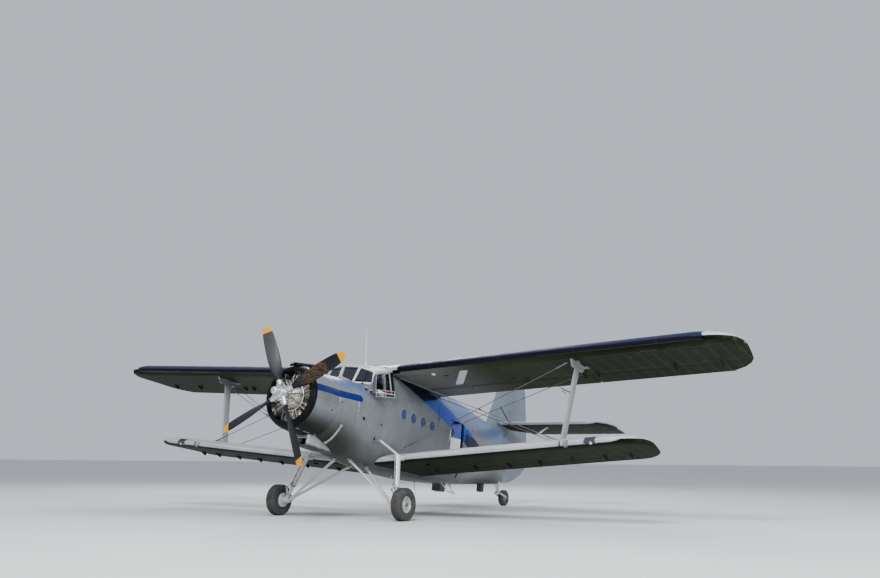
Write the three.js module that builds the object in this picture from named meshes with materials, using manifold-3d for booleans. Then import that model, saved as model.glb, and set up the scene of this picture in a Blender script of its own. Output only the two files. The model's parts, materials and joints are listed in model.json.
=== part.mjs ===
// Large single-engine transport biplane, parked nose-up on a fixed tailwheel gear.
// Units are millimetres. Fuselage frame: X to port, Y aft of the propeller plane, Z up from the
// thrust line. The finished group stands on the ground, with its origin under the middle of its box.
import * as THREE from 'three';
import { mergeVertices } from 'three/addons/utils/BufferGeometryUtils.js';
import Module from 'manifold-3d';

const wasm = await Module();
wasm.setup();

const degrees = THREE.MathUtils.degToRad;
const vec = (x, y, z) => new THREE.Vector3(x, y, z);

// Stance and general gaps
const GROUND_ANGLE = degrees(10.47);
const THRUST_LINE_HEIGHT = 2783;
const CONTACT_GAP = 0.4;
const MOVING_GAP = 9;
const SKIN = 36;

// Propeller, engine and cowl
const PROP_RADIUS = 1798;
const BLADE_COUNT = 4;
const FIRST_BLADE_ANGLE = degrees(-27.2);
const CYLINDER_COUNT = 9;
const CYLINDER_Y = 540;
const COWL_RADIUS = 730;
const COWL_FRONT = 170;
const COWL_SPLIT = 340;
const NOSE_START = 1110;

// Fuselage breaks along Y
const COCKPIT_START = 1700;
const COCKPIT_END = 2913.6;
const CABIN_START = 2915;
const TAIL_START = 7050;
const STERNPOST = 10115;

// Fuselage sections: y, half width, height of greatest width, top, bottom, squareness above, below
const SECTIONS = [
  { y: 1110, half: 738, mid: 0, top: 738, bottom: -745, above: 2.0, below: 2.0 },
  { y: 1450, half: 790, mid: 0, top: 775, bottom: -835, above: 2.1, below: 2.2 },
  { y: 1800, half: 850, mid: 0, top: 800, bottom: -930, above: 2.3, below: 2.4 },
  { y: 2300, half: 903, mid: 20, top: 850, bottom: -1000, above: 2.6, below: 2.8 },
  { y: 2914, half: 905, mid: 40, top: 900, bottom: -1060, above: 2.7, below: 3.0 },
  { y: 2915, half: 905, mid: 40, top: 1435, bottom: -1060, above: 2.9, below: 3.0 },
  { y: 3600, half: 905, mid: 60, top: 1460, bottom: -1070, above: 3.1, below: 3.3 },
  { y: 4900, half: 900, mid: 80, top: 1460, bottom: -1040, above: 3.2, below: 3.8 },
  { y: 6450, half: 838, mid: 100, top: 1435, bottom: -900, above: 3.2, below: 4.0 },
  { y: 7050, half: 770, mid: 150, top: 1415, bottom: -820, above: 2.9, below: 3.4 },
  { y: 8000, half: 610, mid: 250, top: 1370, bottom: -660, above: 2.5, below: 2.8 },
  { y: 9000, half: 400, mid: 360, top: 1320, bottom: -490, above: 2.2, below: 2.3 },
  { y: 9700, half: 240, mid: 430, top: 1290, bottom: -370, above: 2.1, below: 2.2 },
  { y: 10120, half: 103, mid: 480, top: 1270, bottom: -290, above: 2.0, below: 2.0 },
];
const RING_SIDES = 32;

// Cockpit canopy corners for the port half, from the centre line round to the rear
const ROOF_EDGE = [
  { x: 0, y: 1990, z: 1180 },
  { x: 440, y: 2070, z: 1155 },
  { x: 775, y: 2225, z: 1062 },
  { x: 786, y: 2560, z: 1150 },
  { x: 788, y: COCKPIT_END, z: 1245 },
  { x: 430, y: COCKPIT_END, z: 1385 },
  { x: 0, y: COCKPIT_END, z: 1430 },
];
const GLASS_FOOT = [
  { x: 0, y: 1895, z: 868 },
  { x: 430, y: 1866, z: 715 },
  { x: 835, y: 2125, z: 735 },
  { x: 905, y: 2550, z: 640 },
  { x: 905, y: COCKPIT_END, z: 640 },
  { x: 450, y: COCKPIT_END, z: 640 },
  { x: 0, y: COCKPIT_END, z: 640 },
];
const CANOPY_FOOT = 300;
// Bulged side window: top front, top rear, bottom rear, bottom front
const SIDE_WINDOW = [
  { x: 785, y: 2248, z: 1036 },
  { x: 790, y: 2896, z: 1228 },
  { x: 975, y: 2896, z: 625 },
  { x: 975, y: 2088, z: 480 },
];
const CANOPY_WALL = 34;

// Cabin: round windows, passenger doorway, floors
const WINDOW_STATIONS = [3450, 3885, 4320, 4755];
const WINDOW_HEIGHT = 290;
const WINDOW_RADIUS = 135;
const DOOR = { front: 5750, rear: 6450, bottom: -748, top: 690 };
const DOOR_HINGE_X = 640;
const DOOR_OPEN = degrees(28);
const CABIN_FLOOR = -800;
const COCKPIT_FLOOR = -380;

// Wings: leading edge at the centre line, chord, half span, dihedral and incidence
const UPPER = {
  y: 2860, z: 1254, chord: 2400, half: 9075, dihedral: degrees(2.93), incidence: degrees(2.8),
  root: 640, thickness: 0.14, camber: 0.045, hinge: 0.74, corner: 900,
};
const LOWER = {
  y: 2926, z: -972, chord: 2000, half: 7135, dihedral: degrees(4.64), incidence: degrees(1.0),
  root: 300, thickness: 0.14, camber: 0.04, hinge: 0.75, corner: 650,
};
const AILERON_SPAN = [5290, 8480];
const UPPER_FLAP_SPAN = [1010, 5270];
const LOWER_FLAP_SPAN = [1060, 6560];
const SLAT_SPAN = [960, 8420];
const SLAT_CHORD = 330;
const SLAT_LIP = -46;
const NOSE_SETBACK = 62;

// Bays between the wings
const STRUT_FOOT = vec(5100, 3620, -500);
const STRUT_HEAD = vec(5390, 3610, 1500);
const WIRE_RADIUS = 9;
// Flat pad under each lower wing that a jack or a tie-down plate meets
const JACK_PAD = { x: 1700, chordwise: 620, radius: 60, depth: 28 };

// Tail
const RUDDER_HINGE = 10235;
const FIN_LEVELS = [
  { z: 1180, nose: 8930, half: 82 },
  { z: 1400, nose: 9030, half: 82 },
  { z: 2310, nose: 9440, half: 66 },
  { z: 2950, nose: 9735, half: 55 },
  { z: 3210, nose: 9900, half: 47 },
  { z: 3345, nose: 10090, half: 30 },
];
const RUDDER_LEVELS = [
  { z: -235, tail: 10420, nose: 34 },
  { z: -130, tail: 10760, nose: 55 },
  { z: 0, tail: 11080, nose: 64 },
  { z: 210, tail: 11440, nose: 72 },
  { z: 440, tail: 11680, nose: 76 },
  { z: 800, tail: 11725, nose: 78 },
  { z: 1400, tail: 11665, nose: 76 },
  { z: 2020, tail: 11540, nose: 65 },
  { z: 2810, tail: 11345, nose: 51 },
  { z: 3120, tail: 11160, nose: 43 },
  { z: 3280, tail: 10930, nose: 34 },
  { z: 3350, tail: 10620, nose: 22 },
];
const TAILPLANE = { y: 9526, z: 1440, hinge: 10450, tail: 11250, half: 3595, thickness: 0.088 };
const ELEVATOR_INNER = { front: 270, rear: 640 };

// Main gear, with the places on the ground given in ground coordinates
const TYRE_RADIUS = 372;
const TYRE_WIDTH = 250;
const TYRE_SIDES = 32;
const TRACK = 3670;
const AXLE_Y = 2100;
const AXLE_HEIGHT = TYRE_RADIUS * Math.cos(Math.PI / TYRE_SIDES);
const LEG_TOP = vec(1352, 2755, -860);
const STRUT_BELLY = [vec(165, 2410, -975), vec(195, 3080, -1030)];

// Tail gear
const TAIL_TYRE_RADIUS = 235;
const TAIL_TYRE_WIDTH = 150;
const TAIL_TYRE_SIDES = 24;
const TAIL_AXLE_Y = 10185;
const TAIL_AXLE_HEIGHT = TAIL_TYRE_RADIUS * Math.cos(Math.PI / TAIL_TYRE_SIDES);
const SWIVEL_Y = 9810;

// Finishes: colour, roughness, metalness
const FINISH = {
  silver: { color: 0x9aa3aa, roughness: 0.42, metalness: 0.35 },
  navy: { color: 0x1b2346, roughness: 0.4, metalness: 0.1 },
  black: { color: 0x14161a, roughness: 0.5, metalness: 0.1 },
  blade: { color: 0x1a1d22, roughness: 0.45, metalness: 0.2 },
  bright: { color: 0xc9ccd0, roughness: 0.3, metalness: 0.8 },
  engine: { color: 0x8a8378, roughness: 0.5, metalness: 0.6 },
  strut: { color: 0xc4c7c8, roughness: 0.4, metalness: 0.3 },
  rubber: { color: 0x2b2c2e, roughness: 0.9, metalness: 0 },
  glass: { color: 0x2c3742, roughness: 0.1, metalness: 0 },
  interior: { color: 0x5d6468, roughness: 0.7, metalness: 0 },
  seat: { color: 0x3b2f28, roughness: 0.7, metalness: 0 },
};

// Solids and geometry

function solid(geometry) {
  const bare = new THREE.BufferGeometry();
  bare.setAttribute('position', geometry.getAttribute('position').clone());
  if (geometry.index) bare.setIndex(geometry.index.clone());
  const merged = mergeVertices(bare, 1e-3);
  const index = Array.from(merged.index.array);
  const kept = [];
  for (let i = 0; i < index.length; i += 3) {
    const [a, b, c] = index.slice(i, i + 3);
    if (a !== b && b !== c && c !== a) kept.push(a, b, c);
  }
  return new wasm.Manifold(new wasm.Mesh({
    numProp: 3,
    vertProperties: Float32Array.from(merged.attributes.position.array),
    triVerts: Uint32Array.from(kept),
  }));
}

function geometryOf(body) {
  const mesh = body.getMesh();
  const geometry = new THREE.BufferGeometry();
  geometry.setAttribute('position', new THREE.BufferAttribute(Float32Array.from(mesh.vertProperties), 3));
  geometry.setIndex(Array.from(mesh.triVerts));
  return geometry;
}

function union(...bodies) {
  return bodies.reduce((whole, body) => whole.add(body));
}

function less(body, ...tools) {
  return tools.reduce((whole, tool) => whole.subtract(tool), body);
}

// Closed skin through rings of equal count, turned so that its faces point out
function loft(rings) {
  const count = rings[0].length;
  const positions = rings.flat().flatMap((p) => [p.x, p.y, p.z]);
  const index = [];
  for (let r = 0; r < rings.length - 1; r += 1) {
    for (let i = 0; i < count; i += 1) {
      const a = r * count + i;
      const b = r * count + ((i + 1) % count);
      const portSide = rings[r][i].x + rings[r][(i + 1) % count].x >= 0;
      if (portSide) index.push(a, b, b + count, a, b + count, a + count);
      else index.push(a, b, a + count, b, b + count, a + count);
    }
  }
  const last = (rings.length - 1) * count;
  for (let i = 1; i < count - 1; i += 1) {
    index.push(0, i + 1, i, last, last + i, last + i + 1);
  }
  const geometry = new THREE.BufferGeometry();
  geometry.setAttribute('position', new THREE.Float32BufferAttribute(positions, 3));
  geometry.setIndex(volumeOf(positions, index) < 0 ? index.reverse() : index);
  return geometry;
}

function volumeOf(positions, index) {
  const corner = (i) => new THREE.Vector3().fromArray(positions, 3 * i);
  let total = 0;
  for (let i = 0; i < index.length; i += 3) {
    total += corner(index[i]).dot(corner(index[i + 1]).cross(corner(index[i + 2])));
  }
  return total;
}

function mirrored(geometry) {
  const copy = geometry.clone();
  copy.applyMatrix4(new THREE.Matrix4().makeScale(-1, 1, 1));
  const index = Array.from(copy.index.array);
  copy.setIndex(index.reverse());
  return copy;
}

const mirrorOf = (body) => solid(mirrored(geometryOf(body)));

function block(low, high) {
  const size = new THREE.Vector3().subVectors(high, low);
  const geometry = new THREE.BoxGeometry(size.x, size.y, size.z);
  geometry.translate((low.x + high.x) / 2, (low.y + high.y) / 2, (low.z + high.z) / 2);
  return solid(geometry);
}

// Turned body: profile points are [radius, distance along the axis]
function turned(profile, axis, sides, phase = 0) {
  const geometry = new THREE.LatheGeometry(profile.map(([r, t]) => new THREE.Vector2(r, t)), sides, phase);
  if (axis === 'x') geometry.rotateZ(-Math.PI / 2);
  if (axis === 'z') geometry.rotateX(Math.PI / 2);
  const body = solid(geometry);
  if (body.volume() >= 0) return body;
  geometry.setIndex(Array.from(geometry.index.array).reverse());
  return solid(geometry);
}

// Straight member of oval section: half sizes along Y and across, at each end
function member(from, to, deep, wide, sides = 12, endDeep = deep, endWide = wide) {
  const along = new THREE.Vector3().subVectors(to, from).normalize();
  const deepways = vec(0, 1, 0).addScaledVector(along, -along.y).normalize();
  const wideways = new THREE.Vector3().crossVectors(along, deepways);
  const ring = (centre, a, b) => Array.from({ length: sides }, (_, i) => {
    const turn = (2 * Math.PI * (i + 0.5)) / sides;
    return centre.clone().addScaledVector(deepways, a * Math.cos(turn))
      .addScaledVector(wideways, b * Math.sin(turn));
  });
  return solid(loft([ring(from, deep, wide), ring(to, endDeep, endWide)]));
}

// Round rod in any direction
function rod(from, to, radius, sides = 10, endRadius = radius) {
  const along = new THREE.Vector3().subVectors(to, from);
  const geometry = new THREE.CylinderGeometry(endRadius, radius, along.length(), sides);
  geometry.applyQuaternion(new THREE.Quaternion().setFromUnitVectors(vec(0, 1, 0), along.normalize()));
  const middle = new THREE.Vector3().addVectors(from, to).multiplyScalar(0.5);
  geometry.translate(middle.x, middle.y, middle.z);
  return solid(geometry);
}

// Prism through a flat outline in space, drawn in toward its middle by a margin
function prismThrough(corners, margin, reach) {
  const points = corners.map((c) => vec(c.x, c.y, c.z));
  const middle = points.reduce((sum, p) => sum.add(p), vec(0, 0, 0)).multiplyScalar(1 / points.length);
  const first = new THREE.Vector3().subVectors(points[2], points[0]);
  const second = new THREE.Vector3().subVectors(points[3], points[1]);
  const normal = first.cross(second).normalize();
  const drawn = points.map((p) => {
    const out = new THREE.Vector3().subVectors(p, middle);
    return middle.clone().addScaledVector(out, 1 - margin / out.length());
  });
  const shifted = (step) => drawn.map((p) => p.clone().addScaledVector(normal, step));
  return solid(loft([shifted(-reach), shifted(reach)]));
}

// Scene graph

const aircraft = new THREE.Group();
const airframe = new THREE.Group();
airframe.rotation.x = -GROUND_ANGLE;
airframe.position.z = THRUST_LINE_HEIGHT;
const onGround = new THREE.Group();
aircraft.add(airframe, onGround);

function place(parent, name, body, finish) {
  const geometry = body.isBufferGeometry ? body : geometryOf(body);
  if (parent.userData.undo) geometry.applyMatrix4(parent.userData.undo);
  geometry.computeVertexNormals();
  const mesh = new THREE.Mesh(geometry, new THREE.MeshStandardMaterial(FINISH[finish]));
  mesh.name = name;
  parent.add(mesh);
  return mesh;
}

// Group whose Z axis is a hinge line or a slide, so that turning or moving it works the joint
function joint(parent, name, point, axis) {
  const group = new THREE.Group();
  group.name = name;
  group.position.copy(point);
  group.quaternion.setFromUnitVectors(vec(0, 0, 1), axis.clone().normalize());
  group.updateMatrix();
  group.userData.undo = group.matrix.clone().invert();
  parent.add(group);
  return group;
}

const flip = (v) => vec(-v.x, v.y, v.z);

// Ground coordinates to fuselage coordinates
function toFuselage(x, y, z) {
  const rise = z - THRUST_LINE_HEIGHT;
  const c = Math.cos(GROUND_ANGLE);
  const s = Math.sin(GROUND_ANGLE);
  return vec(x, y * c - rise * s, y * s + rise * c);
}

// Fuselage

function fuselageRing(section, inset) {
  const bent = (value, square) => Math.sign(value) * Math.abs(value) ** (2 / square);
  return Array.from({ length: RING_SIDES }, (_, i) => {
    const turn = (2 * Math.PI * i) / RING_SIDES;
    const high = Math.sin(turn) >= 0;
    const square = high ? section.above : section.below;
    const reach = (high ? section.top - section.mid : section.mid - section.bottom) - inset;
    const across = (section.half - inset) * bent(Math.cos(turn), square);
    return vec(across, section.y, section.mid + reach * bent(Math.sin(turn), square));
  });
}

function fuselageLoft(start, end, inset) {
  const whole = solid(loft(SECTIONS.map((row) => fuselageRing(row, inset))));
  return whole.intersect(block(vec(-1500, start, -1500), vec(1500, end, 2000)));
}

// Canopy: a faceted greenhouse with a bulge on each side; inset gives its inner face
function canopyHull(inset, rear) {
  const inside = (p, z) => vec(
    Math.max(0, p.x - inset),
    p.y > 2900 ? rear : p.y + inset * (p.y < 2000 ? 1 : 0.5),
    z,
  );
  const half = (edge, z) => edge.map((p) => inside(p, z === undefined ? p.z - inset : z));
  const round = (edge) => {
    const other = edge.slice(1, -1).reverse().map(flip);
    return [...edge, ...other];
  };
  const foot = round(half(GLASS_FOOT, CANOPY_FOOT));
  const waist = round(half(GLASS_FOOT).map((p, i) => vec(p.x, p.y, GLASS_FOOT[i].z)));
  const roof = round(half(ROOF_EDGE));
  return solid(loft([foot, waist, roof]));
}

function sideBulge(inset, rear) {
  const [topFront, topRear, lowRear, lowFront] = SIDE_WINDOW;
  const outer = [
    vec(topFront.x - inset, topFront.y + inset, topFront.z - inset),
    vec(topRear.x - inset, rear, topRear.z - inset),
    vec(lowRear.x - inset, rear, lowRear.z + inset),
    vec(lowFront.x - inset, lowFront.y + inset, lowFront.z + inset),
  ];
  const inner = outer.map((p) => vec(500, p.y, p.z));
  return solid(loft([inner, outer]));
}

function canopyShape(inset, rear) {
  const bulge = sideBulge(inset, Math.min(rear, rear > 2915 ? rear : SIDE_WINDOW[1].y));
  return union(canopyHull(inset, rear), bulge, mirrorOf(bulge));
}

function canopyPanes() {
  const [r0, r1, r2] = ROOF_EDGE;
  const [g0, g1, g2] = GLASS_FOOT;
  const [topFront, topRear, lowRear, lowFront] = SIDE_WINDOW;
  const between = (p, q, t) => vec(
    p.x + (q.x - p.x) * t,
    p.y + (q.y - p.y) * t,
    p.z + (q.z - p.z) * t,
  );
  const topMid = between(topFront, topRear, 0.5);
  const lowMid = between(lowFront, lowRear, 0.5);
  const roofPane = [vec(60, 2110, 1215), vec(400, 2150, 1190), vec(400, 2520, 1275), vec(60, 2520, 1320)];
  return [
    { corners: [g0, g1, r1, r0], margin: 42 },
    { corners: [g1, g2, r2, r1], margin: 42 },
    { corners: [topFront, topMid, lowMid, lowFront], margin: 52 },
    { corners: [topMid, topRear, lowRear, lowMid], margin: 52 },
    { corners: roofPane, margin: 10 },
  ];
}

const fuselageOuter = (start, end) => fuselageLoft(start, end, -CONTACT_GAP);
const canopyInterior = canopyShape(CANOPY_WALL, CABIN_START + 60);
const canopyOuter = canopyShape(0, ROOF_EDGE[4].y);

function buildNoseSection() {
  place(airframe, 'nose_section', fuselageLoft(NOSE_START, COCKPIT_START - CONTACT_GAP, 0), 'silver');
}

function buildCockpit() {
  const shell = less(
    fuselageLoft(COCKPIT_START, COCKPIT_END, 0),
    fuselageLoft(COCKPIT_START + SKIN, CABIN_START, SKIN),
    canopyInterior,
  );
  place(airframe, 'cockpit_shell', shell, 'silver');

  const cuts = canopyPanes().flatMap(({ corners, margin }) => {
    const cut = prismThrough(corners, margin, 75);
    return [cut, mirrorOf(cut)];
  });
  const frame = less(
    canopyOuter,
    canopyInterior,
    fuselageOuter(COCKPIT_START, CABIN_START),
    block(vec(-1200, 1600, 0), vec(1200, 3000, 428)),
    ...cuts,
  );
  place(airframe, 'canopy_frame', frame, 'strut');

  const liner = less(
    canopyShape(CANOPY_WALL + CONTACT_GAP, CABIN_START + 60),
    canopyShape(CANOPY_WALL + 8, CABIN_START + 60),
    block(vec(-1200, 1600, 0), vec(1200, 3000, 800)),
    block(vec(-1200, CABIN_START - 30, 0), vec(1200, CABIN_START + 200, 2000)),
  );
  place(airframe, 'canopy_glazing', liner, 'glass');
}

function buildCockpitInterior() {
  const room = fuselageLoft(COCKPIT_START + SKIN, CABIN_START - 1, SKIN + CONTACT_GAP);
  const floorBox = block(vec(-1000, 1760, COCKPIT_FLOOR - 30), vec(1000, CABIN_START - 50, COCKPIT_FLOOR));
  place(airframe, 'cockpit_floor', room.intersect(floorBox), 'interior');
  const panelBox = block(vec(-620, 1985, 330), vec(620, 2025, 700));
  const pedestal = block(vec(-150, 1985, COCKPIT_FLOOR + CONTACT_GAP), vec(150, 2160, 400));
  place(airframe, 'instrument_panel', union(room.intersect(panelBox), pedestal), 'interior');
  for (const [side, x] of [['left', 420], ['right', -420]]) {
    const cushion = block(vec(x - 220, 2330, -20), vec(x + 220, 2740, 90));
    const back = block(vec(x - 220, 2700, -20), vec(x + 220, 2800, 700));
    const base = block(vec(x - 160, 2400, COCKPIT_FLOOR + CONTACT_GAP), vec(x + 160, 2700, -10));
    place(airframe, `pilot_seat_${side}`, union(cushion, back, base), 'seat');
  }
}

// Part of the upper wing that forms the cabin roof, between the two wing roots
function wingCentre() {
  const outline = airfoil(UPPER.chord, UPPER.thickness, UPPER.camber);
  const half = UPPER.root * Math.cos(UPPER.dihedral) - 15;
  const turn = new THREE.Matrix4().makeRotationX(-UPPER.incidence);
  const rise = UPPER.root * Math.sin(UPPER.dihedral);
  const ring = (x) => outline.map(({ s, n }) => vec(x, s, n).applyMatrix4(turn)
    .add(vec(0, UPPER.y, UPPER.z + rise)));
  const whole = solid(loft([ring(-half), ring(half)]));
  return whole.intersect(block(vec(-1000, CABIN_START, 0), vec(1000, 6000, 2000)));
}

function buildCabin() {
  const portals = WINDOW_STATIONS.map((y) => rod(
    vec(-1000, y, WINDOW_HEIGHT),
    vec(1000, y, WINDOW_HEIGHT),
    WINDOW_RADIUS,
    20,
  ));
  const doorway = block(vec(600, DOOR.front, DOOR.bottom), vec(1000, DOOR.rear, DOOR.top));
  const passage = block(vec(-330, CABIN_START - 10, CABIN_FLOOR + 40), vec(330, CABIN_START + 60, 900));
  const box = block(vec(-130, 6640, -1050), vec(130, 6900, -700));
  const shell = less(
    union(fuselageLoft(CABIN_START, TAIL_START - CONTACT_GAP, 0), wingCentre(), box),
    fuselageLoft(CABIN_START + SKIN, TAIL_START - SKIN, SKIN),
    ...portals,
    doorway,
    passage,
  );
  place(airframe, 'cabin_shell', shell, 'silver');

  const room = fuselageLoft(CABIN_START + SKIN + 1, TAIL_START - SKIN - 1, SKIN + CONTACT_GAP);
  const plank = block(vec(-1000, CABIN_START + 50, CABIN_FLOOR - 30), vec(1000, TAIL_START - 50, CABIN_FLOOR));
  place(airframe, 'cabin_floor', room.intersect(plank), 'interior');

  const strip = block(vec(600, 3260, 110), vec(1000, 4950, 470));
  const layer = less(strip, fuselageLoft(CABIN_START, TAIL_START, SKIN + 14));
  const pane = layer.intersect(fuselageLoft(CABIN_START, TAIL_START, SKIN + CONTACT_GAP));
  place(airframe, 'window_strip_left', pane, 'glass');
  place(airframe, 'window_strip_right', mirrorOf(pane), 'glass');
}

function buildTailCone() {
  const cone = fuselageLoft(TAIL_START, STERNPOST, 0);
  const box = block(vec(-75, 8945, -705), vec(75, 9100, -450));
  place(airframe, 'tail_cone', union(cone, box), 'silver');
}

// Passenger door, hung on its rear edge and swung into the cabin
function buildDoor() {
  const slab = block(
    vec(600, DOOR.front + 2 * MOVING_GAP, DOOR.bottom + 2 * MOVING_GAP),
    vec(1000, DOOR.rear - MOVING_GAP, DOOR.top - MOVING_GAP),
  );
  const curved = less(
    slab.intersect(fuselageLoft(CABIN_START, TAIL_START, 0)),
    fuselageLoft(CABIN_START, TAIL_START, SKIN),
  );
  const hinge = vec(DOOR_HINGE_X, DOOR.rear - MOVING_GAP, 0);
  const swing = new THREE.Matrix4().makeTranslation(hinge.x, hinge.y, 0)
    .multiply(new THREE.Matrix4().makeRotationZ(-DOOR_OPEN))
    .multiply(new THREE.Matrix4().makeTranslation(-hinge.x, -hinge.y, 0));
  const leaf = geometryOf(curved);
  leaf.applyMatrix4(swing);
  const group = joint(airframe, 'door_hinge', hinge, vec(0, 0, 1));
  place(group, 'passenger_door', leaf, 'silver');
}

// Nose: cowl, engine, scoop, cooler, exhaust

function buildCowl() {
  const lip = turned([
    [560, 325], [538, 262], [542, 206], [575, COWL_FRONT + 9], [612, COWL_FRONT],
    [652, COWL_FRONT + 14], [690, COWL_FRONT + 54], [716, COWL_FRONT + 108], [COWL_RADIUS, COWL_SPLIT],
    [COWL_RADIUS - 14, COWL_SPLIT], [620, COWL_SPLIT - 4], [560, 325],
  ], 'y', 40);
  place(airframe, 'cowl_lip', lip, 'black');
  const start = COWL_SPLIT + CONTACT_GAP;
  const panels = turned([
    [COWL_RADIUS - 16, start], [COWL_RADIUS, start], [COWL_RADIUS + 18, 600], [COWL_RADIUS + 20, 880],
    [COWL_RADIUS + 8, NOSE_START - CONTACT_GAP], [680, NOSE_START - CONTACT_GAP], [680, NOSE_START - 14],
    [COWL_RADIUS - 10, NOSE_START - 14], [COWL_RADIUS + 4, 880], [COWL_RADIUS + 2, 600],
    [COWL_RADIUS - 16, start],
  ], 'y', 40);
  place(airframe, 'cowl_panels', panels, 'silver');
}

// Outside of the whole cowl, grown by a gap
function cowlEnvelope(gap) {
  return turned([
    [0, COWL_FRONT - 20], [612, COWL_FRONT - gap], [652 + gap, COWL_FRONT + 14 - gap],
    [690 + gap, COWL_FRONT + 54 - gap], [716 + gap, COWL_FRONT + 108], [COWL_RADIUS + gap, COWL_SPLIT],
    [COWL_RADIUS + 18 + gap, 600],
    [COWL_RADIUS + 20 + gap, 880], [COWL_RADIUS + 8 + gap, NOSE_START], [0, NOSE_START],
  ], 'y', 40);
}

function buildEngine() {
  const crankcase = turned([
    [0, 130], [95, 130], [130, 180], [165, 215], [235, 300], [275, 380], [285, 430], [285, 700],
    [335, 780], [335, 1020], [300, NOSE_START - CONTACT_GAP], [0, NOSE_START - CONTACT_GAP],
  ], 'y', 24);
  const cylinders = [];
  for (let i = 0; i < CYLINDER_COUNT; i += 1) {
    const turn = (2 * Math.PI * i) / CYLINDER_COUNT;
    const out = vec(Math.sin(turn), 0, Math.cos(turn));
    const along = (radius, y) => out.clone().multiplyScalar(radius).add(vec(0, y, 0));
    const side = vec(out.z, 0, -out.x).multiplyScalar(62);
    cylinders.push(rod(along(250, CYLINDER_Y), along(470, CYLINDER_Y), 90, 10));
    cylinders.push(rod(along(470, CYLINDER_Y), along(655, CYLINDER_Y), 116, 10, 100));
    for (const sign of [1, -1]) {
      const from = along(250, CYLINDER_Y - 150).addScaledVector(side, 0.75 * sign);
      const to = along(600, CYLINDER_Y - 105).addScaledVector(side, 1.1 * sign);
      cylinders.push(rod(from, to, 15, 4));
      cylinders.push(member(
        along(585, CYLINDER_Y - 112).addScaledVector(side, 1.1 * sign),
        along(650, CYLINDER_Y - 30).addScaledVector(side, 0.9 * sign),
        34,
        30,
        4,
      ));
    }
  }
  place(airframe, 'engine', union(crankcase, ...cylinders), 'engine');
}

function buildScoop() {
  const rings = [
    { y: 215, half: 105, low: 660, high: 765 },
    { y: 420, half: 125, low: 680, high: 800 },
    { y: 640, half: 130, low: 690, high: 842 },
    { y: 900, half: 125, low: 700, high: 893 },
    { y: 1010, half: 110, low: 700, high: 884 },
    { y: 1105, half: 80, low: 700, high: 800 },
  ].map(({ y, half, low, high }) => [
    vec(-half, y, low), vec(half, y, low), vec(half, y, high - 40),
    vec(half - 40, y, high), vec(40 - half, y, high), vec(-half, y, high - 40),
  ]);
  const mouth = solid(loft([
    [vec(-85, 150, 700), vec(85, 150, 700), vec(85, 150, 752), vec(-85, 150, 752)],
    [vec(-95, 560, 757), vec(95, 560, 757), vec(95, 560, 800), vec(-95, 560, 800)],
  ]));
  place(airframe, 'intake_scoop', keepLargest(less(solid(loft(rings)), cowlEnvelope(1), mouth)), 'black');
}

function buildCooler() {
  const rings = [
    { y: 870, half: 150, low: -975, high: -690 },
    { y: 930, half: 172, low: -1003, high: -690 },
    { y: 1350, half: 172, low: -1012, high: -700 },
    { y: 1700, half: 150, low: -985, high: -780 },
    { y: 1990, half: 80, low: -965, high: -880 },
  ].map(({ y, half, low, high }) => [
    vec(-half, y, high), vec(-half, y, low + 80), vec(-half + 65, y, low),
    vec(half - 65, y, low), vec(half, y, low + 80), vec(half, y, high),
  ]);
  const mouth = block(vec(-122, 800, -955), vec(122, 1120, -790));
  const tunnel = less(
    solid(loft(rings)),
    cowlEnvelope(4),
    fuselageOuter(NOSE_START - 1, COCKPIT_START + 400),
    mouth,
  );
  place(airframe, 'oil_cooler', keepLargest(tunnel), 'silver');
}

function buildExhaust() {
  const pipe = union(
    rod(vec(-480, 1180, -560), vec(-560, 1500, -640), 80, 12),
    rod(vec(-560, 1500, -640), vec(-590, 1820, -735), 80, 12, 74),
  );
  const bore = rod(vec(-562, 1530, -650), vec(-592, 1850, -744), 62, 12);
  const trimmed = less(pipe, bore, fuselageOuter(NOSE_START - 20, 2300));
  place(airframe, 'exhaust_pipe', keepLargest(trimmed), 'engine');
}

// Propeller

function bladeRing(radius, chord, thick, pitch, sides) {
  return Array.from({ length: sides }, (_, i) => {
    const turn = (2 * Math.PI * i) / sides;
    const across = (chord / 2) * Math.cos(turn);
    const deep = (thick / 2) * Math.sin(turn);
    return vec(
      across * Math.cos(pitch) - deep * Math.sin(pitch),
      across * Math.sin(pitch) + deep * Math.cos(pitch),
      radius,
    );
  });
}

function buildPropeller() {
  const stations = [
    { r: 120, chord: 120, thick: 120, pitch: 52 },
    { r: 300, chord: 130, thick: 115, pitch: 50 },
    { r: 560, chord: 245, thick: 62, pitch: 40 },
    { r: 950, chord: 300, thick: 36, pitch: 29 },
    { r: 1350, chord: 285, thick: 25, pitch: 22 },
    { r: 1640, chord: 240, thick: 17, pitch: 18 },
    { r: 1765, chord: 165, thick: 12, pitch: 17 },
    { r: PROP_RADIUS, chord: 70, thick: 8, pitch: 17 },
  ];
  const rings = stations.map(({ r, chord, thick, pitch }) => bladeRing(r, chord, thick, degrees(pitch), 14));
  const blade = loft(rings);
  const blades = [];
  for (let i = 0; i < BLADE_COUNT; i += 1) {
    const copy = blade.clone();
    copy.rotateY(FIRST_BLADE_ANGLE + (2 * Math.PI * i) / BLADE_COUNT);
    blades.push(solid(copy));
  }
  const barrel = turned([[0, -70], [150, -70], [170, -50], [170, 55], [150, 70], [0, 70]], 'y', 24);
  const spin = joint(airframe, 'propeller_spin', vec(0, 0, 0), vec(0, 1, 0));
  place(spin, 'propeller_blades', union(barrel, ...blades), 'blade');
  const dome = turned([
    [0, -330], [55, -325], [85, -290], [92, -160], [125, -130], [125, -70 - CONTACT_GAP], [0, -70 - CONTACT_GAP],
  ], 'y', 20);
  place(spin, 'propeller_dome', dome, 'bright');
  const flange = turned([[0, 70 + CONTACT_GAP], [110, 70 + CONTACT_GAP], [110, 120], [0, 120]], 'y', 20);
  place(spin, 'propeller_flange', flange, 'bright');
}

// Wings

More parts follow.
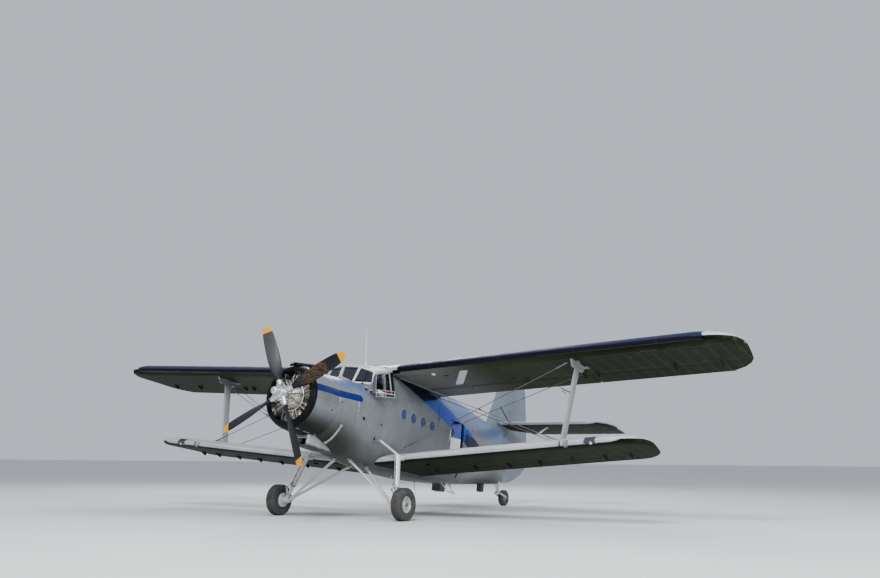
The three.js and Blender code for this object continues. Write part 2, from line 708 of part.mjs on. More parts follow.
// Outline of a cambered section, from the trailing edge over the top and back underneath
function airfoil(chord, thickness, camber, steps = 10) {
  const crest = 0.4;
  const half = (t) => 5 * thickness * (0.2969 * Math.sqrt(t) - 0.126 * t - 0.3516 * t ** 2
    + 0.2843 * t ** 3 - 0.1015 * t ** 4);
  const line = (t) => (t < crest
    ? (camber / crest ** 2) * (2 * crest * t - t * t)
    : (camber / (1 - crest) ** 2) * (1 - 2 * crest + 2 * crest * t - t * t));
  const at = (i) => (1 - Math.cos((Math.PI * i) / steps)) / 2;
  const points = [];
  for (let i = steps; i >= 0; i -= 1) {
    points.push({ s: at(i) * chord, n: (line(at(i)) + half(at(i))) * chord + (i === steps ? 2 : 0) });
  }
  for (let i = 1; i <= steps; i += 1) {
    points.push({ s: at(i) * chord, n: (line(at(i)) - half(at(i))) * chord - (i === steps ? 2 : 0) });
  }
  return points;
}

// Height of the upper and lower skins at a distance behind the leading edge
function skinsAt(wing, s) {
  const outline = airfoil(wing.chord, wing.thickness, wing.camber, 60);
  const nearest = (points) => points.reduce((a, b) => (Math.abs(a.s - s) < Math.abs(b.s - s) ? a : b)).n;
  return { top: nearest(outline.slice(0, 61)), bottom: nearest(outline.slice(60)) };
}

// Wing frame to fuselage frame: X along the span, Y aft along the chord, Z up
function wingFrame(wing) {
  return new THREE.Matrix4().makeTranslation(0, wing.y, wing.z)
    .multiply(new THREE.Matrix4().makeRotationY(-wing.dihedral))
    .multiply(new THREE.Matrix4().makeRotationX(-wing.incidence));
}

// Fraction of the chord lost at the leading and trailing edges near the rounded tip
function tipRows(wing) {
  const tip = wing.half / Math.cos(wing.dihedral);
  const rows = [{ u: wing.root, lead: 0, trail: 0, scale: 1 }];
  for (const t of [0, 0.35, 0.62, 0.82, 0.94, 1]) {
    const fall = 1 - Math.sqrt(Math.max(0, 1 - t * t));
    rows.push({
      u: tip - wing.corner * (1 - t),
      lead: 0.3 * fall,
      trail: 0.42 * fall,
      scale: 1 - 0.55 * fall,
    });
  }
  return rows;
}

function wingBlank(wing) {
  const rings = tipRows(wing).map(({ u, lead, trail, scale }) => {
    const chord = wing.chord * (1 - lead - trail);
    const middle = 0.25 * (1 - scale) * wing.camber * wing.chord;
    return airfoil(chord, (wing.thickness * scale * wing.chord) / chord, wing.camber)
      .map(({ s, n }) => vec(u, s + lead * wing.chord, n + middle));
  });
  return solid(loft(rings));
}

// Hinged surface behind a round nose; the hinge runs along the middle of the section
function surfaceSection(wing, gap) {
  const s = wing.hinge * wing.chord;
  const skins = skinsAt(wing, s);
  const centre = { s, n: (skins.top + skins.bottom) / 2 };
  const radius = (skins.top - skins.bottom) / 2 - 4 + gap;
  return { centre, radius };
}

function hingedSurface(wing, span) {
  const { centre, radius } = surfaceSection(wing, 0);
  const tailTop = skinsAt(wing, wing.chord * 0.999).top;
  const outline = [];
  for (let i = 0; i <= 10; i += 1) {
    const turn = Math.PI / 2 + (Math.PI * i) / 10;
    outline.push({ s: centre.s + radius * Math.cos(turn), n: centre.n + radius * Math.sin(turn) });
  }
  outline.push({ s: wing.chord - 2, n: tailTop - 5 }, { s: wing.chord - 2, n: tailTop + 3 });
  const ring = (u) => outline.map(({ s, n }) => vec(u, s, n));
  return solid(loft([ring(span[0]), ring(span[1])]));
}

function surfaceBay(wing, span, travel) {
  const { centre, radius } = surfaceSection(wing, MOVING_GAP);
  const lip = (radius - MOVING_GAP) * Math.tan(travel / 2) + MOVING_GAP;
  const [from, to] = [span[0] - MOVING_GAP - 2, span[1] + MOVING_GAP + 2];
  const slot = block(vec(from, centre.s - lip, -500), vec(to, wing.chord + 200, 500));
  return union(slot, rod(vec(from, centre.s, centre.n), vec(to, centre.s, centre.n), radius, 24));
}

function transformed(body, matrix) {
  const geometry = geometryOf(body);
  geometry.applyMatrix4(matrix);
  return solid(geometry);
}

// Rounded nose of the upper wing that the slat lies over
function slatNose(grow, steps = 10) {
  const skins = skinsAt(UPPER, SLAT_CHORD);
  const high = skins.top - 10 + grow;
  const low = skins.bottom + 4 - grow;
  const middle = (high + low) / 2;
  const ring = (u) => Array.from({ length: steps + 1 }, (_, i) => {
    const turn = Math.PI / 2 + (Math.PI * i) / steps;
    const reach = SLAT_CHORD - NOSE_SETBACK + grow;
    return vec(u, SLAT_CHORD + 1 + reach * Math.cos(turn), middle + ((high - low) / 2) * Math.sin(turn));
  });
  return solid(loft([ring(SLAT_SPAN[0] - 14), ring(SLAT_SPAN[1] + 14)]));
}

function pairOf(name, body, finish, parent = airframe) {
  place(parent, `${name}_left`, body, finish);
  place(parent, `${name}_right`, mirrorOf(body), finish);
}

// Hinge groups for both sides, turning the trailing edge up for a positive angle
function hingedPair(name, wing, span, finish) {
  const frame = wingFrame(wing);
  const { centre } = surfaceSection(wing, 0);
  const body = transformed(hingedSurface(wing, span), frame);
  const point = vec((span[0] + span[1]) / 2, centre.s, centre.n).applyMatrix4(frame);
  const axis = vec(1, 0, 0).transformDirection(frame);
  const left = joint(airframe, `${name}_left_hinge`, point, axis);
  place(left, `${name}_left`, body, finish);
  const right = joint(airframe, `${name}_right_hinge`, flip(point), vec(axis.x, -axis.y, -axis.z));
  place(right, `${name}_right`, mirrorOf(body), finish);
}

function bracket(u, wing) {
  const s = wing.hinge * wing.chord;
  const low = skinsAt(wing, s - 120).bottom;
  const outline = [
    { s: s - 330, n: low + 10 }, { s: s - 200, n: low - 55 }, { s: s - 95, n: low - 85 },
    { s: s - 75, n: low - 60 }, { s: s - 110, n: low + 20 }, { s: s - 300, n: low + 30 },
  ];
  const ring = (x) => outline.map((p) => vec(x, p.s, p.n));
  return solid(loft([ring(u - 14), ring(u + 14)]));
}

function buildUpperWing() {
  const frame = wingFrame(UPPER);
  const blank = wingBlank(UPPER);
  const covered = block(vec(SLAT_SPAN[0] - 14, -50, -400), vec(SLAT_SPAN[1] + 14, SLAT_CHORD, 500));
  const core = less(
    blank,
    less(covered, slatNose(0)),
    surfaceBay(UPPER, AILERON_SPAN, degrees(30)),
    surfaceBay(UPPER, UPPER_FLAP_SPAN, degrees(40)),
  );
  const brackets = [2100, 3700, 5180, 5500, 7350, 8380].map((u) => bracket(u, UPPER));
  const wing = less(
    transformed(union(core, ...brackets), frame),
    fuselageOuter(CABIN_START, TAIL_START),
    canopyShape(-3 * CONTACT_GAP, ROOF_EDGE[4].y + 2),
  );
  pairOf('upper_wing', keepLargest(wing), 'silver');
  hingedPair('aileron', UPPER, AILERON_SPAN, 'silver');
  hingedPair('upper_flap', UPPER, UPPER_FLAP_SPAN, 'silver');

  const shell = blank.intersect(block(
    vec(SLAT_SPAN[0], -50, SLAT_LIP),
    vec(SLAT_SPAN[1], SLAT_CHORD - 4, 500),
  ));
  const slat = transformed(less(shell, slatNose(MOVING_GAP)), frame);
  const point = vec((SLAT_SPAN[0] + SLAT_SPAN[1]) / 2, 0, 0).applyMatrix4(frame);
  const ahead = vec(0, -Math.cos(degrees(4)), -Math.sin(degrees(4))).transformDirection(frame);
  place(joint(airframe, 'slat_left_slide', point, ahead), 'slat_left', slat, 'navy');
  place(joint(airframe, 'slat_right_slide', flip(point), flip(ahead)), 'slat_right', mirrorOf(slat), 'navy');
}

function buildLowerWing() {
  const frame = wingFrame(LOWER);
  const core = less(wingBlank(LOWER), surfaceBay(LOWER, LOWER_FLAP_SPAN, degrees(40)));
  const brackets = [1500, 2600, 3500, 4300, 5100, 5900, 6500].map((u) => bracket(u, LOWER));
  const foot = vec(JACK_PAD.x, JACK_PAD.chordwise, skinsAt(LOWER, JACK_PAD.chordwise).bottom);
  foot.applyMatrix4(frame);
  const pad = rod(
    vec(foot.x, foot.y, foot.z - JACK_PAD.depth),
    vec(foot.x, foot.y, foot.z + 60),
    JACK_PAD.radius,
    24,
  );
  const wing = less(
    union(transformed(union(core, ...brackets), frame), pad),
    fuselageOuter(CABIN_START - 1, TAIL_START),
    fuselageOuter(COCKPIT_START, CABIN_START),
  );
  pairOf('lower_wing', keepLargest(wing), 'silver');
  hingedPair('lower_flap', LOWER, LOWER_FLAP_SPAN, 'silver');
}

// Struts and stays between the wings

function shiftedWing(wing, rise) {
  const blank = transformed(wingBlank(wing), wingFrame(wing));
  return transformed(blank, new THREE.Matrix4().makeTranslation(0, 0, rise));
}

function buildInterplaneStrut() {
  const column = member(STRUT_FOOT, STRUT_HEAD, 125, 38, 14, 120, 36);
  const slab = (low, high, y0, y1, y2, y3, half) => {
    const ring = (at, from, to) => [
      vec(at.x - half, from, at.z), vec(at.x + half, from, at.z),
      vec(at.x + half, to, at.z), vec(at.x - half, to, at.z),
    ];
    return solid(loft([ring(low, y0, y1), ring(high, y2, y3)]));
  };
  const head = slab(vec(5375, 0, 1285), vec(5398, 0, 1650), 3330, 3870, 3050, 4150, 24);
  const foot = slab(vec(5085, 0, -600), vec(5112, 0, -330), 3100, 4100, 3400, 3820, 30);
  const strut = less(
    union(column, head, foot),
    shiftedWing(UPPER, -CONTACT_GAP),
    shiftedWing(LOWER, CONTACT_GAP),
    shiftedWing(UPPER, 120),
    shiftedWing(LOWER, -120),
  );
  pairOf('interplane_strut', strut, 'strut');
}

function buildStays() {
  const legNode = vec(1400, 2860, -640);
  const flyingEnds = [vec(5330, 3180, 1330), vec(5330, 4020, 1290)];
  const landing = [
    [vec(860, 3120, 1130), vec(5160, 3290, -395)],
    [vec(880, 4350, 1060), vec(5160, 3950, -430)],
  ];
  const flying = flyingEnds.map((end) => rod(legNode, end, WIRE_RADIUS, 6));
  const crossing = landing.map(([from, to]) => rod(from, to, WIRE_RADIUS, 6));
  const clamps = flyingEnds.map((end, i) => {
    const [from, to] = landing[i];
    const meet = closest(legNode, end, from, to);
    return rod(meet[0], meet[1], 14, 6);
  });
  const knot = rod(vec(1400, 2830, -700), vec(1400, 2880, -610), 30, 8);
  const wires = less(
    union(knot, ...flying, ...crossing, ...clamps),
    shiftedWing(UPPER, -CONTACT_GAP),
    shiftedWing(LOWER, CONTACT_GAP),
    fuselageOuter(CABIN_START, TAIL_START),
  );
  pairOf('stay_wires', wires, 'bright');
}

// Nearest points of two straight lines, each carried a little past the other
function closest(a, b, c, d) {
  const u = new THREE.Vector3().subVectors(b, a);
  const v = new THREE.Vector3().subVectors(d, c);
  const w = new THREE.Vector3().subVectors(a, c);
  const [uu, uv, vv, uw, vw] = [u.dot(u), u.dot(v), v.dot(v), u.dot(w), v.dot(w)];
  const spread = uu * vv - uv * uv;
  const p = a.clone().addScaledVector(u, (uv * vw - vv * uw) / spread);
  const q = c.clone().addScaledVector(v, (uu * vw - uv * uw) / spread);
  const past = new THREE.Vector3().subVectors(q, p).normalize().multiplyScalar(20);
  return [p.sub(past), q.add(past)];
}

// Tail surfaces

function finRing({ z, nose, half }, grow) {
  const hinge = RUDDER_HINGE;
  const stops = [0, 0.04, 0.12, 0.28, 0.55, 1];
  const side = stops.map((t) => ({
    y: nose - grow + (hinge - nose + grow) * t,
    x: (half + grow) * Math.min(1.08, 1.55 * Math.sqrt(t) - 0.55 * t),
  }));
  const port = side.map((p) => vec(p.x, p.y, z));
  const starboard = side.slice(1).reverse().map((p) => vec(-p.x, p.y, z));
  return [...port, ...starboard];
}

function tailplaneOutline(grow) {
  const chord = TAILPLANE.tail - TAILPLANE.y;
  return (scale, lead) => airfoil(chord * (1 - lead), (TAILPLANE.thickness * scale) / (1 - lead), 0, 9)
    .map(({ s, n }) => ({ y: TAILPLANE.y + s + lead * chord, z: TAILPLANE.z + n + Math.sign(n) * grow }));
}

function tailplaneHalf(grow) {
  const outline = tailplaneOutline(grow);
  const rows = [
    { x: -5, scale: 1, lead: 0 },
    { x: TAILPLANE.half - 620, scale: 1, lead: 0 },
    { x: TAILPLANE.half - 330, scale: 0.9, lead: 0.06 },
    { x: TAILPLANE.half - 110, scale: 0.75, lead: 0.17 },
    { x: TAILPLANE.half, scale: 0.5, lead: 0.34 },
  ];
  return solid(loft(rows.map(({ x, scale, lead }) => outline(scale, lead).map((p) => vec(x, p.y, p.z)))));
}

function tailplaneHinge() {
  const chord = TAILPLANE.tail - TAILPLANE.y;
  const skins = skinsAt({ chord, thickness: TAILPLANE.thickness, camber: 0 }, TAILPLANE.hinge - TAILPLANE.y);
  return skins.top - 3;
}

function buildTail() {
  const radius = tailplaneHinge();
  const line = (from, to, r) => rod(
    vec(from, TAILPLANE.hinge, TAILPLANE.z),
    vec(to, TAILPLANE.hinge, TAILPLANE.z),
    r,
    24,
  );
  const halfPlane = tailplaneHalf(0);
  const wholePlane = union(halfPlane, mirrorOf(halfPlane));
  const notchOf = (gap) => solid(loft([1200, 1700].map((z) => [
    vec(gap - 125, 10095 + gap, z), vec(125 - gap, 10095 + gap, z), vec(125 - gap, RUDDER_HINGE, z),
    vec(300 - gap, 10600, z), vec(gap - 300, 10600, z), vec(gap - 125, RUDDER_HINGE, z),
  ])));
  const notch = notchOf(0);
  const lip = radius * Math.tan(degrees(21)) + MOVING_GAP;
  const rearCut = block(vec(-4000, TAILPLANE.hinge - lip, 1000), vec(4000, 12000, 2000));
  const plane = less(
    wholePlane,
    rearCut,
    line(-4000, 4000, radius + MOVING_GAP),
    notch,
    fuselageOuter(9000, STERNPOST),
  );
  place(airframe, 'tailplane', plane, 'silver');

  const fin = less(
    solid(loft(FIN_LEVELS.map((row) => finRing(row, 0)))),
    fuselageOuter(8500, STERNPOST + 1),
    block(vec(-200, RUDDER_HINGE - 48, 0), vec(200, 11000, 4000)),
    rudderNose(MOVING_GAP),
    less(union(tailplaneHalf(CONTACT_GAP), mirrorOf(tailplaneHalf(CONTACT_GAP))), notchOf(CONTACT_GAP)),
  );
  place(airframe, 'fin', keepLargest(fin), 'silver');
  const rudderGroup = joint(airframe, 'rudder_hinge', vec(0, RUDDER_HINGE, 1000), vec(0, 0, 1));
  place(rudderGroup, 'rudder', rudderBody(), 'silver');

  const { front, rear } = ELEVATOR_INNER;
  const slope = (rear - front) / (TAILPLANE.tail - TAILPLANE.hinge);
  const inner = solid(loft([1200, 1700].map((z) => [
    vec(-100, 10200, z), vec(front - slope * 250, 10200, z),
    vec(front + slope * 1000, TAILPLANE.hinge + 1000, z), vec(-100, TAILPLANE.hinge + 1000, z),
  ])));
  const aft = union(
    halfPlane.intersect(block(vec(0, TAILPLANE.hinge, 1000), vec(4000, 12000, 2000))),
    line(200, TAILPLANE.half - 330, radius),
  );
  const elevator = less(aft.intersect(block(vec(0, 9000, 1000), vec(TAILPLANE.half - 60, 12000, 2000))), inner);
  const hinge = vec(1900, TAILPLANE.hinge, TAILPLANE.z);
  place(joint(airframe, 'elevator_left_hinge', hinge, vec(1, 0, 0)), 'elevator_left', elevator, 'silver');
  const other = joint(airframe, 'elevator_right_hinge', flip(hinge), vec(1, 0, 0));
  place(other, 'elevator_right', mirrorOf(elevator), 'silver');

  const brace = less(
    member(vec(130, 9620, 150), vec(1650, 9960, 1440), 42, 19, 10),
    fuselageOuter(9000, STERNPOST),
    tailplaneHalf(CONTACT_GAP),
    block(vec(0, 9000, TAILPLANE.z), vec(4000, 11000, 2000)),
  );
  pairOf('tail_strut', keepLargest(brace), 'strut');
}

function keepLargest(body) {
  return body.decompose().reduce((a, b) => (a.volume() > b.volume() ? a : b));
}

function rudderNose(grow) {
  const rings = RUDDER_LEVELS.map(({ z, nose }) => Array.from({ length: 20 }, (_, i) => {
    const turn = (2 * Math.PI * i) / 20;
    return vec((nose + grow) * Math.cos(turn), RUDDER_HINGE + (nose + grow) * Math.sin(turn), z);
  }));
  rings[0] = rings[0].map((p) => vec(p.x, p.y, p.z - grow));
  const top = rings.length - 1;
  rings[top] = rings[top].map((p) => vec(p.x, p.y, p.z + grow));
  return solid(loft(rings));
}

function rudderBody() {
  const rings = RUDDER_LEVELS.map(({ z, tail, nose }) => {
    const ring = [];
    for (let i = 0; i <= 10; i += 1) {
      const turn = (Math.PI * i) / 10;
      ring.push(vec(nose * Math.cos(turn), RUDDER_HINGE - nose * Math.sin(turn), z));
    }
    const reach = tail - RUDDER_HINGE;
    ring.push(vec(-nose * 0.62, RUDDER_HINGE + 0.5 * reach, z), vec(-3, tail, z));
    ring.push(vec(3, tail, z), vec(nose * 0.62, RUDDER_HINGE + 0.5 * reach, z));
    return ring;
  });
  return solid(loft(rings));
}

// Main gear

function wheelPieces(radius, width, rimRadius, bore, sides) {
  const half = width / 2;
  const flat = 0.62 * half;
  const tyre = turned([
    [rimRadius, -half * 0.78], [rimRadius + 22, -half * 0.98], [radius * 0.86, -half],
    [radius * 0.965, -half * 0.84], [radius, -flat], [radius, flat],
    [radius * 0.965, half * 0.84], [radius * 0.86, half], [rimRadius + 22, half * 0.98],
    [rimRadius, half * 0.78], [rimRadius, -half * 0.78],
  ], 'x', sides, Math.PI / 2 + Math.PI / sides);
  const lip = rimRadius * Math.cos(Math.PI / sides) - CONTACT_GAP;
  const hub = turned([
    [bore, -half * 0.62], [lip * 0.45, -half * 0.62], [lip * 0.7, -half * 0.35], [lip * 0.92, -half * 0.66],
    [lip, -half * 0.72], [lip, half * 0.72], [lip * 0.92, half * 0.66],
    [lip * 0.7, half * 0.35], [lip * 0.45, half * 0.62], [bore, half * 0.62], [bore, -half * 0.62],
  ], 'x', 24);
  return { tyre, hub };
}

function moved(body, x, y, z) {
  return transformed(body, new THREE.Matrix4().makeTranslation(x, y, z));
}

function buildMainGear() {
  const { tyre, hub } = wheelPieces(TYRE_RADIUS, TYRE_WIDTH, 195, 46, TYRE_SIDES);
  for (const [side, sign] of [['left', 1], ['right', -1]]) {
    const centre = vec((sign * TRACK) / 2, AXLE_Y, AXLE_HEIGHT);
    const spin = joint(onGround, `wheel_${side}_spin`, centre, vec(1, 0, 0));
    place(spin, `tyre_${side}`, moved(tyre, centre.x, centre.y, centre.z), 'rubber');
    place(spin, `wheel_hub_${side}`, moved(hub, centre.x, centre.y, centre.z), 'bright');
  }

  const axle = toFuselage(TRACK / 2, AXLE_Y, AXLE_HEIGHT);
  const knee = vec(1622, axle.y + 20, axle.z + 10);
  const toward = new THREE.Vector3().subVectors(LEG_TOP, knee).normalize();
  const step = (distance) => knee.clone().addScaledVector(toward, distance);
  const reach = knee.distanceTo(LEG_TOP);
  const leg = union(
    rod(vec(1575, axle.y, axle.z), vec(1920, axle.y, axle.z), 38, 16),
    rod(vec(1560, axle.y, axle.z), vec(1675, axle.y, axle.z), 78, 16),
    rod(step(-20), step(reach * 0.4), 46, 14),
    rod(step(reach * 0.32), step(reach), 66, 16),
    rod(LEG_TOP.clone().add(vec(0, -30, -50)), LEG_TOP.clone().add(vec(20, 330, 20)), 62, 10),
    rod(LEG_TOP.clone().add(vec(10, 20, 20)), vec(840, 2670, -500), 26, 10),
  );
  const trimmed = less(
    leg,
    fuselageOuter(COCKPIT_START, CABIN_START),
    fuselageOuter(CABIN_START - 1, TAIL_START),
    grownLowerWing(),
  );
  pairOf('gear_leg', keepLargest(trimmed), 'strut');

  const lug = rod(vec(1510, axle.y, axle.z), vec(1560 - CONTACT_GAP, axle.y, axle.z), 62, 14);
  const braces = STRUT_BELLY.map((end) => member(vec(1515, axle.y, axle.z), end, 44, 24, 12));
  const struts = less(
    union(lug, ...braces),
    fuselageOuter(COCKPIT_START, CABIN_START),
    fuselageOuter(CABIN_START - 1, TAIL_START),
  );
  pairOf('gear_struts', keepLargest(struts), 'strut');
}

// The lower wing pushed out on the sides that the leg fitting meets
function grownLowerWing() {
  const blank = transformed(wingBlank(LOWER), wingFrame(LOWER));
  const forward = transformed(blank, new THREE.Matrix4().makeTranslation(0, -2 * CONTACT_GAP, 0));
  return union(forward, shiftedWing(LOWER, -CONTACT_GAP), shiftedWing(LOWER, CONTACT_GAP));
}

// Tail gear

function buildTailGear() {
  const belly = 855;
  const housing = union(
    rod(vec(0, SWIVEL_Y, 430), vec(0, SWIVEL_Y, belly), 52, 14, 70),
    member(vec(0, SWIVEL_Y - 20, 560), vec(0, SWIVEL_Y - 330, 890), 30, 26, 10),
  );
  const inFuselage = transformed(housing, groundToFuselage());
  place(airframe, 'tail_leg', keepLargest(less(inFuselage, fuselageOuter(9000, STERNPOST + 1))), 'strut');

  const swivel = joint(onGround, 'tail_swivel', vec(0, SWIVEL_Y, 430), vec(0, 0, 1));
  const arm = (x) => member(
    vec(x * 0.8, SWIVEL_Y, 385),
    vec(x, TAIL_AXLE_Y + 20, TAIL_AXLE_HEIGHT),
    34,
    13,
    10,
    30,
    13,
  );
  const fork = union(
    rod(vec(0, SWIVEL_Y, 350), vec(0, SWIVEL_Y, 430 - CONTACT_GAP), 60, 14),
    member(vec(-100, SWIVEL_Y, 385), vec(100, SWIVEL_Y, 385), 38, 26, 10),
    arm(104),
    arm(-104),
    rod(vec(-117, TAIL_AXLE_Y, TAIL_AXLE_HEIGHT), vec(117, TAIL_AXLE_Y, TAIL_AXLE_HEIGHT), 18, 12),
  );
  place(swivel, 'tail_fork', fork, 'strut');

  const { tyre, hub } = wheelPieces(TAIL_TYRE_RADIUS, TAIL_TYRE_WIDTH, 105, 24, TAIL_TYRE_SIDES);
  const centre = vec(0, TAIL_AXLE_Y, TAIL_AXLE_HEIGHT);
  const local = centre.clone().sub(vec(0, SWIVEL_Y, 430));
  const spin = joint(swivel, 'tail_wheel_spin', local, vec(1, 0, 0));
  spin.userData.undo.multiply(swivel.userData.undo);
  place(spin, 'tail_tyre', moved(tyre, 0, TAIL_AXLE_Y, TAIL_AXLE_HEIGHT), 'rubber');
  place(spin, 'tail_wheel_hub', moved(hub, 0, TAIL_AXLE_Y, TAIL_AXLE_HEIGHT), 'bright');
}

function groundToFuselage() {
  return new THREE.Matrix4().makeRotationX(GROUND_ANGLE)
    .multiply(new THREE.Matrix4().makeTranslation(0, 0, -THRUST_LINE_HEIGHT));
}

function buildAntenna() {
  const base = toFuselage(0, 3060, 3680);
  const foot = rod(vec(0, base.y, base.z - 40), vec(0, base.y, base.z + 40), 45, 12, 30);
  const mast = rod(vec(0, base.y, base.z), toFuselage(0, 3060, 4545), 17, 8, 8);
  const trimmed = less(union(foot, mast), canopyShape(-CONTACT_GAP, ROOF_EDGE[4].y));
  place(airframe, 'antenna_mast', keepLargest(trimmed), 'strut');
}

buildNoseSection();
buildCockpit();
buildCockpitInterior();
buildCabin();
buildTailCone();
buildDoor();
buildCowl();
buildEngine();
buildScoop();
buildCooler();
buildExhaust();
buildPropeller();
buildUpperWing();
buildLowerWing();
buildInterplaneStrut();
buildStays();
buildTail();
buildMainGear();
buildTailGear();
buildAntenna();

// Origin under the middle of the whole box, on the ground
aircraft.updateMatrixWorld(true);
const box = new THREE.Box3().setFromObject(aircraft, true);
aircraft.position.y = -(box.min.y + box.max.y) / 2;
aircraft.updateMatrixWorld(true);

export default aircraft;
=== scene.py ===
"""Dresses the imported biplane: finer skins, fittings, finishes, studio light and the camera.

Lengths are in metres. The airframe frame has X to port, Y aft of the propeller plane and Z up from
the thrust line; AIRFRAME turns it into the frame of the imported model, which stands on the ground.
"""

import json
import math

import bmesh
import bpy
from mathutils import Matrix, Vector


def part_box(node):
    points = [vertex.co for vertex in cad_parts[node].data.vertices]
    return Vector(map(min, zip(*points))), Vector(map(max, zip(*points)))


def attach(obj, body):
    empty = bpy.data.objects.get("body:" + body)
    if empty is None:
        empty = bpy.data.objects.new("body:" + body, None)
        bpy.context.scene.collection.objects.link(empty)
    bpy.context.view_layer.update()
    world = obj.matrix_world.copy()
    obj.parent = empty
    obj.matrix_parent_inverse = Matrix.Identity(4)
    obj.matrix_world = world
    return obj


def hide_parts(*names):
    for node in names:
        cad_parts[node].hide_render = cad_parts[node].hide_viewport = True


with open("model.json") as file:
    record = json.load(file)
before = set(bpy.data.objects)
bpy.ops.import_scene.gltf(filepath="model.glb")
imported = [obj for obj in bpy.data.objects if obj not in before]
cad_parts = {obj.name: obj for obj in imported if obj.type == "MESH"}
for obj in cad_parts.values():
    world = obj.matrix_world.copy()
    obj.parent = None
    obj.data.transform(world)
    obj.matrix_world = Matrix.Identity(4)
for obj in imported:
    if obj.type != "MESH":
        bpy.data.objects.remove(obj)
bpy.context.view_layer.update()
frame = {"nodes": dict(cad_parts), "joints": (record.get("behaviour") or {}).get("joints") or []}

JOINTS = {joint["name"]: joint for joint in frame["joints"]}
NODES = frame["nodes"]

# Stance, from the propeller's joint
HUB = Vector(JOINTS["propeller_spin"]["pos_m"])
PROP_AXIS = Vector(JOINTS["propeller_spin"]["axis"])
PITCH = math.atan2(-PROP_AXIS.z, PROP_AXIS.y)
AIRFRAME = Matrix.Translation(HUB) @ Matrix.Rotation(-PITCH, 4, "X")
GROUND = Matrix.Identity(4)
SIDES = (("left", 1), ("right", -1))

# Camera: place from the propeller hub, direction, lens and picture
CAMERA_FROM_HUB = Vector((14.4328, -16.4142, -1.3911))
CAMERA_YAW = math.radians(32.223)
CAMERA_PITCH = math.radians(9.865)
CAMERA_ROLL = math.radians(0.463)
FOCAL_PIXELS = 974.634
PICTURE_WIDTH = 880
SENSOR = 36.0

# Fuselage stations: y, half width, height of greatest width, top, bottom, squareness above, below
STATIONS = [
    (1.110, 0.738, 0.00, 0.738, -0.745, 2.0, 2.0),
    (1.450, 0.790, 0.00, 0.775, -0.835, 2.1, 2.2),
    (1.800, 0.850, 0.00, 0.800, -0.930, 2.3, 2.4),
    (2.300, 0.903, 0.02, 0.850, -1.000, 2.6, 2.8),
    (2.914, 0.905, 0.04, 0.900, -1.060, 2.7, 3.0),
    (2.915, 0.905, 0.04, 1.435, -1.060, 2.9, 3.0),
    (3.600, 0.905, 0.06, 1.460, -1.070, 3.1, 3.3),
    (4.900, 0.900, 0.08, 1.460, -1.040, 3.2, 3.8),
    (6.450, 0.838, 0.10, 1.435, -0.900, 3.2, 4.0),
    (7.050, 0.770, 0.15, 1.415, -0.820, 2.9, 3.4),
    (8.000, 0.610, 0.25, 1.370, -0.660, 2.5, 2.8),
    (9.000, 0.400, 0.36, 1.320, -0.490, 2.2, 2.3),
    (9.700, 0.240, 0.43, 1.290, -0.370, 2.1, 2.2),
    (10.120, 0.103, 0.48, 1.270, -0.290, 2.0, 2.0),
]
RING_SIDES = 32
COWL_BACK = 1.110
CABIN_FRONT = 2.915

# Wings: leading edge on the centre line, chord, dihedral, incidence, section
UPPER = {
    "y": 2.860, "z": 1.254, "chord": 2.400, "dihedral": math.radians(2.93),
    "incidence": math.radians(2.8), "thickness": 0.14, "camber": 0.045, "hinge": 0.74,
    "corner": 0.900, "tip": 9.0869,
}
LOWER = {
    "y": 2.926, "z": -0.972, "chord": 2.000, "dihedral": math.radians(4.64),
    "incidence": math.radians(1.0), "thickness": 0.14, "camber": 0.04, "hinge": 0.75,
    "corner": 0.650, "tip": 7.1585,
}
AIRFOIL_STEPS = 10
RIB_PITCH = 0.300
RIB_SAG = 0.0045
SLAT_ROOT = 0.962
SLAT_TIP = 8.418
SLAT_SHEET_SHARES = [0.004, 0.008, 0.014, 0.022, 0.032, 0.044, 0.058, 0.074, 0.092, 0.112, 0.137]

# Tail; the tips' rows give the span, the chord lost ahead and behind, and the thickness left
TAILPLANE_HEIGHT = 1.440
TAILPLANE_HINGE = 10.450
RUDDER_HINGE = 10.235
ELEVATOR_HINGES = (0.75, 1.55, 2.35, 3.10)
RUDDER_HINGES = (0.10, 0.95, 1.95, 2.70)
TAILPLANE = {
    "y": 9.526, "z": TAILPLANE_HEIGHT, "chord": 1.724, "dihedral": 0.0, "incidence": 0.0,
    "thickness": 0.088, "camber": 0.0, "hinge": 0.536, "tip": 3.595,
    "tip_rows": [
        (0.0, 0.0, 0.0, 1.0), (2.975, 0.0, 0.0, 1.0), (3.265, 0.06, 0.0, 0.9),
        (3.485, 0.17, 0.0, 0.75), (3.595, 0.34, 0.0, 0.5),
    ],
}

# Cowl and engine
CYLINDER_COUNT = 9
CYLINDER_Y = 0.540
FIN_PITCH = 0.0125
PUSH_ROD_RADIUS = 0.0125

# Round windows
WINDOW_STATIONS = (3.450, 3.885, 4.320, 4.755)
WINDOW_HEIGHT = 0.290
WINDOW_RADIUS = 0.135
RIM_BOLTS = 18


def lerp(a, b, t):
    return a + (b - a) * t


def along(table, y):
    """Row of a table at a station, with straight runs between the rows."""
    rows = list(table)
    if y <= rows[0][0]:
        return rows[0]
    for low, high in zip(rows, rows[1:]):
        if y <= high[0]:
            t = (y - low[0]) / (high[0] - low[0])
            return tuple(lerp(a, b, t) for a, b in zip(low, high))
    return rows[-1]


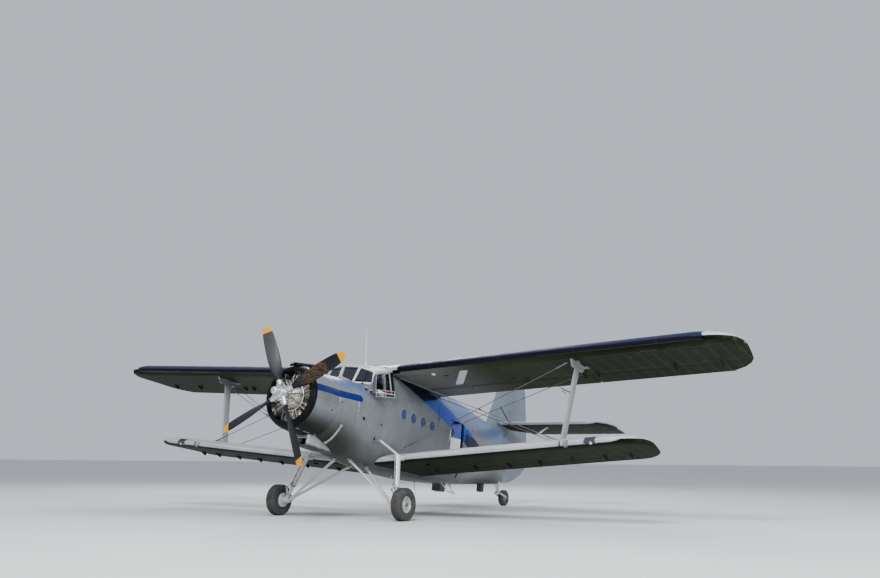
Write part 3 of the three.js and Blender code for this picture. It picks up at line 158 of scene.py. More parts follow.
def eased(table, y):
    """Row of a table at a station, on smooth curves through the rows that never overshoot them."""
    rows = list(table)
    if y <= rows[0][0]:
        return rows[0]
    if y >= rows[-1][0]:
        return rows[-1]
    k = max(i for i in range(len(rows) - 1) if rows[i][0] <= y)

    def slope(i, column):
        if i in (0, len(rows) - 1):
            return None
        left = (rows[i][column] - rows[i - 1][column]) / (rows[i][0] - rows[i - 1][0])
        right = (rows[i + 1][column] - rows[i][column]) / (rows[i + 1][0] - rows[i][0])
        if left * right <= 0:
            return 0.0
        return 2 * left * right / (left + right)

    low, high = rows[k], rows[k + 1]
    span = high[0] - low[0]
    t = (y - low[0]) / span
    result = [y]
    for column in range(1, len(low)):
        chord = (high[column] - low[column]) / span
        start = slope(k, column)
        end = slope(k + 1, column)
        start = chord if start is None else start
        end = chord if end is None else end
        value = (
            (2 * t**3 - 3 * t**2 + 1) * low[column]
            + (t**3 - 2 * t**2 + t) * span * start
            + (3 * t**2 - 2 * t**3) * high[column]
            + (t**3 - t**2) * span * end
        )
        result.append(value)
    return tuple(result)


# Shader writing


class Value:
    """One output of a shader node. Python's operators on it add Math nodes."""

    def __init__(self, finish, socket):
        self.finish = finish
        self.socket = socket

    def math(self, operation, *inputs):
        return self.finish.node("ShaderNodeMath", {"operation": operation}, inputs)

    def __add__(self, other):
        return self.math("ADD", self, other)

    def __radd__(self, other):
        return self.math("ADD", other, self)

    def __sub__(self, other):
        return self.math("SUBTRACT", self, other)

    def __rsub__(self, other):
        return self.math("SUBTRACT", other, self)

    def __mul__(self, other):
        return self.math("MULTIPLY", self, other)

    def __rmul__(self, other):
        return self.math("MULTIPLY", other, self)

    def __truediv__(self, other):
        return self.math("DIVIDE", self, other)

    def __rtruediv__(self, other):
        return self.math("DIVIDE", other, self)

    def __pow__(self, other):
        return self.math("POWER", self, other)

    def __abs__(self):
        return self.math("ABSOLUTE", self)

    def __and__(self, other):
        return self.math("MINIMUM", self, other)

    def __or__(self, other):
        return self.math("MAXIMUM", self, other)

    def to_line(self, step):
        """Distance to the nearest multiple of a step."""
        return self.math("PINGPONG", self, step / 2)

    def rise(self, start, end):
        """0 up to the start, 1 from the end, smooth between them; the end may come first."""
        low, high, first, last = (start, end, 0.0, 1.0) if start < end else (end, start, 1.0, 0.0)
        return self.finish.node(
            "ShaderNodeMapRange",
            {"interpolation_type": "SMOOTHSTEP"},
            [self, low, high, first, last],
        )


class Finish:
    """A material with its Principled shader. Constants go straight on the shader's sockets."""

    def __init__(self, name, **constants):
        self.material = bpy.data.materials.new(name)
        self.material.use_nodes = True
        self.tree = self.material.node_tree
        self.shader = next(n for n in self.tree.nodes if n.type == "BSDF_PRINCIPLED")
        for socket, value in constants.items():
            self.shader.inputs[socket.replace("_", " ")].default_value = value
        self.normal = None

    def node(self, kind, settings=None, values=(), output=0):
        made = self.tree.nodes.new(kind)
        for key, value in (settings or {}).items():
            if key == "stops":
                for _ in value[2:]:
                    made.color_ramp.elements.new(0.5)
                for element, (position, colour) in zip(made.color_ramp.elements, value):
                    element.position = position
                    element.color = colour
            else:
                setattr(made, key, value)
        pairs = values.items() if isinstance(values, dict) else enumerate(values)
        for key, value in pairs:
            if isinstance(value, Value):
                self.tree.links.new(value.socket, made.inputs[key])
            else:
                opaque = (1.0,) if made.inputs[key].type == "RGBA" else ()
                made.inputs[key].default_value = (*value, *opaque) if opaque else value
        return Value(self, made.outputs[output])

    def axes(self, vector):
        split = self.node("ShaderNodeSeparateXYZ", None, [vector]).socket.node
        return [Value(self, split.outputs[i]) for i in range(3)]

    def rest_place(self):
        """Place on the model at rest, because every mesh lies in the model's frame."""
        return self.node("ShaderNodeTexCoord", None, (), "Object")

    def airframe_place(self, shift=(0.0, 0.0, 0.0)):
        """Place in the airframe frame, less a shift."""
        origin = Matrix.Rotation(PITCH, 3, "X") @ HUB + Vector(shift)
        return self.node(
            "ShaderNodeMapping",
            {"vector_type": "POINT"},
            {"Vector": self.rest_place(), "Location": -origin, "Rotation": (PITCH, 0.0, 0.0)},
        )

    def stretched(self, vector, scale):
        return self.node("ShaderNodeVectorMath", {"operation": "MULTIPLY"}, [vector, scale])

    def noise(self, vector, scale, detail=4.0, roughness=0.5):
        return self.node(
            "ShaderNodeTexNoise",
            None,
            {"Vector": vector, "Scale": scale, "Detail": detail, "Roughness": roughness},
        )

    def mix(self, factor, first, second):
        return self.node(
            "ShaderNodeMix",
            {"data_type": "RGBA"},
            {0: factor, 6: first, 7: second},
            2,
        )

    def feed(self, **links):
        for socket, value in links.items():
            self.tree.links.new(value.socket, self.shader.inputs[socket.replace("_", " ")])

    def bump(self, height, distance, strength=1.0):
        """Adds a relief of that height in metres over the reliefs given before."""
        values = {"Height": height, "Distance": distance, "Strength": strength}
        if self.normal is not None:
            values["Normal"] = self.normal
        self.normal = self.node("ShaderNodeBump", None, values)
        self.feed(Normal=self.normal)


def grey(value, warmth=0.0):
    return (value * (1 + warmth), value, value * (1 - warmth))


# Finishes

SILVER = (0.190, 0.204, 0.216)
SILVER_DEEP = (0.122, 0.134, 0.143)
# Bluer tones for the tops of the nose and of the hull aft: painted sky reflection
NOSE_TOP_SKY_REFLECTION = (0.062, 0.112, 0.250)
REAR_TOP_SKY_REFLECTION = (0.115, 0.180, 0.350)
# Dark colours for the lower cowl and the lower hull: painted shade
COWL_BELLY_PAINTED_SHADE = (0.006, 0.008, 0.005)
BELLY_PAINTED_SHADE = (0.026, 0.030, 0.023)
STRIPE_BLUE = (0.003, 0.013, 0.120)
STRIPE_BRIGHT = (0.030, 0.085, 0.400)
NAVY = (0.010, 0.012, 0.040)
GRIME = (0.060, 0.056, 0.048)


def seam_lines(first, second, first_step, second_step, width):
    """Mask of panel seams along two directions."""
    across = first.to_line(first_step).rise(width, 0.0)
    down = second.to_line(second_step).rise(width, 0.0)
    return across | down


def rivet_heads(first, second, line_step, pitch, offset, radius):
    """Mask of rivets in rows on both sides of each seam of the first direction."""
    to_row = abs(first.to_line(line_step) - offset)
    to_head = second.to_line(pitch)
    distance = (to_row * to_row + to_head * to_head) ** 0.5
    return distance.rise(radius, radius * 0.3)


def weathering(finish, place, base, deep):
    """Base colour broken by broad blotches, streaks that run down, and fine speckle."""
    blotch = finish.noise(place, 1.3, 5.0, 0.6).rise(0.35, 0.7)
    streak = finish.noise(finish.stretched(place, (7.0, 7.0, 0.7)), 2.0, 4.0, 0.6).rise(0.5, 0.78)
    speckle = finish.noise(place, 60.0, 3.0, 0.7).rise(0.45, 0.75)
    toned = finish.mix(blotch * 0.55, base, deep)
    toned = finish.mix(streak * 0.22, toned, GRIME)
    return finish.mix(speckle * 0.10, toned, deep)


def belly_shade(y, z):
    """Painted shade on the lower hull: how far the hull has turned to the dark belly; the tail cone keeps
    more of its silver.
    """
    level = z + y.rise(1.2, 2.8) * 0.50 - y.rise(6.4, 9.4) * 0.90 - y.rise(2.2, 1.6) * 0.10
    return level.rise(-0.10, -0.82) * (0.95 - y.rise(6.6, 9.0) * 0.17)


def stripe_mask(y, z, start, end, half, run_points):
    """A band with straight sides and a round rear end, in side view."""
    (y0, z0), (y1, z1) = run_points
    run = math.hypot(y1 - y0, z1 - z0)
    ahead = ((y - y0) * ((y1 - y0) / run)) + ((z - z0) * ((z1 - z0) / run))
    aside = ((z - z0) * ((y1 - y0) / run)) - ((y - y0) * ((z1 - z0) / run))
    past = (ahead - end) | 0.0
    distance = (past * past + aside * aside) ** 0.5
    inside = distance.rise(half + 0.003, half - 0.003)
    return inside & y.rise(start - 0.003, start + 0.003)


def fuselage_paint():
    """Silver-grey lacquer over riveted sheet, with the blue side bands."""
    finish = Finish("silver_lacquer", Metallic=0.2, Coat_Roughness=0.18, Specular_IOR_Level=0.10)
    place = finish.airframe_place()
    x, y, z = finish.axes(place)
    colour = weathering(finish, place, SILVER, SILVER_DEEP)
    # Bluer top of the nose and of the hull behind the wing: painted sky reflection
    nose_top_sky_reflection = z.rise(0.30, 0.62) * y.rise(2.9, 2.2)
    colour = finish.mix(nose_top_sky_reflection * 0.9, colour, NOSE_TOP_SKY_REFLECTION)
    rear_top_sky_reflection = z.rise(0.50, 0.95) * y.rise(3.6, 5.0)
    colour = finish.mix(rear_top_sky_reflection * 0.85, colour, REAR_TOP_SKY_REFLECTION)
    # Darker towards the belly: painted shade
    colour = finish.mix(belly_shade(y, z), colour, BELLY_PAINTED_SHADE)
    nose_run = ((0.30, 0.217), (1.80, 0.290))
    nose_band = stripe_mask(y, z, 0.30, 1.47, 0.080, nose_run)
    rear_run = ((4.45, 1.020), (7.30, 0.208))
    rear_band = stripe_mask(y, z, 3.00, 3.20, 0.216, rear_run)
    scuffs = finish.noise(place, 9.0, 6.0, 0.7).rise(0.52, 0.72)
    # Towards the front the rear band turns from STRIPE_BRIGHT to the darker STRIPE_BLUE: painted shade
    # under the upper wing
    band_colour = finish.mix(y.rise(3.0, 4.4), STRIPE_BLUE, STRIPE_BRIGHT)
    band_colour = finish.mix(scuffs * 0.25, band_colour, (0.05, 0.09, 0.28))
    # Near black where the upper wing's shadow falls on the band and at the band's low rear end: painted
    # shadow
    band_painted_shadow = y.rise(2.9, 3.0) * (y - z * 3.19).rise(1.70, 1.62) | y.rise(6.45, 6.60) * z.rise(0.50, 0.42)
    band_colour = finish.mix(band_painted_shadow * 0.95, band_colour, (0.004, 0.006, 0.014))
    bands = (nose_band | rear_band) * (abs(x).rise(0.12, 0.16))
    colour = finish.mix(bands, colour, band_colour)
    seams = seam_lines(y, z + 0.19, 0.62, 0.56, 0.0035)
    rivets = rivet_heads(y, z, 0.62, 0.042, 0.016, 0.0055)
    rows = rivet_heads(z + 0.19, y, 0.56, 0.042, 0.016, 0.0055)
    colour = finish.mix(seams * 0.55, colour, GRIME)
    colour = finish.mix((rivets | rows) * 0.08, colour, grey(0.3))
    smears = z.rise(-0.35, -0.95) * finish.noise(place, 2.5, 5.0, 0.6).rise(0.3, 0.75)
    oil = smears * y.rise(6.5, 1.2)
    colour = finish.mix(oil * 0.45, colour, GRIME)
    patches = finish.noise(place, 3.0, 6.0, 0.6)
    finish.feed(
        Base_Color=colour,
        Roughness=patches * 0.22 + 0.26 + belly_shade(y, z) * 0.30,
        Coat_Weight=(0.42 - seams * 0.3) * (1.0 - belly_shade(y, z)) * (1.0 - (bands | nose_top_sky_reflection) * 0.7),
    )
    finish.bump(seams * -0.6 + (rivets | rows) * 0.6, 0.0005)
    finish.bump(finish.noise(place, 2.2, 2.0, 0.4), 0.012, 0.35)
    return finish.material


def wing_frame(wing):
    """Frame of a wing's port half: X along the span, Y aft along the chord, Z up."""
    return (
        AIRFRAME
        @ Matrix.Translation((0.0, wing["y"], wing["z"]))
        @ Matrix.Rotation(-wing["dihedral"], 4, "Y")
        @ Matrix.Rotation(-wing["incidence"], 4, "X")
    )


def section_place(finish, wing):
    """Span, chord and height coordinates of a wing, alike on both halves."""
    turn = Matrix.Rotation(-wing["dihedral"], 3, "Y") @ Matrix.Rotation(-wing["incidence"], 3, "X")
    x, y, z = finish.axes(finish.airframe_place((0.0, wing["y"], wing["z"])))
    place = finish.node("ShaderNodeCombineXYZ", None, [abs(x), y, z])
    return [
        finish.node("ShaderNodeVectorMath", {"operation": "DOT_PRODUCT"}, [place, column], 1)
        for column in turn.col
    ]


def wing_paint(name, wing, nose_end, slat_bed=0.0, root_painted_light=0.0):
    """Silver above; below, painted shade in dark green-grey with a painted ground reflection, lighter
    towards the root where asked as painted light; navy on the slat's bed, with rib tapes and spar lines.
    """
    finish = Finish(name, Metallic=0.0, Coat_Roughness=0.12, Specular_IOR_Level=0.07)
    u, s, n = section_place(finish, wing)
    place = finish.rest_place()
    share = s / wing["chord"]
    middle = share * (1.0 - share) * (4 * wing["camber"] * wing["chord"])
    below = (n - middle).rise(0.002, -0.004) * share.rise(nose_end, nose_end + 0.012)
    above_colour = weathering(finish, place, (0.46, 0.485, 0.505), (0.30, 0.32, 0.335))
    bed = share.rise(slat_bed, slat_bed - 0.008)
    bed = bed * u.rise(SLAT_ROOT - 0.01, SLAT_ROOT) * u.rise(SLAT_TIP + 0.01, SLAT_TIP)
    above_colour = finish.mix(bed, above_colour, NAVY)
    dull = below | bed
    mottled = finish.noise(finish.stretched(place, (0.6, 2.4, 1.0)), 3.0, 5.0, 0.6)
    # Underside colour: painted shade with a painted green ground reflection, mottled
    below_colour = finish.mix(mottled.rise(0.3, 0.7), UNDERSIDE_PAINTED_SHADE, UNDERSIDE_PAINTED_SHADE_WORN)
    # Lighter underneath towards the root: painted light
    below_colour = finish.mix(u.rise(6.6, 3.6) * root_painted_light, below_colour, (0.034, 0.042, 0.020))
    below_colour = finish.mix(u.rise(3.4, 1.4) * root_painted_light, below_colour, (0.180, 0.190, 0.180))
    # Near black under the leading edge: painted shade
    below_colour = finish.mix(share.rise(0.075, 0.055), below_colour, (0.003, 0.004, 0.004))
    colour = finish.mix(below, above_colour, below_colour)
    tape = u.to_line(RIB_PITCH).rise(0.026, 0.022)
    edge = u.to_line(RIB_PITCH).rise(0.029, 0.025) - tape
    fabric = share.rise(0.15, 0.16)
    stitches = s.to_line(0.060).rise(0.008, 0.004) * u.to_line(RIB_PITCH).rise(0.006, 0.003)
    spars = abs(share - 0.17).rise(0.006, 0.002) | abs(share - 0.66).rise(0.006, 0.002)
    colour = finish.mix(tape * fabric * (0.16 - below * 0.12), colour, grey(0.30))
    colour = finish.mix((edge * fabric * 0.5) | (spars * 0.5), colour, GRIME)
    hinge_band = abs(share - wing["hinge"] + 0.025).rise(0.030, 0.010) * below
    colour = finish.mix(hinge_band * 0.6, colour, (0.012, 0.013, 0.012))
    finish.feed(
        Base_Color=colour,
        Roughness=mottled * 0.16 + 0.22 + tape * 0.04 + dull * 0.35,
        Coat_Weight=0.35 - dull * 0.345,
    )
    finish.bump(tape * fabric + stitches * 0.7 - spars, 0.0009)
    finish.bump(finish.noise(place, 900.0, 1.0, 0.5), 0.0002, 0.25)
    return finish.material


def tail_paint():
    """Grey-blue doped fabric of the tail, with painted shade under the tailplane."""
    finish = Finish("tail_lacquer", Metallic=0.08, Coat_Roughness=0.15, Specular_IOR_Level=0.2)
    x, y, z = finish.axes(finish.airframe_place())
    place = finish.rest_place()
    colour = weathering(finish, place, (0.185, 0.225, 0.275), (0.125, 0.150, 0.185))
    flat = abs(x).rise(0.16, 0.20)
    under = flat * z.rise(TAILPLANE_HEIGHT - 0.002, TAILPLANE_HEIGHT - 0.008)
    nose = flat * y.rise(9.645, 9.615)
    colour = finish.mix(nose * z.rise(1.2, 1.3), colour, (0.42, 0.43, 0.44))
    under = under * (1.0 - nose)
    # Under the tailplane: painted shade
    colour = finish.mix(under * 0.97, colour, UNDERSIDE_PAINTED_SHADE)
    rib_line = x * flat + z * (1.0 - flat)
    tape = rib_line.to_line(RIB_PITCH).rise(0.022, 0.018)
    edge = rib_line.to_line(RIB_PITCH).rise(0.025, 0.021) - tape
    colour = finish.mix(edge * 0.35, colour, GRIME)
    patches = finish.noise(place, 3.0, 5.0, 0.6)
    finish.feed(
        Base_Color=colour,
        Roughness=patches * 0.2 + 0.24 + under * 0.4,
        Coat_Weight=0.25 - under * 0.25,
    )
    finish.bump(tape * 1.0, 0.0008)
    finish.bump(finish.noise(place, 900.0, 1.0, 0.5), 0.0002, 0.25)
    return finish.material


def slat_paint():
    """Navy leading-edge lacquer, chipped and dusty along the front."""
    finish = Finish("navy_slat_lacquer", Specular_IOR_Level=0.12)
    u, s, n = section_place(finish, UPPER)
    place = finish.rest_place()
    chips = finish.noise(place, 38.0, 6.0, 0.75).rise(0.64, 0.70) * s.rise(0.12, 0.0)
    haze = finish.noise(place, 2.0, 5.0, 0.6).rise(0.3, 0.8)
    colour = finish.mix(haze * 0.4, NAVY, (0.014, 0.018, 0.075))
    # Near black on the slat's lower face: painted shade
    colour = finish.mix(n.rise(0.030, -0.010), colour, (0.002, 0.002, 0.004))
    joints = u.to_line(1.865).rise(0.004, 0.001)
    colour = finish.mix(chips * 0.6, colour, grey(0.30))
    colour = finish.mix(joints, colour, GRIME)
    screws = rivet_heads(s, u, 0.31, 0.10, 0.014, 0.006)
    finish.feed(
        Base_Color=finish.mix(screws * 0.35, colour, grey(0.3)),
        Roughness=haze * 0.2 + 0.42 + chips * 0.2,
    )
    finish.bump(screws * 0.6 - joints - chips * 0.3, 0.0008)
    return finish.material


def panel_paint(name, base, deep, gloss, metal, step, coat=0.35, shine=0.5):
    """Lacquer on small sheet parts: blotches, streaks, seams at a step, chipped specks."""
    finish = Finish(name, Metallic=metal, Coat_Roughness=0.14, Specular_IOR_Level=shine)
    place = finish.airframe_place()
    y = finish.axes(place)[1]
    colour = weathering(finish, place, base, deep)
    chips = finish.noise(place, 45.0, 6.0, 0.75).rise(0.66, 0.71)
    colour = finish.mix(chips * 0.6, colour, grey(0.36))
    seams = y.to_line(step).rise(0.003, 0.001)
    colour = finish.mix(seams * 0.6, colour, GRIME)
    patches = finish.noise(place, 4.0, 5.0, 0.6)
    finish.feed(Base_Color=colour, Roughness=patches * 0.2 + gloss, Coat_Weight=coat - chips * coat)
    finish.bump(seams * -1.0 - chips * 0.25, 0.0008)
    return finish.material


def cooler_paint():
    """Bright sheet of the cooler's duct, with painted shade underneath."""
    finish = Finish("cooler_sheet", Metallic=0.4, Specular_IOR_Level=0.4)
    place = finish.airframe_place()
    _, y, z = finish.axes(place)
    colour = weathering(finish, place, (0.50, 0.52, 0.53), (0.34, 0.355, 0.365))
    # Darker underneath, with a ragged edge: painted shade
    cooler_underside_shade = (z + finish.noise(place, 7.0, 4.0, 0.6) * 0.06).rise(-0.875, -0.945)
    colour = finish.mix(cooler_underside_shade * 0.94, colour, BELLY_PAINTED_SHADE)
    seams = y.to_line(0.29).rise(0.003, 0.001)
    screws = rivet_heads(y, z, 0.29, 0.035, 0.012, 0.005)
    colour = finish.mix(seams * 0.6, colour, GRIME)
    finish.feed(Base_Color=finish.mix(screws * 0.4, colour, GRIME), Roughness=cooler_underside_shade * 0.3 + 0.28)
    finish.bump(screws - seams, 0.001)
    return finish.material


def cowl_paint():
    """Silver cowl panels with turn fasteners, seams, the front of the side band and oil runs."""
    finish = Finish("cowl_lacquer", Metallic=0.2, Coat_Roughness=0.18, Specular_IOR_Level=0.10)
    place = finish.airframe_place()
    x, y, z = finish.axes(place)
    colour = weathering(finish, place, SILVER, SILVER_DEEP)
    # Bluer top: painted sky reflection. Darker underneath: painted shade.
    top = z.rise(0.30, 0.62)
    shade = (z + y * 0.05).rise(-0.12, -0.60) * 0.96
    colour = finish.mix(top * 0.8, colour, NOSE_TOP_SKY_REFLECTION)
    colour = finish.mix(shade, colour, COWL_BELLY_PAINTED_SHADE)
    band = stripe_mask(y, z, 0.30, 2.4, 0.080, ((0.30, 0.217), (1.80, 0.290)))
    colour = finish.mix(band * abs(x).rise(0.12, 0.16), colour, STRIPE_BLUE)
    turn = finish.node("ShaderNodeMath", {"operation": "ARCTAN2"}, [z, x])
    seams = turn.to_line(math.radians(72)).rise(0.0045, 0.002) | abs(y - 0.72).rise(0.003, 0.001)
    pins = (
        (y.to_line(0.095) ** 2.0 + (abs(turn.to_line(math.radians(72)) - 0.035) * 0.74) ** 2.0) ** 0.5
    ).rise(0.008, 0.005)
    soot = finish.noise(finish.stretched(place, (5.0, 0.8, 5.0)), 2.0, 5.0, 0.6).rise(0.45, 0.75)
    soot = soot * z.rise(0.10, -0.60)
    colour = finish.mix(soot * 0.5, colour, GRIME)
    colour = finish.mix(seams * 0.75, colour, GRIME)
    colour = finish.mix(pins * 0.5, colour, grey(0.14))
    patches = finish.noise(place, 4.0, 5.0, 0.6)
    finish.feed(
        Base_Color=colour,
        Roughness=patches * 0.2 + 0.26 + shade * 0.30,
        Coat_Weight=(0.42 - seams * 0.3) * (1.0 - shade) * (1.0 - top * 0.7),
    )
    finish.bump(pins * 0.5 - seams * 0.6, 0.0010)
    return finish.material


def canopy_paint():
    """White window frames over a foot in the hull's silver."""
    finish = Finish("canopy_lacquer", Metallic=0.08, Specular_IOR_Level=0.2)
    place = finish.airframe_place()
    x, y, z = finish.axes(place)
    frames = weathering(finish, place, (0.45, 0.465, 0.48), (0.32, 0.33, 0.345))
    foot = weathering(finish, place, SILVER, SILVER_DEEP)
    over_sill = (z - (y - 2.088) * 0.18).rise(0.462, 0.468)
    side = abs(x).rise(0.785, 0.80)
    screen_edge = (0.868 - abs(x) * 0.356) | 0.712
    apron = (screen_edge - z).rise(0.0, 0.006) * y.rise(2.256, 2.250) * (1.0 - side)
    # The bulges' side frames grey rather than white, darkened further as painted shade
    colour = finish.mix(side, frames, (0.070, 0.073, 0.076))
    colour = finish.mix(side * (1.0 - over_sill), colour, foot)
    # Darker foot under the windscreen: painted shade
    colour = finish.mix(apron, colour, (0.085, 0.090, 0.092))
    rivets = rivet_heads(z - y * 0.18, y, 0.31, 0.034, 0.012, 0.005)
    finish.feed(
        Base_Color=finish.mix(rivets * 0.3, colour, GRIME),
        Roughness=finish.noise(place, 4.0, 5.0, 0.6) * 0.2 + 0.42,
    )
    finish.bump(rivets, 0.0008)
    return finish.material


def door_paint():
    """The hull's silver and blue band on the leaf, over a white lower panel."""
    finish = Finish("door_lacquer", Metallic=0.1, Coat_Roughness=0.14)
    place = finish.airframe_place()
    _, y, z = finish.axes(place)
    colour = weathering(finish, place, SILVER, SILVER_DEEP)
    band = stripe_mask(y, z, 3.00, 3.20, 0.216, ((4.45, 1.020), (7.30, 0.208)))
    colour = finish.mix(band, colour, STRIPE_BRIGHT)
    white = weathering(finish, place, (0.93, 0.94, 0.94), (0.82, 0.83, 0.83))
    lower = z.rise(0.283, 0.277) * z.rise(-0.453, -0.447)
    colour = finish.mix(lower, colour, white)
    seams = abs(z - 0.28).rise(0.006, 0.003)
    rivets = rivet_heads(z - 0.28, y, 0.42, 0.04, 0.018, 0.005)
    colour = finish.mix(seams * 0.7, colour, GRIME)
    finish.feed(
        Base_Color=finish.mix(rivets * 0.3, colour, GRIME),
        Roughness=finish.noise(place, 4.0, 5.0, 0.6) * 0.2 + 0.25,
        Coat_Weight=0.35 - seams * 0.3,
    )
    finish.bump(rivets - seams, 0.001)
    return finish.material


def blade_paint():
    """Dark blade lacquer with yellow tips, pale grit farther out and a bright metal root."""
    finish = Finish("blade_lacquer", Coat_Roughness=0.12, Specular_IOR_Level=0.22)
    place = finish.airframe_place()
    x, _, z = finish.axes(place)
    radius = (x * x + z * z) ** 0.5
    haze = finish.noise(place, 6.0, 5.0, 0.6).rise(0.3, 0.8)
    colour = finish.mix(haze * 0.5, (0.004, 0.004, 0.009), (0.011, 0.012, 0.020))
    # Lighter on the blade that stands up to starboard at rest: painted sky reflection
    upper_blade_sky_reflection = z.rise(0.35, 0.90) * x.rise(0.0, -0.15)
    colour = finish.mix(upper_blade_sky_reflection * 0.8, colour, (0.040, 0.040, 0.040))
    # Brownish patches along the blade that stands up to port at rest
    brownish_blade_patches = finish.noise(place, 24.0, 5.0, 0.7).rise(0.48, 0.56) * radius.rise(0.45, 0.75)
    brownish_blade_patches = brownish_blade_patches * radius.rise(1.32, 1.20) * x.rise(0.15, 0.30) * z.rise(0.0, 0.10)
    colour = finish.mix(brownish_blade_patches * 0.55, colour, (0.15, 0.080, 0.006))
    tip = radius.rise(1.625, 1.630)
    tip_wear = finish.noise(place, 26.0, 5.0, 0.7).rise(0.60, 0.68)
    colour = finish.mix(tip, colour, finish.mix(tip_wear * 0.4, (0.56, 0.28, 0.0), (0.40, 0.19, 0.004)))
    grit = finish.noise(place, 60.0, 6.0, 0.75).rise(0.63, 0.70) * radius.rise(0.8, 1.7)
    root = radius.rise(0.325, 0.315)
    colour = finish.mix(grit * 0.35, colour, grey(0.35))
    colour = finish.mix(root, colour, grey(0.62))
    finish.feed(
        Base_Color=colour,
        Roughness=haze * 0.18 + 0.38 + grit * 0.2,
        Metallic=root * 0.9,
        Coat_Weight=0.06 - root * 0.06,
    )
    finish.bump(finish.noise(place, 30.0, 4.0, 0.6), 0.0004, 0.4)
    return finish.material


def metal(name, base, deep, gloss, scale=14.0, dirt=0.25):
    """Bare metal with cloudy tarnish, fine scratches and dirt in patches."""
    finish = Finish(name, Metallic=0.9)
    place = finish.rest_place()
    cloud = finish.noise(place, scale, 6.0, 0.65).rise(0.3, 0.75)
    scratch = finish.noise(finish.stretched(place, (1.0, 18.0, 1.0)), 22.0, 3.0, 0.6).rise(0.55, 0.7)
    soil = finish.noise(place, scale * 0.4, 5.0, 0.6).rise(0.52, 0.75)
    colour = finish.mix(cloud * 0.7, base, deep)
    colour = finish.mix(soil * dirt, colour, GRIME)
    finish.feed(Base_Color=colour, Roughness=cloud * 0.2 + gloss + scratch * 0.08 + soil * 0.1)
    finish.bump(scratch * 0.5 + cloud * 0.5, 0.0003, 0.5)
    return finish.material


def rubber():
    """Dusty tyre rubber, paler in dusty patches."""
    finish = Finish("tyre_rubber", Metallic=0.0)
    place = finish.rest_place()
    fine = finish.noise(place, 160.0, 4.0, 0.7)
    dust = finish.noise(place, 9.0, 6.0, 0.65).rise(0.4, 0.75)
    colour = finish.mix(dust * 0.6, (0.028, 0.028, 0.029), (0.105, 0.098, 0.086))
    colour = finish.mix(fine.rise(0.5, 0.8) * 0.25, colour, grey(0.09))
    finish.feed(Base_Color=colour, Roughness=0.72 + dust * 0.2)
    finish.bump(fine, 0.0008, 0.5)
    return finish.material


def glazing(name, tint, clearness):
    """Tinted pane with faint haze and specks; part of the light goes through."""
    finish = Finish(name, Metallic=0.0, Specular_IOR_Level=0.7)
    place = finish.rest_place()
    haze = finish.noise(place, 3.0, 5.0, 0.6).rise(0.35, 0.8)
    specks = finish.noise(place, 120.0, 3.0, 0.6).rise(0.68, 0.74)
    colour = finish.mix(haze * 0.3, tint, tuple(min(1.0, 1.6 * c + 0.01) for c in tint))
    finish.feed(
        Base_Color=finish.mix(specks * 0.3, colour, grey(0.3)),
        Roughness=haze * 0.06 + 0.03 + specks * 0.3,
        Alpha=clearness + haze * 0.08 + specks * 0.2,
    )
    finish.bump(finish.noise(place, 5.0, 2.0, 0.4), 0.001, 0.15)
    return finish.material


def lamp_glass(name, tint, glow):
    """Coloured lamp cover with fine vertical ribs."""
    finish = Finish(name, Metallic=0.0, Emission_Strength=glow)
    place = finish.airframe_place()
    ribs = finish.axes(place)[1].to_line(0.008).rise(0.0, 0.004)
    cloud = finish.noise(place, 30.0, 3.0, 0.5)
    colour = finish.mix(cloud * 0.4, tint, tuple(0.5 * c for c in tint))
    finish.feed(Base_Color=colour, Emission_Color=colour, Roughness=cloud * 0.1 + 0.06)
    finish.bump(ribs, 0.001, 0.6)
    return finish.material


def cloth(name, base, deep, weave):
    """Woven or grained covering with worn high spots."""
    finish = Finish(name, Metallic=0.0, Sheen_Weight=0.2)
    place = finish.rest_place()
    worn = finish.noise(place, 5.0, 6.0, 0.65).rise(0.4, 0.8)
    threads = finish.noise(finish.stretched(place, (1.0, 3.0, 1.0)), weave, 3.0, 0.6)
    colour = finish.mix(worn * 0.6, base, deep)
    finish.feed(
        Base_Color=finish.mix(threads.rise(0.4, 0.7) * 0.3, colour, deep),
        Roughness=worn * 0.2 + 0.62,
    )
    finish.bump(threads, 0.0012, 0.5)
    return finish.material


# Dark green-grey for undersides: painted shade with a painted green ground reflection; the second is its
# mottled, worn tone
UNDERSIDE_PAINTED_SHADE = (0.0040, 0.0080, 0.0010)
UNDERSIDE_PAINTED_SHADE_WORN = (0.012, 0.018, 0.005)

FUSELAGE = fuselage_paint()
COWL = cowl_paint()
UPPER_PAINT = wing_paint("upper_wing_lacquer", UPPER, 0.0, 0.205, 0.9)
LOWER_PAINT = wing_paint("lower_wing_lacquer", LOWER, 0.012)
TAIL_PAINT = tail_paint()
SLAT_PAINT = slat_paint()
BLACK = panel_paint(
    "black_lacquer", (0.002, 0.0025, 0.004), (0.006, 0.0065, 0.008), 0.52, 0.0, 0.9,
    coat=0.0, shine=0.10,
)
PALE = panel_paint("pale_strut_lacquer", (0.56, 0.575, 0.58), (0.42, 0.43, 0.44), 0.28, 0.1, 1.1)
STRUT_GREY = panel_paint("wing_strut_lacquer", (0.34, 0.355, 0.36), (0.22, 0.235, 0.24), 0.30, 0.1, 1.1)
WHITE = panel_paint("white_frame_lacquer", (0.56, 0.575, 0.585), (0.40, 0.41, 0.42), 0.26, 0.05, 1.3)
WHITE_CASE = panel_paint("case_enamel", (0.82, 0.83, 0.82), (0.66, 0.67, 0.66), 0.3, 0.0, 3.0)
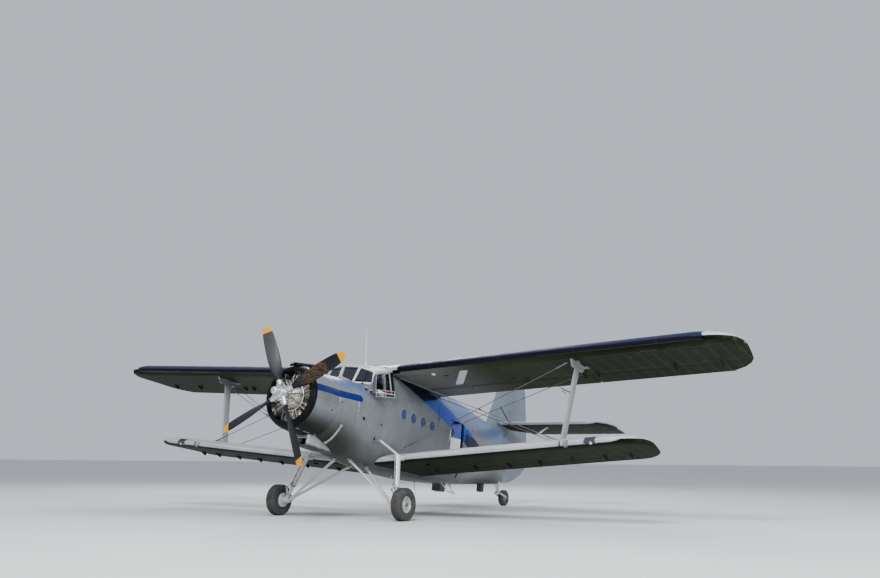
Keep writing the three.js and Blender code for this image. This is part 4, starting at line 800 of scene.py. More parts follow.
# Dark green-grey for hatches and hinges under the wings and tailplane: painted shade like the undersides
UNDERSIDE_HATCH_SHADE = panel_paint(
    "underside_hatch_lacquer", (0.020, 0.024, 0.018), (0.036, 0.040, 0.032), 0.6, 0.0, 2.0,
    coat=0.0, shine=0.12,
)
CANOPY_PAINT = canopy_paint()
COOLER_PAINT = cooler_paint()
DOOR_PAINT = door_paint()
PIPE_SHEET = panel_paint(
    "pipe_sheet", (0.34, 0.35, 0.34), (0.16, 0.165, 0.16), 0.45, 0.3, 0.09, coat=0.0, shine=0.3,
)
BRIGHT_SHEET = panel_paint("polished_sheet", (0.60, 0.62, 0.64), (0.44, 0.46, 0.48), 0.20, 0.6, 0.45)
BLADE = blade_paint()
HUB_METAL = panel_paint("wheel_lacquer", (0.52, 0.53, 0.53), (0.30, 0.30, 0.29), 0.3, 0.3, 3.0)
BRIGHT = metal("polished_metal", grey(0.72), grey(0.46), 0.18)
ENGINE = metal("engine_castings", (0.86, 0.83, 0.74), (0.52, 0.48, 0.40), 0.36, 18.0, 0.5)
WIRE_STEEL = metal("wire_steel", grey(0.15), grey(0.09), 0.5, 20.0, 0.3)
STEEL = metal("dark_steel", grey(0.20), grey(0.10), 0.35, 20.0, 0.5)
BURNT = metal("burnt_steel", (0.22, 0.15, 0.11), (0.10, 0.08, 0.07), 0.45, 16.0, 0.5)
RUBBER = rubber()
GLASS = glazing("cockpit_glass", (0.010, 0.013, 0.024), 0.72)
PORTHOLE = glazing("porthole_glass", (0.012, 0.036, 0.165), 0.86)
SILL_GLASS = glazing("sill_glass", (0.020, 0.024, 0.030), 0.14)
RED_LAMP = lamp_glass("red_lamp_glass", (0.55, 0.01, 0.01), 0.0)
GREEN_LAMP = lamp_glass("green_lamp_glass", (0.01, 0.35, 0.10), 0.0)
WHITE_LAMP = lamp_glass("white_lamp_glass", (0.85, 0.86, 0.84), 0.1)
INTERIOR = panel_paint("cabin_lacquer", (0.20, 0.235, 0.225), (0.13, 0.155, 0.15), 0.42, 0.0, 0.6)
DIAL = panel_paint("dial_black", (0.010, 0.010, 0.010), (0.022, 0.022, 0.022), 0.30, 0.0, 5.0)
LEATHER = cloth("seat_leather", (0.055, 0.032, 0.020), (0.11, 0.070, 0.045), 240.0)
BELT = cloth("belt_webbing", (0.030, 0.030, 0.028), (0.070, 0.068, 0.060), 500.0)
RIM_PAINT = panel_paint(
    "rim_lacquer", (0.195, 0.208, 0.220), (0.140, 0.152, 0.162), 0.40, 0.1, 2.0,
    coat=0.1, shine=0.2,
)
GRIP = cloth("walkway_grip", (0.020, 0.021, 0.021), (0.055, 0.055, 0.052), 300.0)
CANVAS = cloth("bench_canvas", (0.085, 0.095, 0.070), (0.15, 0.155, 0.12), 420.0)
RED_PAINT = panel_paint("red_lacquer", (0.33, 0.008, 0.012), (0.18, 0.006, 0.010), 0.26, 0.0, 3.0)


# Meshes


def new_mesh(name, points, faces, matrix=AIRFRAME):
    mesh = bpy.data.meshes.new(name)
    mesh.from_pydata([tuple(p) for p in points], [], faces)
    mesh.transform(matrix)
    return mesh


def add_piece(name, mesh, body, material, replaces=(), sharp=35.0):
    """Links a mesh as a piece that rides on a body, shaded smooth up to an edge angle."""
    tidy = bmesh.new()
    tidy.from_mesh(mesh)
    bmesh.ops.recalc_face_normals(tidy, faces=tidy.faces)
    tidy.to_mesh(mesh)
    tidy.free()
    mesh.shade_smooth()
    mesh.set_sharp_from_angle(angle=math.radians(sharp))
    mesh.materials.clear()
    mesh.materials.append(material)
    piece = bpy.data.objects.new(name, mesh)
    bpy.context.scene.collection.objects.link(piece)
    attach(piece, body)
    if replaces:
        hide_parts(*replaces)
    return piece


def add_parts(name, parts, body, material, replaces=(), sharp=35.0, matrix=AIRFRAME):
    """A piece from several shapes, each given as points and faces."""
    points, faces = joined(parts)
    mesh = new_mesh(name, points, faces, matrix)
    return add_piece(name, mesh, body, material, replaces, sharp)


def lofted(rings, closed=True):
    """Points and faces of a closed skin through rings, with flat ends."""
    count = len(rings[0])
    points = [p for ring in rings for p in ring]
    faces = []
    for r in range(len(rings) - 1):
        for i in range(count if closed else count - 1):
            a = r * count + i
            b = r * count + (i + 1) % count
            faces.append((a, b, b + count, a + count))
    if closed:
        last = (len(rings) - 1) * count
        faces.append(tuple(range(count - 1, -1, -1)))
        faces.append(tuple(last + i for i in range(count)))
    return points, faces


def turned(profile, sides, axis_point=(0.0, 0.0, 0.0), along_axis="y", closed=True):
    """Body of revolution from (radius, distance) points; a closed profile makes a ring."""
    points = []
    for turn in turns(sides):
        for radius, distance in profile:
            a, b = radius * math.cos(turn), radius * math.sin(turn)
            local = {"x": (distance, a, b), "y": (a, distance, b), "z": (a, b, distance)}[along_axis]
            points.append(tuple(c + o for c, o in zip(local, axis_point)))
    count = len(profile)
    faces = []
    for i in range(sides):
        j = (i + 1) % sides
        for k in range(count if closed else count - 1):
            m = (k + 1) % count
            faces.append((i * count + k, i * count + m, j * count + m, j * count + k))
    if not closed:
        faces.append(tuple(i * count for i in range(sides)))
        faces.append(tuple(i * count + count - 1 for i in range(sides - 1, -1, -1)))
    return points, faces


def joined(parts):
    """Several (points, faces) made one."""
    points, faces = [], []
    for part_points, part_faces in parts:
        base = len(points)
        points.extend(part_points)
        faces.extend(tuple(base + i for i in face) for face in part_faces)
    return points, faces


def at(x, y, z):
    """A point or a direction."""
    return Vector((x, y, z))


def turns(count):
    """Angles of a number of places spread evenly round a circle."""
    return [2 * math.pi * k / count for k in range(count)]


def placed(shape, matrix):
    """A shape's (points, faces) moved by a matrix."""
    points, faces = shape
    return [matrix @ Vector(p) for p in points], faces


def tube(path, radius, sides=10, radii=None):
    """Round tube along points, with flat ends."""
    path = [Vector(p) for p in path]
    rings = []
    side = None
    for i, point in enumerate(path):
        ahead = (path[min(i + 1, len(path) - 1)] - path[max(i - 1, 0)]).normalized()
        if side is None:
            side = ahead.orthogonal().normalized()
        side = (side - ahead * side.dot(ahead)).normalized()
        up = ahead.cross(side)
        r = radii[i] if radii else radius
        ring = []
        for turn in turns(sides):
            ring.append(point + side * (r * math.cos(turn)) + up * (r * math.sin(turn)))
        rings.append(ring)
    return lofted(rings)


def pin(centre, reach, radius, sides=10):
    """Short straight rod through a point, as far to each side as its reach."""
    return tube([centre - reach, centre + reach], radius, sides)


def slab(centre, size, turn=None):
    """Box with a centre and size, optionally turned by a matrix about its centre."""
    corners = []
    for dx in (-0.5, 0.5):
        for dy in (-0.5, 0.5):
            for dz in (-0.5, 0.5):
                corner = at(dx * size[0], dy * size[1], dz * size[2])
                corners.append(Vector(centre) + (turn @ corner if turn else corner))
    faces = [(0, 1, 3, 2), (4, 6, 7, 5), (0, 4, 5, 1), (2, 3, 7, 6), (0, 2, 6, 4), (1, 5, 7, 3)]
    return corners, faces


def dome(centre, outward, radius, height, sides=10, rows=3):
    """Low round head that stands on a surface."""
    outward = Vector(outward).normalized()
    side = outward.orthogonal().normalized()
    up = outward.cross(side)
    rings = []
    for k in range(rows):
        lift = math.pi / 2 * k / rows
        r, h = radius * math.cos(lift), height * math.sin(lift)
        rings.append([
            Vector(centre) + outward * h
            + side * (r * math.cos(2 * math.pi * i / sides)) + up * (r * math.sin(2 * math.pi * i / sides))
            for i in range(sides)
        ])
    return lofted(rings)


def bevelled(piece, width, segments=2, angle=30.0):
    """Rounds the piece's sharp edges for good."""
    modifier = piece.modifiers.new("edges", "BEVEL")
    modifier.width = width
    modifier.segments = segments
    modifier.limit_method = "ANGLE"
    modifier.angle_limit = math.radians(angle)
    settle(piece)
    return piece


def settle(piece):
    """Puts a piece's modifiers into its mesh."""
    shown = piece.evaluated_get(bpy.context.evaluated_depsgraph_get())
    mesh = bpy.data.meshes.new_from_object(shown)
    piece.modifiers.clear()
    piece.data = mesh
    mesh.shade_smooth()
    mesh.set_sharp_from_angle(angle=math.radians(35))


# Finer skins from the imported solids


def cut_planes(work, matrix, axis, places):
    """Cuts a mesh along planes across one axis of a frame."""
    normal = matrix.to_3x3() @ Vector([1.0 if i == axis else 0.0 for i in range(3)])
    for place in places:
        point = matrix @ Vector([place if i == axis else 0.0 for i in range(3)])
        geometry = list(work.verts) + list(work.edges) + list(work.faces)
        bmesh.ops.bisect_plane(work, geom=geometry, dist=1e-5, plane_co=point, plane_no=normal)


def stepped(start, end, step):
    count = max(1, round((end - start) / step))
    return [start + (end - start) * i / count for i in range(1, count)]


def refined(node, matrix, cuts, warp):
    """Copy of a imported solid's mesh, cut finely in a frame and moved point by point there."""
    work = bmesh.new()
    work.from_mesh(NODES[node].data)
    bmesh.ops.remove_doubles(work, verts=work.verts, dist=1e-6)
    bmesh.ops.dissolve_limit(
        work, angle_limit=math.radians(0.05), verts=work.verts, edges=work.edges,
    )
    for axis, places in cuts:
        cut_planes(work, matrix, axis, places)
    back = matrix.inverted()
    for vertex in work.verts:
        vertex.co = matrix @ warp(back @ vertex.co)
    bmesh.ops.triangulate(work, faces=[f for f in work.faces if len(f.verts) > 4])
    mesh = bpy.data.meshes.new(node + "_skin")
    work.to_mesh(mesh)
    work.free()
    return mesh


def hull_reach(row, turn):
    """Offset from the section's middle to its edge in a direction."""
    _, half, mid, top, bottom, above, below = row
    c, s = math.cos(turn), math.sin(turn)
    square = above if s >= 0 else below
    reach = top - mid if s >= 0 else mid - bottom
    return (abs(c / half) ** square + abs(s / reach) ** square) ** (-1 / square)


def hull_point(y, turn, out=0.0):
    """Point on the smooth fuselage at a station, by the angle up from port."""
    row = eased(STATIONS, y)
    reach = hull_reach(row, turn) + out
    return at(reach * math.cos(turn), y, row[2] + reach * math.sin(turn))


def section_corner(row, index):
    """Corner of the solid's section ring."""
    _, half, mid, top, bottom, above, below = row
    turn = 2 * math.pi * index / RING_SIDES
    c, s = math.cos(turn), math.sin(turn)
    square = above if s >= -1e-9 else below
    reach = top - mid if s >= -1e-9 else mid - bottom
    across = half * math.copysign(abs(c) ** (2 / square), c)
    return across, mid + reach * math.copysign(abs(s) ** (2 / square), s)


SECTION_CACHE = {}


def facet_reach(y, dx, dz, mid):
    """Distance from the middle to the solid's facet in the direction of a point."""
    key = round(y, 5)
    if key not in SECTION_CACHE:
        rows = [row for row in STATIONS if row[0] <= y] or [STATIONS[0]]
        low = rows[-1]
        high = next((row for row in STATIONS if row[0] > y), low)
        t = 0.0 if high is low else (y - low[0]) / (high[0] - low[0])
        ring = []
        for i in range(RING_SIDES):
            a, b = section_corner(low, i), section_corner(high, i)
            ring.append((lerp(a[0], b[0], t), lerp(a[1], b[1], t)))
        SECTION_CACHE[key] = ring
    ring = SECTION_CACHE[key]
    length = math.hypot(dx, dz)
    ux, uz = dx / length, dz / length
    best = None
    for i in range(RING_SIDES):
        ax, az = ring[i][0], ring[i][1] - mid
        bx, bz = ring[(i + 1) % RING_SIDES][0], ring[(i + 1) % RING_SIDES][1] - mid
        cross = ux * (bz - az) - uz * (bx - ax)
        if abs(cross) < 1e-12:
            continue
        reach = (ax * (bz - az) - az * (bx - ax)) / cross
        share = (ax * uz - az * ux) / cross
        if reach > 0 and -1e-6 <= share <= 1 + 1e-6:
            best = reach if best is None else max(best, reach)
    return best


def rounded_hull(point):
    """Moves a point of the faceted fuselage on to the smooth one."""
    y = min(max(point.y, STATIONS[0][0]), STATIONS[-1][0])
    mid = eased(STATIONS, y)[2]
    dx, dz = point.x, point.z - mid
    length = math.hypot(dx, dz)
    if length < 0.05:
        return point
    faceted = facet_reach(y, dx, dz, mid)
    if not faceted or abs(length - faceted) > 0.06:
        return point
    smooth = hull_reach(eased(STATIONS, y), math.atan2(dz, dx))
    change = smooth - faceted
    return at(point.x + change * dx / length, point.y, point.z + change * dz / length)


def dress_fuselage():
    """Smooth skins for the four fuselage sections."""
    lengths = {
        "nose_section": (COWL_BACK, 1.700),
        "cockpit_shell": (1.700, 2.914),
        "cabin_shell": (CABIN_FRONT, 7.050),
        "tail_cone": (7.050, 10.115),
    }
    for node, (start, end) in lengths.items():
        cuts = [
            (1, stepped(start, end, 0.07)),
            (0, stepped(-0.95, 0.95, 0.07)),
            (2, stepped(-1.10, 1.50, 0.07)),
        ]
        mesh = refined(node, AIRFRAME, cuts, rounded_hull)
        add_piece(node + "_skin", mesh, "airframe", FUSELAGE, [node], 28.0)


dress_fuselage()


# Wings


def half_thickness(wing, t):
    bow = 0.2969 * math.sqrt(t) - 0.126 * t - 0.3516 * t**2 + 0.2843 * t**3 - 0.1015 * t**4
    return 5 * wing["thickness"] * bow


def mean_line(wing, t):
    crest = 0.4
    if t < crest:
        return wing["camber"] / crest**2 * (2 * crest * t - t * t)
    return wing["camber"] / (1 - crest) ** 2 * (1 - 2 * crest + 2 * crest * t - t * t)


def on_facets(curve, t, steps):
    """Value of a curve drawn with straight runs between cosine-spaced stations."""
    i = min(steps - 1, int(math.acos(max(-1.0, min(1.0, 1 - 2 * t))) / math.pi * steps))
    low = (1 - math.cos(math.pi * i / steps)) / 2
    high = (1 - math.cos(math.pi * (i + 1) / steps)) / 2
    return lerp(curve(low), curve(high), (t - low) / (high - low))


def tip_shape(wing, u):
    """Share of the chord lost ahead and behind, and the thickness left, near the tip."""
    if "tip_rows" in wing:
        return along(wing["tip_rows"], u)[1:]
    rows = []
    for t in (0, 0.35, 0.62, 0.82, 0.94, 1):
        fall = 1 - math.sqrt(max(0.0, 1 - t * t))
        rows.append((wing["tip"] - wing["corner"] * (1 - t), 0.30 * fall, 0.42 * fall, 1 - 0.55 * fall))
    return along(rows, u)[1:]


def skin(wing, s, side):
    """Height of the upper (1) or lower (-1) skin at a distance behind the leading edge."""
    t = s / wing["chord"]
    return (mean_line(wing, t) + side * half_thickness(wing, t)) * wing["chord"]


def skin_on_section(wing, u, share, side, out):
    """Point on the skin at a share of the local chord, a little off it, in the wing's own frame."""
    lead, trail, scale = tip_shape(wing, u)
    whole = wing["chord"]
    chord = whole * (1 - lead - trail)
    middle = mean_line(wing, share) * chord + 0.25 * (1 - scale) * wing["camber"] * whole
    height = middle + side * scale * whole * half_thickness(wing, share)
    return at(u, lead * whole + share * chord, height + side * out)


def rib_sag(u, share):
    """Depth of the cloth between two ribs."""
    if share < 0.16:
        return 0.0
    depth = RIB_SAG * min(1.0, (share - 0.16) / 0.05, max(0.0, 0.99 - share) / 0.04)
    return depth * math.sin(math.pi * u / RIB_PITCH) ** 2


def true_wing(wing, steps=AIRFOIL_STEPS):
    """Moves points of the faceted wing skin on to the smooth section, with cloth between ribs."""

    def warp(point):
        lead, trail, scale = tip_shape(wing, abs(point.x))
        whole = wing["chord"]
        chord = whole * (1 - lead - trail)
        t = (point.y - lead * whole) / chord
        if not 0 <= t <= 1:
            return point
        lift = 0.25 * (1 - scale) * wing["camber"] * whole
        for side in (1, -1):

            def curve(x, side=side):
                return mean_line(wing, x) * chord + side * scale * whole * half_thickness(wing, x) + lift

            if abs(point.z - on_facets(curve, t, steps)) < 0.005:
                sag = rib_sag(point.x, t)
                return at(point.x, point.y, curve(t) - side * sag)
        return point

    return warp


def hinged_cloth(wing):
    """Lets the skin of a hinged surface sink between its ribs."""
    start = wing["hinge"] * wing["chord"]
    middle_start = (skin(wing, start, 1) + skin(wing, start, -1)) / 2

    def warp(point):
        share = (point.y - start) / (wing["chord"] - start)
        if share <= 0.02:
            return point
        middle = lerp(middle_start, 0.0, share)
        depth = RIB_SAG * min(1.0, (share - 0.02) / 0.2, max(0.0, 0.97 - share) / 0.2)
        sag = depth * math.sin(math.pi * point.x / RIB_PITCH) ** 2
        return at(point.x, point.y, point.z - math.copysign(sag, point.z - middle))

    return warp


def mirrored(mesh):
    """The same mesh for the starboard side."""
    copy = mesh.copy()
    copy.transform(Matrix.Diagonal((-1, 1, 1, 1)))
    copy.flip_normals()
    return copy


def dress_pair(stem, mesh, bodies, material):
    """Both sides of a refined skin; the bodies' names take the side too if they have a blank."""
    for side, shape in (("left", mesh), ("right", mirrored(mesh))):
        node = f"{stem}_{side}"
        add_piece(node + "_skin", shape, bodies.format(side), material, [node], 30.0)


def spanwise(start, end):
    first = math.ceil(start / (RIB_PITCH / 4))
    return [i * RIB_PITCH / 4 for i in range(first, int(end / (RIB_PITCH / 4)) + 1)]


def chordwise(wing, step=0.09):
    nose = [wing["chord"] * t for t in (0.0006, 0.0025, 0.006, 0.011, 0.017)]
    return nose + [wing["chord"] * 0.024 + step * i for i in range(int(wing["chord"] * 0.97 / step))]


def dress_wings():
    """Smooth, rib-quilted skins for the wings, their slats, flaps and ailerons."""
    for stem, wing, material in (("upper", UPPER, UPPER_PAINT), ("lower", LOWER, LOWER_PAINT)):
        place = wing_frame(wing)
        cuts = [(0, spanwise(0.3, wing["tip"])), (1, chordwise(wing))]
        mesh = refined(f"{stem}_wing_left", place, cuts, true_wing(wing))
        dress_pair(f"{stem}_wing", mesh, "airframe", material)
        flap = refined(f"{stem}_flap_left", place, cuts, hinged_cloth(wing))
        dress_pair(f"{stem}_flap", flap, stem + "_flap_{}", material)
    place = wing_frame(UPPER)
    cuts = [(0, spanwise(0.3, UPPER["tip"])), (1, chordwise(UPPER))]
    aileron = refined("aileron_left", place, cuts, hinged_cloth(UPPER))
    dress_pair("aileron", aileron, "aileron_{}", UPPER_PAINT)
    slat = refined(
        "slat_left", place, [(0, stepped(0.96, 8.42, 0.3)), (1, chordwise(UPPER, 0.05))], true_wing(UPPER),
    )
    dress_pair("slat", slat, "slat_{}", SLAT_PAINT)
    rings = []
    for u in [SLAT_ROOT + (SLAT_TIP - SLAT_ROOT) * k / 60 for k in range(61)]:
        over = [skin_on_section(UPPER, u, t, 1, 0.0036 * min(1.0, t / 0.04)) for t in SLAT_SHEET_SHARES]
        under = [
            skin_on_section(UPPER, u, t, 1, 0.0010 * min(1.0, t / 0.04) - 0.0004)
            for t in SLAT_SHEET_SHARES
        ]
        rings.append(over + under[::-1])
    sheet = new_mesh("slat_sheet", *lofted(rings), place)
    for word, shape in (("left", sheet), ("right", mirrored(sheet))):
        add_piece(f"slat_sheet_{word}", shape, f"slat_{word}", SLAT_PAINT)


# Cowl, engine and propeller


def around(turn, radius, y=0.0):
    """Point at an angle from straight up, towards port, on the thrust line's cylinder."""
    return at(radius * math.sin(turn), y, radius * math.cos(turn))


def dress_cowl():
    lip = [
        (0.600, 0.325), (0.588, 0.300), (0.580, 0.275), (0.578, 0.252), (0.582, 0.232), (0.592, 0.216),
        (0.606, 0.207), (0.620, 0.204), (0.636, 0.207), (0.652, 0.216), (0.667, 0.231), (0.681, 0.251),
        (0.693, 0.274), (0.703, 0.300), (0.711, 0.322), (0.717, 0.340), (0.700, 0.340), (0.640, 0.336),
    ]
    add_parts("cowl_lip_ring", [turned(lip, 128)], "airframe", BLACK, ["cowl_lip"])
    sweep = [
        (0.7175, 0.3405), (0.736, 0.450), (0.748, 0.600), (0.7515, 0.740), (0.750, 0.880), (0.745, 1.0),
        (0.738, 1.108),
    ]
    inner = [(r - 0.012, y) for r, y in reversed(sweep)]
    add_parts("cowl_panel_ring", [turned(sweep + inner, 128)], "airframe", COWL, ["cowl_panels"])
    hardware = []
    for k in range(5):
        turn = math.radians(72 * k + 90)
        for y in (0.42, 0.66, 0.78, 1.02):
            centre = around(turn, 0.748 if y > 0.5 else 0.731, y)
            outward = around(turn, 1.0)
            spin = Matrix.Rotation(turn, 3, "Y")
            hardware.append(slab(centre + outward * 0.004, (0.030, 0.085, 0.012), spin))
            hardware.append(slab(centre + outward * 0.010, (0.014, 0.060, 0.008), spin))
    for turn in turns(60):
        hardware.append(dome(around(turn, 0.7200, 0.354), around(turn, 1.0), 0.006, 0.003, 8))
        hardware.append(dome(around(turn, 0.7395, 1.092), around(turn, 1.0), 0.006, 0.003, 8))
    add_parts("cowl_latches", hardware, "airframe", RIM_PAINT)


def finned_cylinder(turn):
    """One engine cylinder with its fins, along Z before it is turned into place."""
    profile = [(0.0, 0.262), (0.098, 0.262), (0.098, 0.285)]
    for k in range(15):
        z = 0.292 + FIN_PITCH * k
        profile += [(0.080, z), (0.098, z + 0.001), (0.098, z + 0.004), (0.080, z + 0.005)]
    for k in range(12):
        z = 0.484 + FIN_PITCH * k
        reach = 0.117 - 0.0011 * k
        profile += [(0.094, z), (reach, z + 0.001), (reach, z + 0.005), (0.094, z + 0.006)]
    profile += [(0.084, 0.640), (0.060, 0.652), (0.0, 0.654)]
    upright = turned(profile, 28, (0.0, CYLINDER_Y, 0.0), "z", closed=False)
    return placed(upright, Matrix.Rotation(turn, 3, "Y"))


def build_engine():
    castings = []
    steel = []
    crankcase = [
        (0.0, 0.130), (0.088, 0.130), (0.098, 0.136), (0.104, 0.160), (0.130, 0.182), (0.150, 0.196),
        (0.182, 0.232), (0.214, 0.272), (0.240, 0.305), (0.262, 0.346), (0.278, 0.384), (0.286, 0.430),
        (0.286, 0.700), (0.335, 0.780), (0.335, 1.020), (0.300, 1.108), (0.0, 1.108),
    ]
    castings.append(turned(crankcase, 72, closed=False))
    castings.append(turned([(0.262, 0.384), (0.300, 0.384), (0.300, 0.402), (0.262, 0.402)], 72))
    castings.append(turned([(0.150, 0.214), (0.178, 0.214), (0.178, 0.228), (0.150, 0.228)], 72))
    for turn in turns(18):
        lean = Matrix.Rotation(turn, 3, "Y") @ Matrix.Rotation(math.radians(-42), 3, "X")
        castings.append(slab(around(turn, 0.200, 0.262), (0.010, 0.030, 0.150), lean))
        steel.append(dome(around(turn + 0.17, 0.222, 0.276), (0, -1, 0), 0.011, 0.016, 6))
        castings.append(tube(
            [around(turn + 0.17, 0.238, 0.330), around(turn + 0.17, 0.238, 0.286)], 0.016, 10,
        ))
    governor = [
        (0.0, 0.0), (0.044, 0.0), (0.044, 0.070), (0.034, 0.080), (0.034, 0.105), (0.016, 0.115),
        (0.0, 0.115),
    ]
    for turn, size in ((0.0, 1.0), (math.radians(150), 0.8), (math.radians(210), 0.8)):
        forward = Matrix.Translation(around(turn, 0.205, 0.290)) @ Matrix.Diagonal((1, -1, 1, 1))
        castings.append(placed(
            turned([(r * size, y * size) for r, y in governor], 20, closed=False), forward,
        ))
    for turn in (0.55, 1.25, 2.0, 3.7, 4.4, 5.6):
        pipe = [
            around(turn, 0.120, 0.165),
            around(turn + 0.05, 0.185, 0.200),
            around(turn + 0.12, 0.262, 0.300),
            around(turn + 0.14, 0.300, 0.380),
        ]
        steel.append(tube(pipe, 0.009, 8))
    for k in range(24):
        turn = 2 * math.pi * (k + 0.5) / 24
        steel.append(dome(around(turn, 0.290, 0.384), (0, -1, 0), 0.009, 0.012, 6))
        if k % 2:
            steel.append(dome(around(turn, 0.168, 0.214), (0, -1, 0), 0.008, 0.010, 6))
    for k in range(CYLINDER_COUNT):
        turn = 2 * math.pi * k / CYLINDER_COUNT
        out = around(turn, 1.0)
        side = at(out.z, 0.0, -out.x)
        castings.append(finned_cylinder(turn))
        spin = Matrix.Rotation(turn, 3, "Y")
        for sign in (1, -1):
            shift = side * (sign * 0.062)
            foot = around(turn, 0.262, CYLINDER_Y - 0.152) + shift * 0.75
            head = around(turn, 0.606, CYLINDER_Y - 0.103) + shift * 1.1
            steel.append(tube([foot, lerp(foot, head, 0.5), head], PUSH_ROD_RADIUS, 12))
            steel.append(tube([foot, lerp(foot, head, 0.06)], 0.019, 12))
            steel.append(tube([lerp(foot, head, 0.93), head], 0.018, 12))
            box = around(turn, 0.624, CYLINDER_Y - 0.074) + shift
            tilt = spin @ Matrix.Rotation(math.radians(-26), 3, "X")
            castings.append(slab(box, (0.056, 0.100, 0.060), tilt))
            castings.append(slab(box + tilt @ at(0.0, -0.006, 0.032), (0.064, 0.112, 0.010), tilt))
            for corner in ((-0.024, -0.050), (0.024, -0.050), (-0.024, 0.038), (0.024, 0.038)):
                spot = box + tilt @ at(corner[0], corner[1], 0.037)
                steel.append(dome(spot, tilt @ at(0, 0, 1), 0.005, 0.006, 6, 2))
            plug = around(turn, 0.560, CYLINDER_Y - 0.108) + shift * 0.55
            steel.append(tube([plug, plug + at(0, -0.055, 0)], 0.011, 8))
        seat = around(turn, 0.268, CYLINDER_Y)
        for spot in turns(10):
            ring = seat + side * (0.112 * math.cos(spot)) + at(0, 0.112 * math.sin(spot), 0) + out * 0.026
            steel.append(dome(ring, out, 0.007, 0.010, 6, 2))
        gap = 2 * math.pi * (k + 0.5) / CYLINDER_COUNT
        wall = Matrix.Rotation(gap, 3, "Y")
        castings.append(slab(around(gap, 0.470, CYLINDER_Y + 0.07), (0.150, 0.004, 0.320), wall))
        castings.append(slab(around(gap, 0.600, CYLINDER_Y + 0.03), (0.230, 0.004, 0.070), wall))
        path = [
            around(gap, 0.330, 0.66),
            around(gap, 0.47, 0.68),
            around(gap - 0.14, 0.56, 0.66),
            around(gap - 0.2, 0.585, 0.60),
        ]
        castings.append(tube(path, 0.030, 12))
    add_parts("engine_body", castings, "airframe", ENGINE, ["engine"], 32.0)
    add_parts("engine_rods_and_bolts", steel, "airframe", STEEL)

    leads = [turned(
        [
            (0.318 + 0.016 * math.cos(a), 0.345 + 0.016 * math.sin(a))
            for a in (k * math.pi / 6 for k in range(12))
        ],
        72,
    )]
    for turn in turns(CYLINDER_COUNT):
        for sign in (1, -1):
            start = around(turn + 0.10 * sign, 0.330, 0.342)
            end = around(turn + 0.062 * sign, 0.560, CYLINDER_Y - 0.165)
            bow = around(turn + 0.12 * sign, 0.450, 0.330)
            leads.append(tube([start, lerp(start, bow, 0.6), bow, lerp(bow, end, 0.6), end], 0.007, 8))
    add_parts("ignition_leads", leads, "airframe", ENGINE)


BLADE_STATIONS = [
    (0.120, 0.120, 0.120, 52.0),
    (0.300, 0.130, 0.115, 50.0),
    (0.560, 0.245, 0.062, 40.0),
    (0.950, 0.300, 0.036, 29.0),
    (1.350, 0.285, 0.025, 22.0),
    (1.640, 0.240, 0.017, 18.0),
    (1.765, 0.165, 0.012, 17.0),
    (1.798, 0.070, 0.008, 17.0),
]
FIRST_BLADE = math.radians(-27.2)
BLADE_COUNT = 4


def blade_ring(radius, chord, thick, pitch, sides=28):
    """Blade section: round at the root, flat-faced with a round back farther out."""
    pitch = math.radians(pitch)
    flatness = min(1.0, max(0.0, (chord - thick) / chord))
    ring = []
    for turn in turns(sides):
        across = chord / 2 * math.cos(turn)
        rise = math.sin(turn)
        deep = thick / 2 * rise * (1.0 if rise < 0 else 1.0 - 0.45 * flatness)
        ring.append(at(
            across * math.cos(pitch) - deep * math.sin(pitch),
            across * math.sin(pitch) + deep * math.cos(pitch),
            radius,
        ))
    return ring


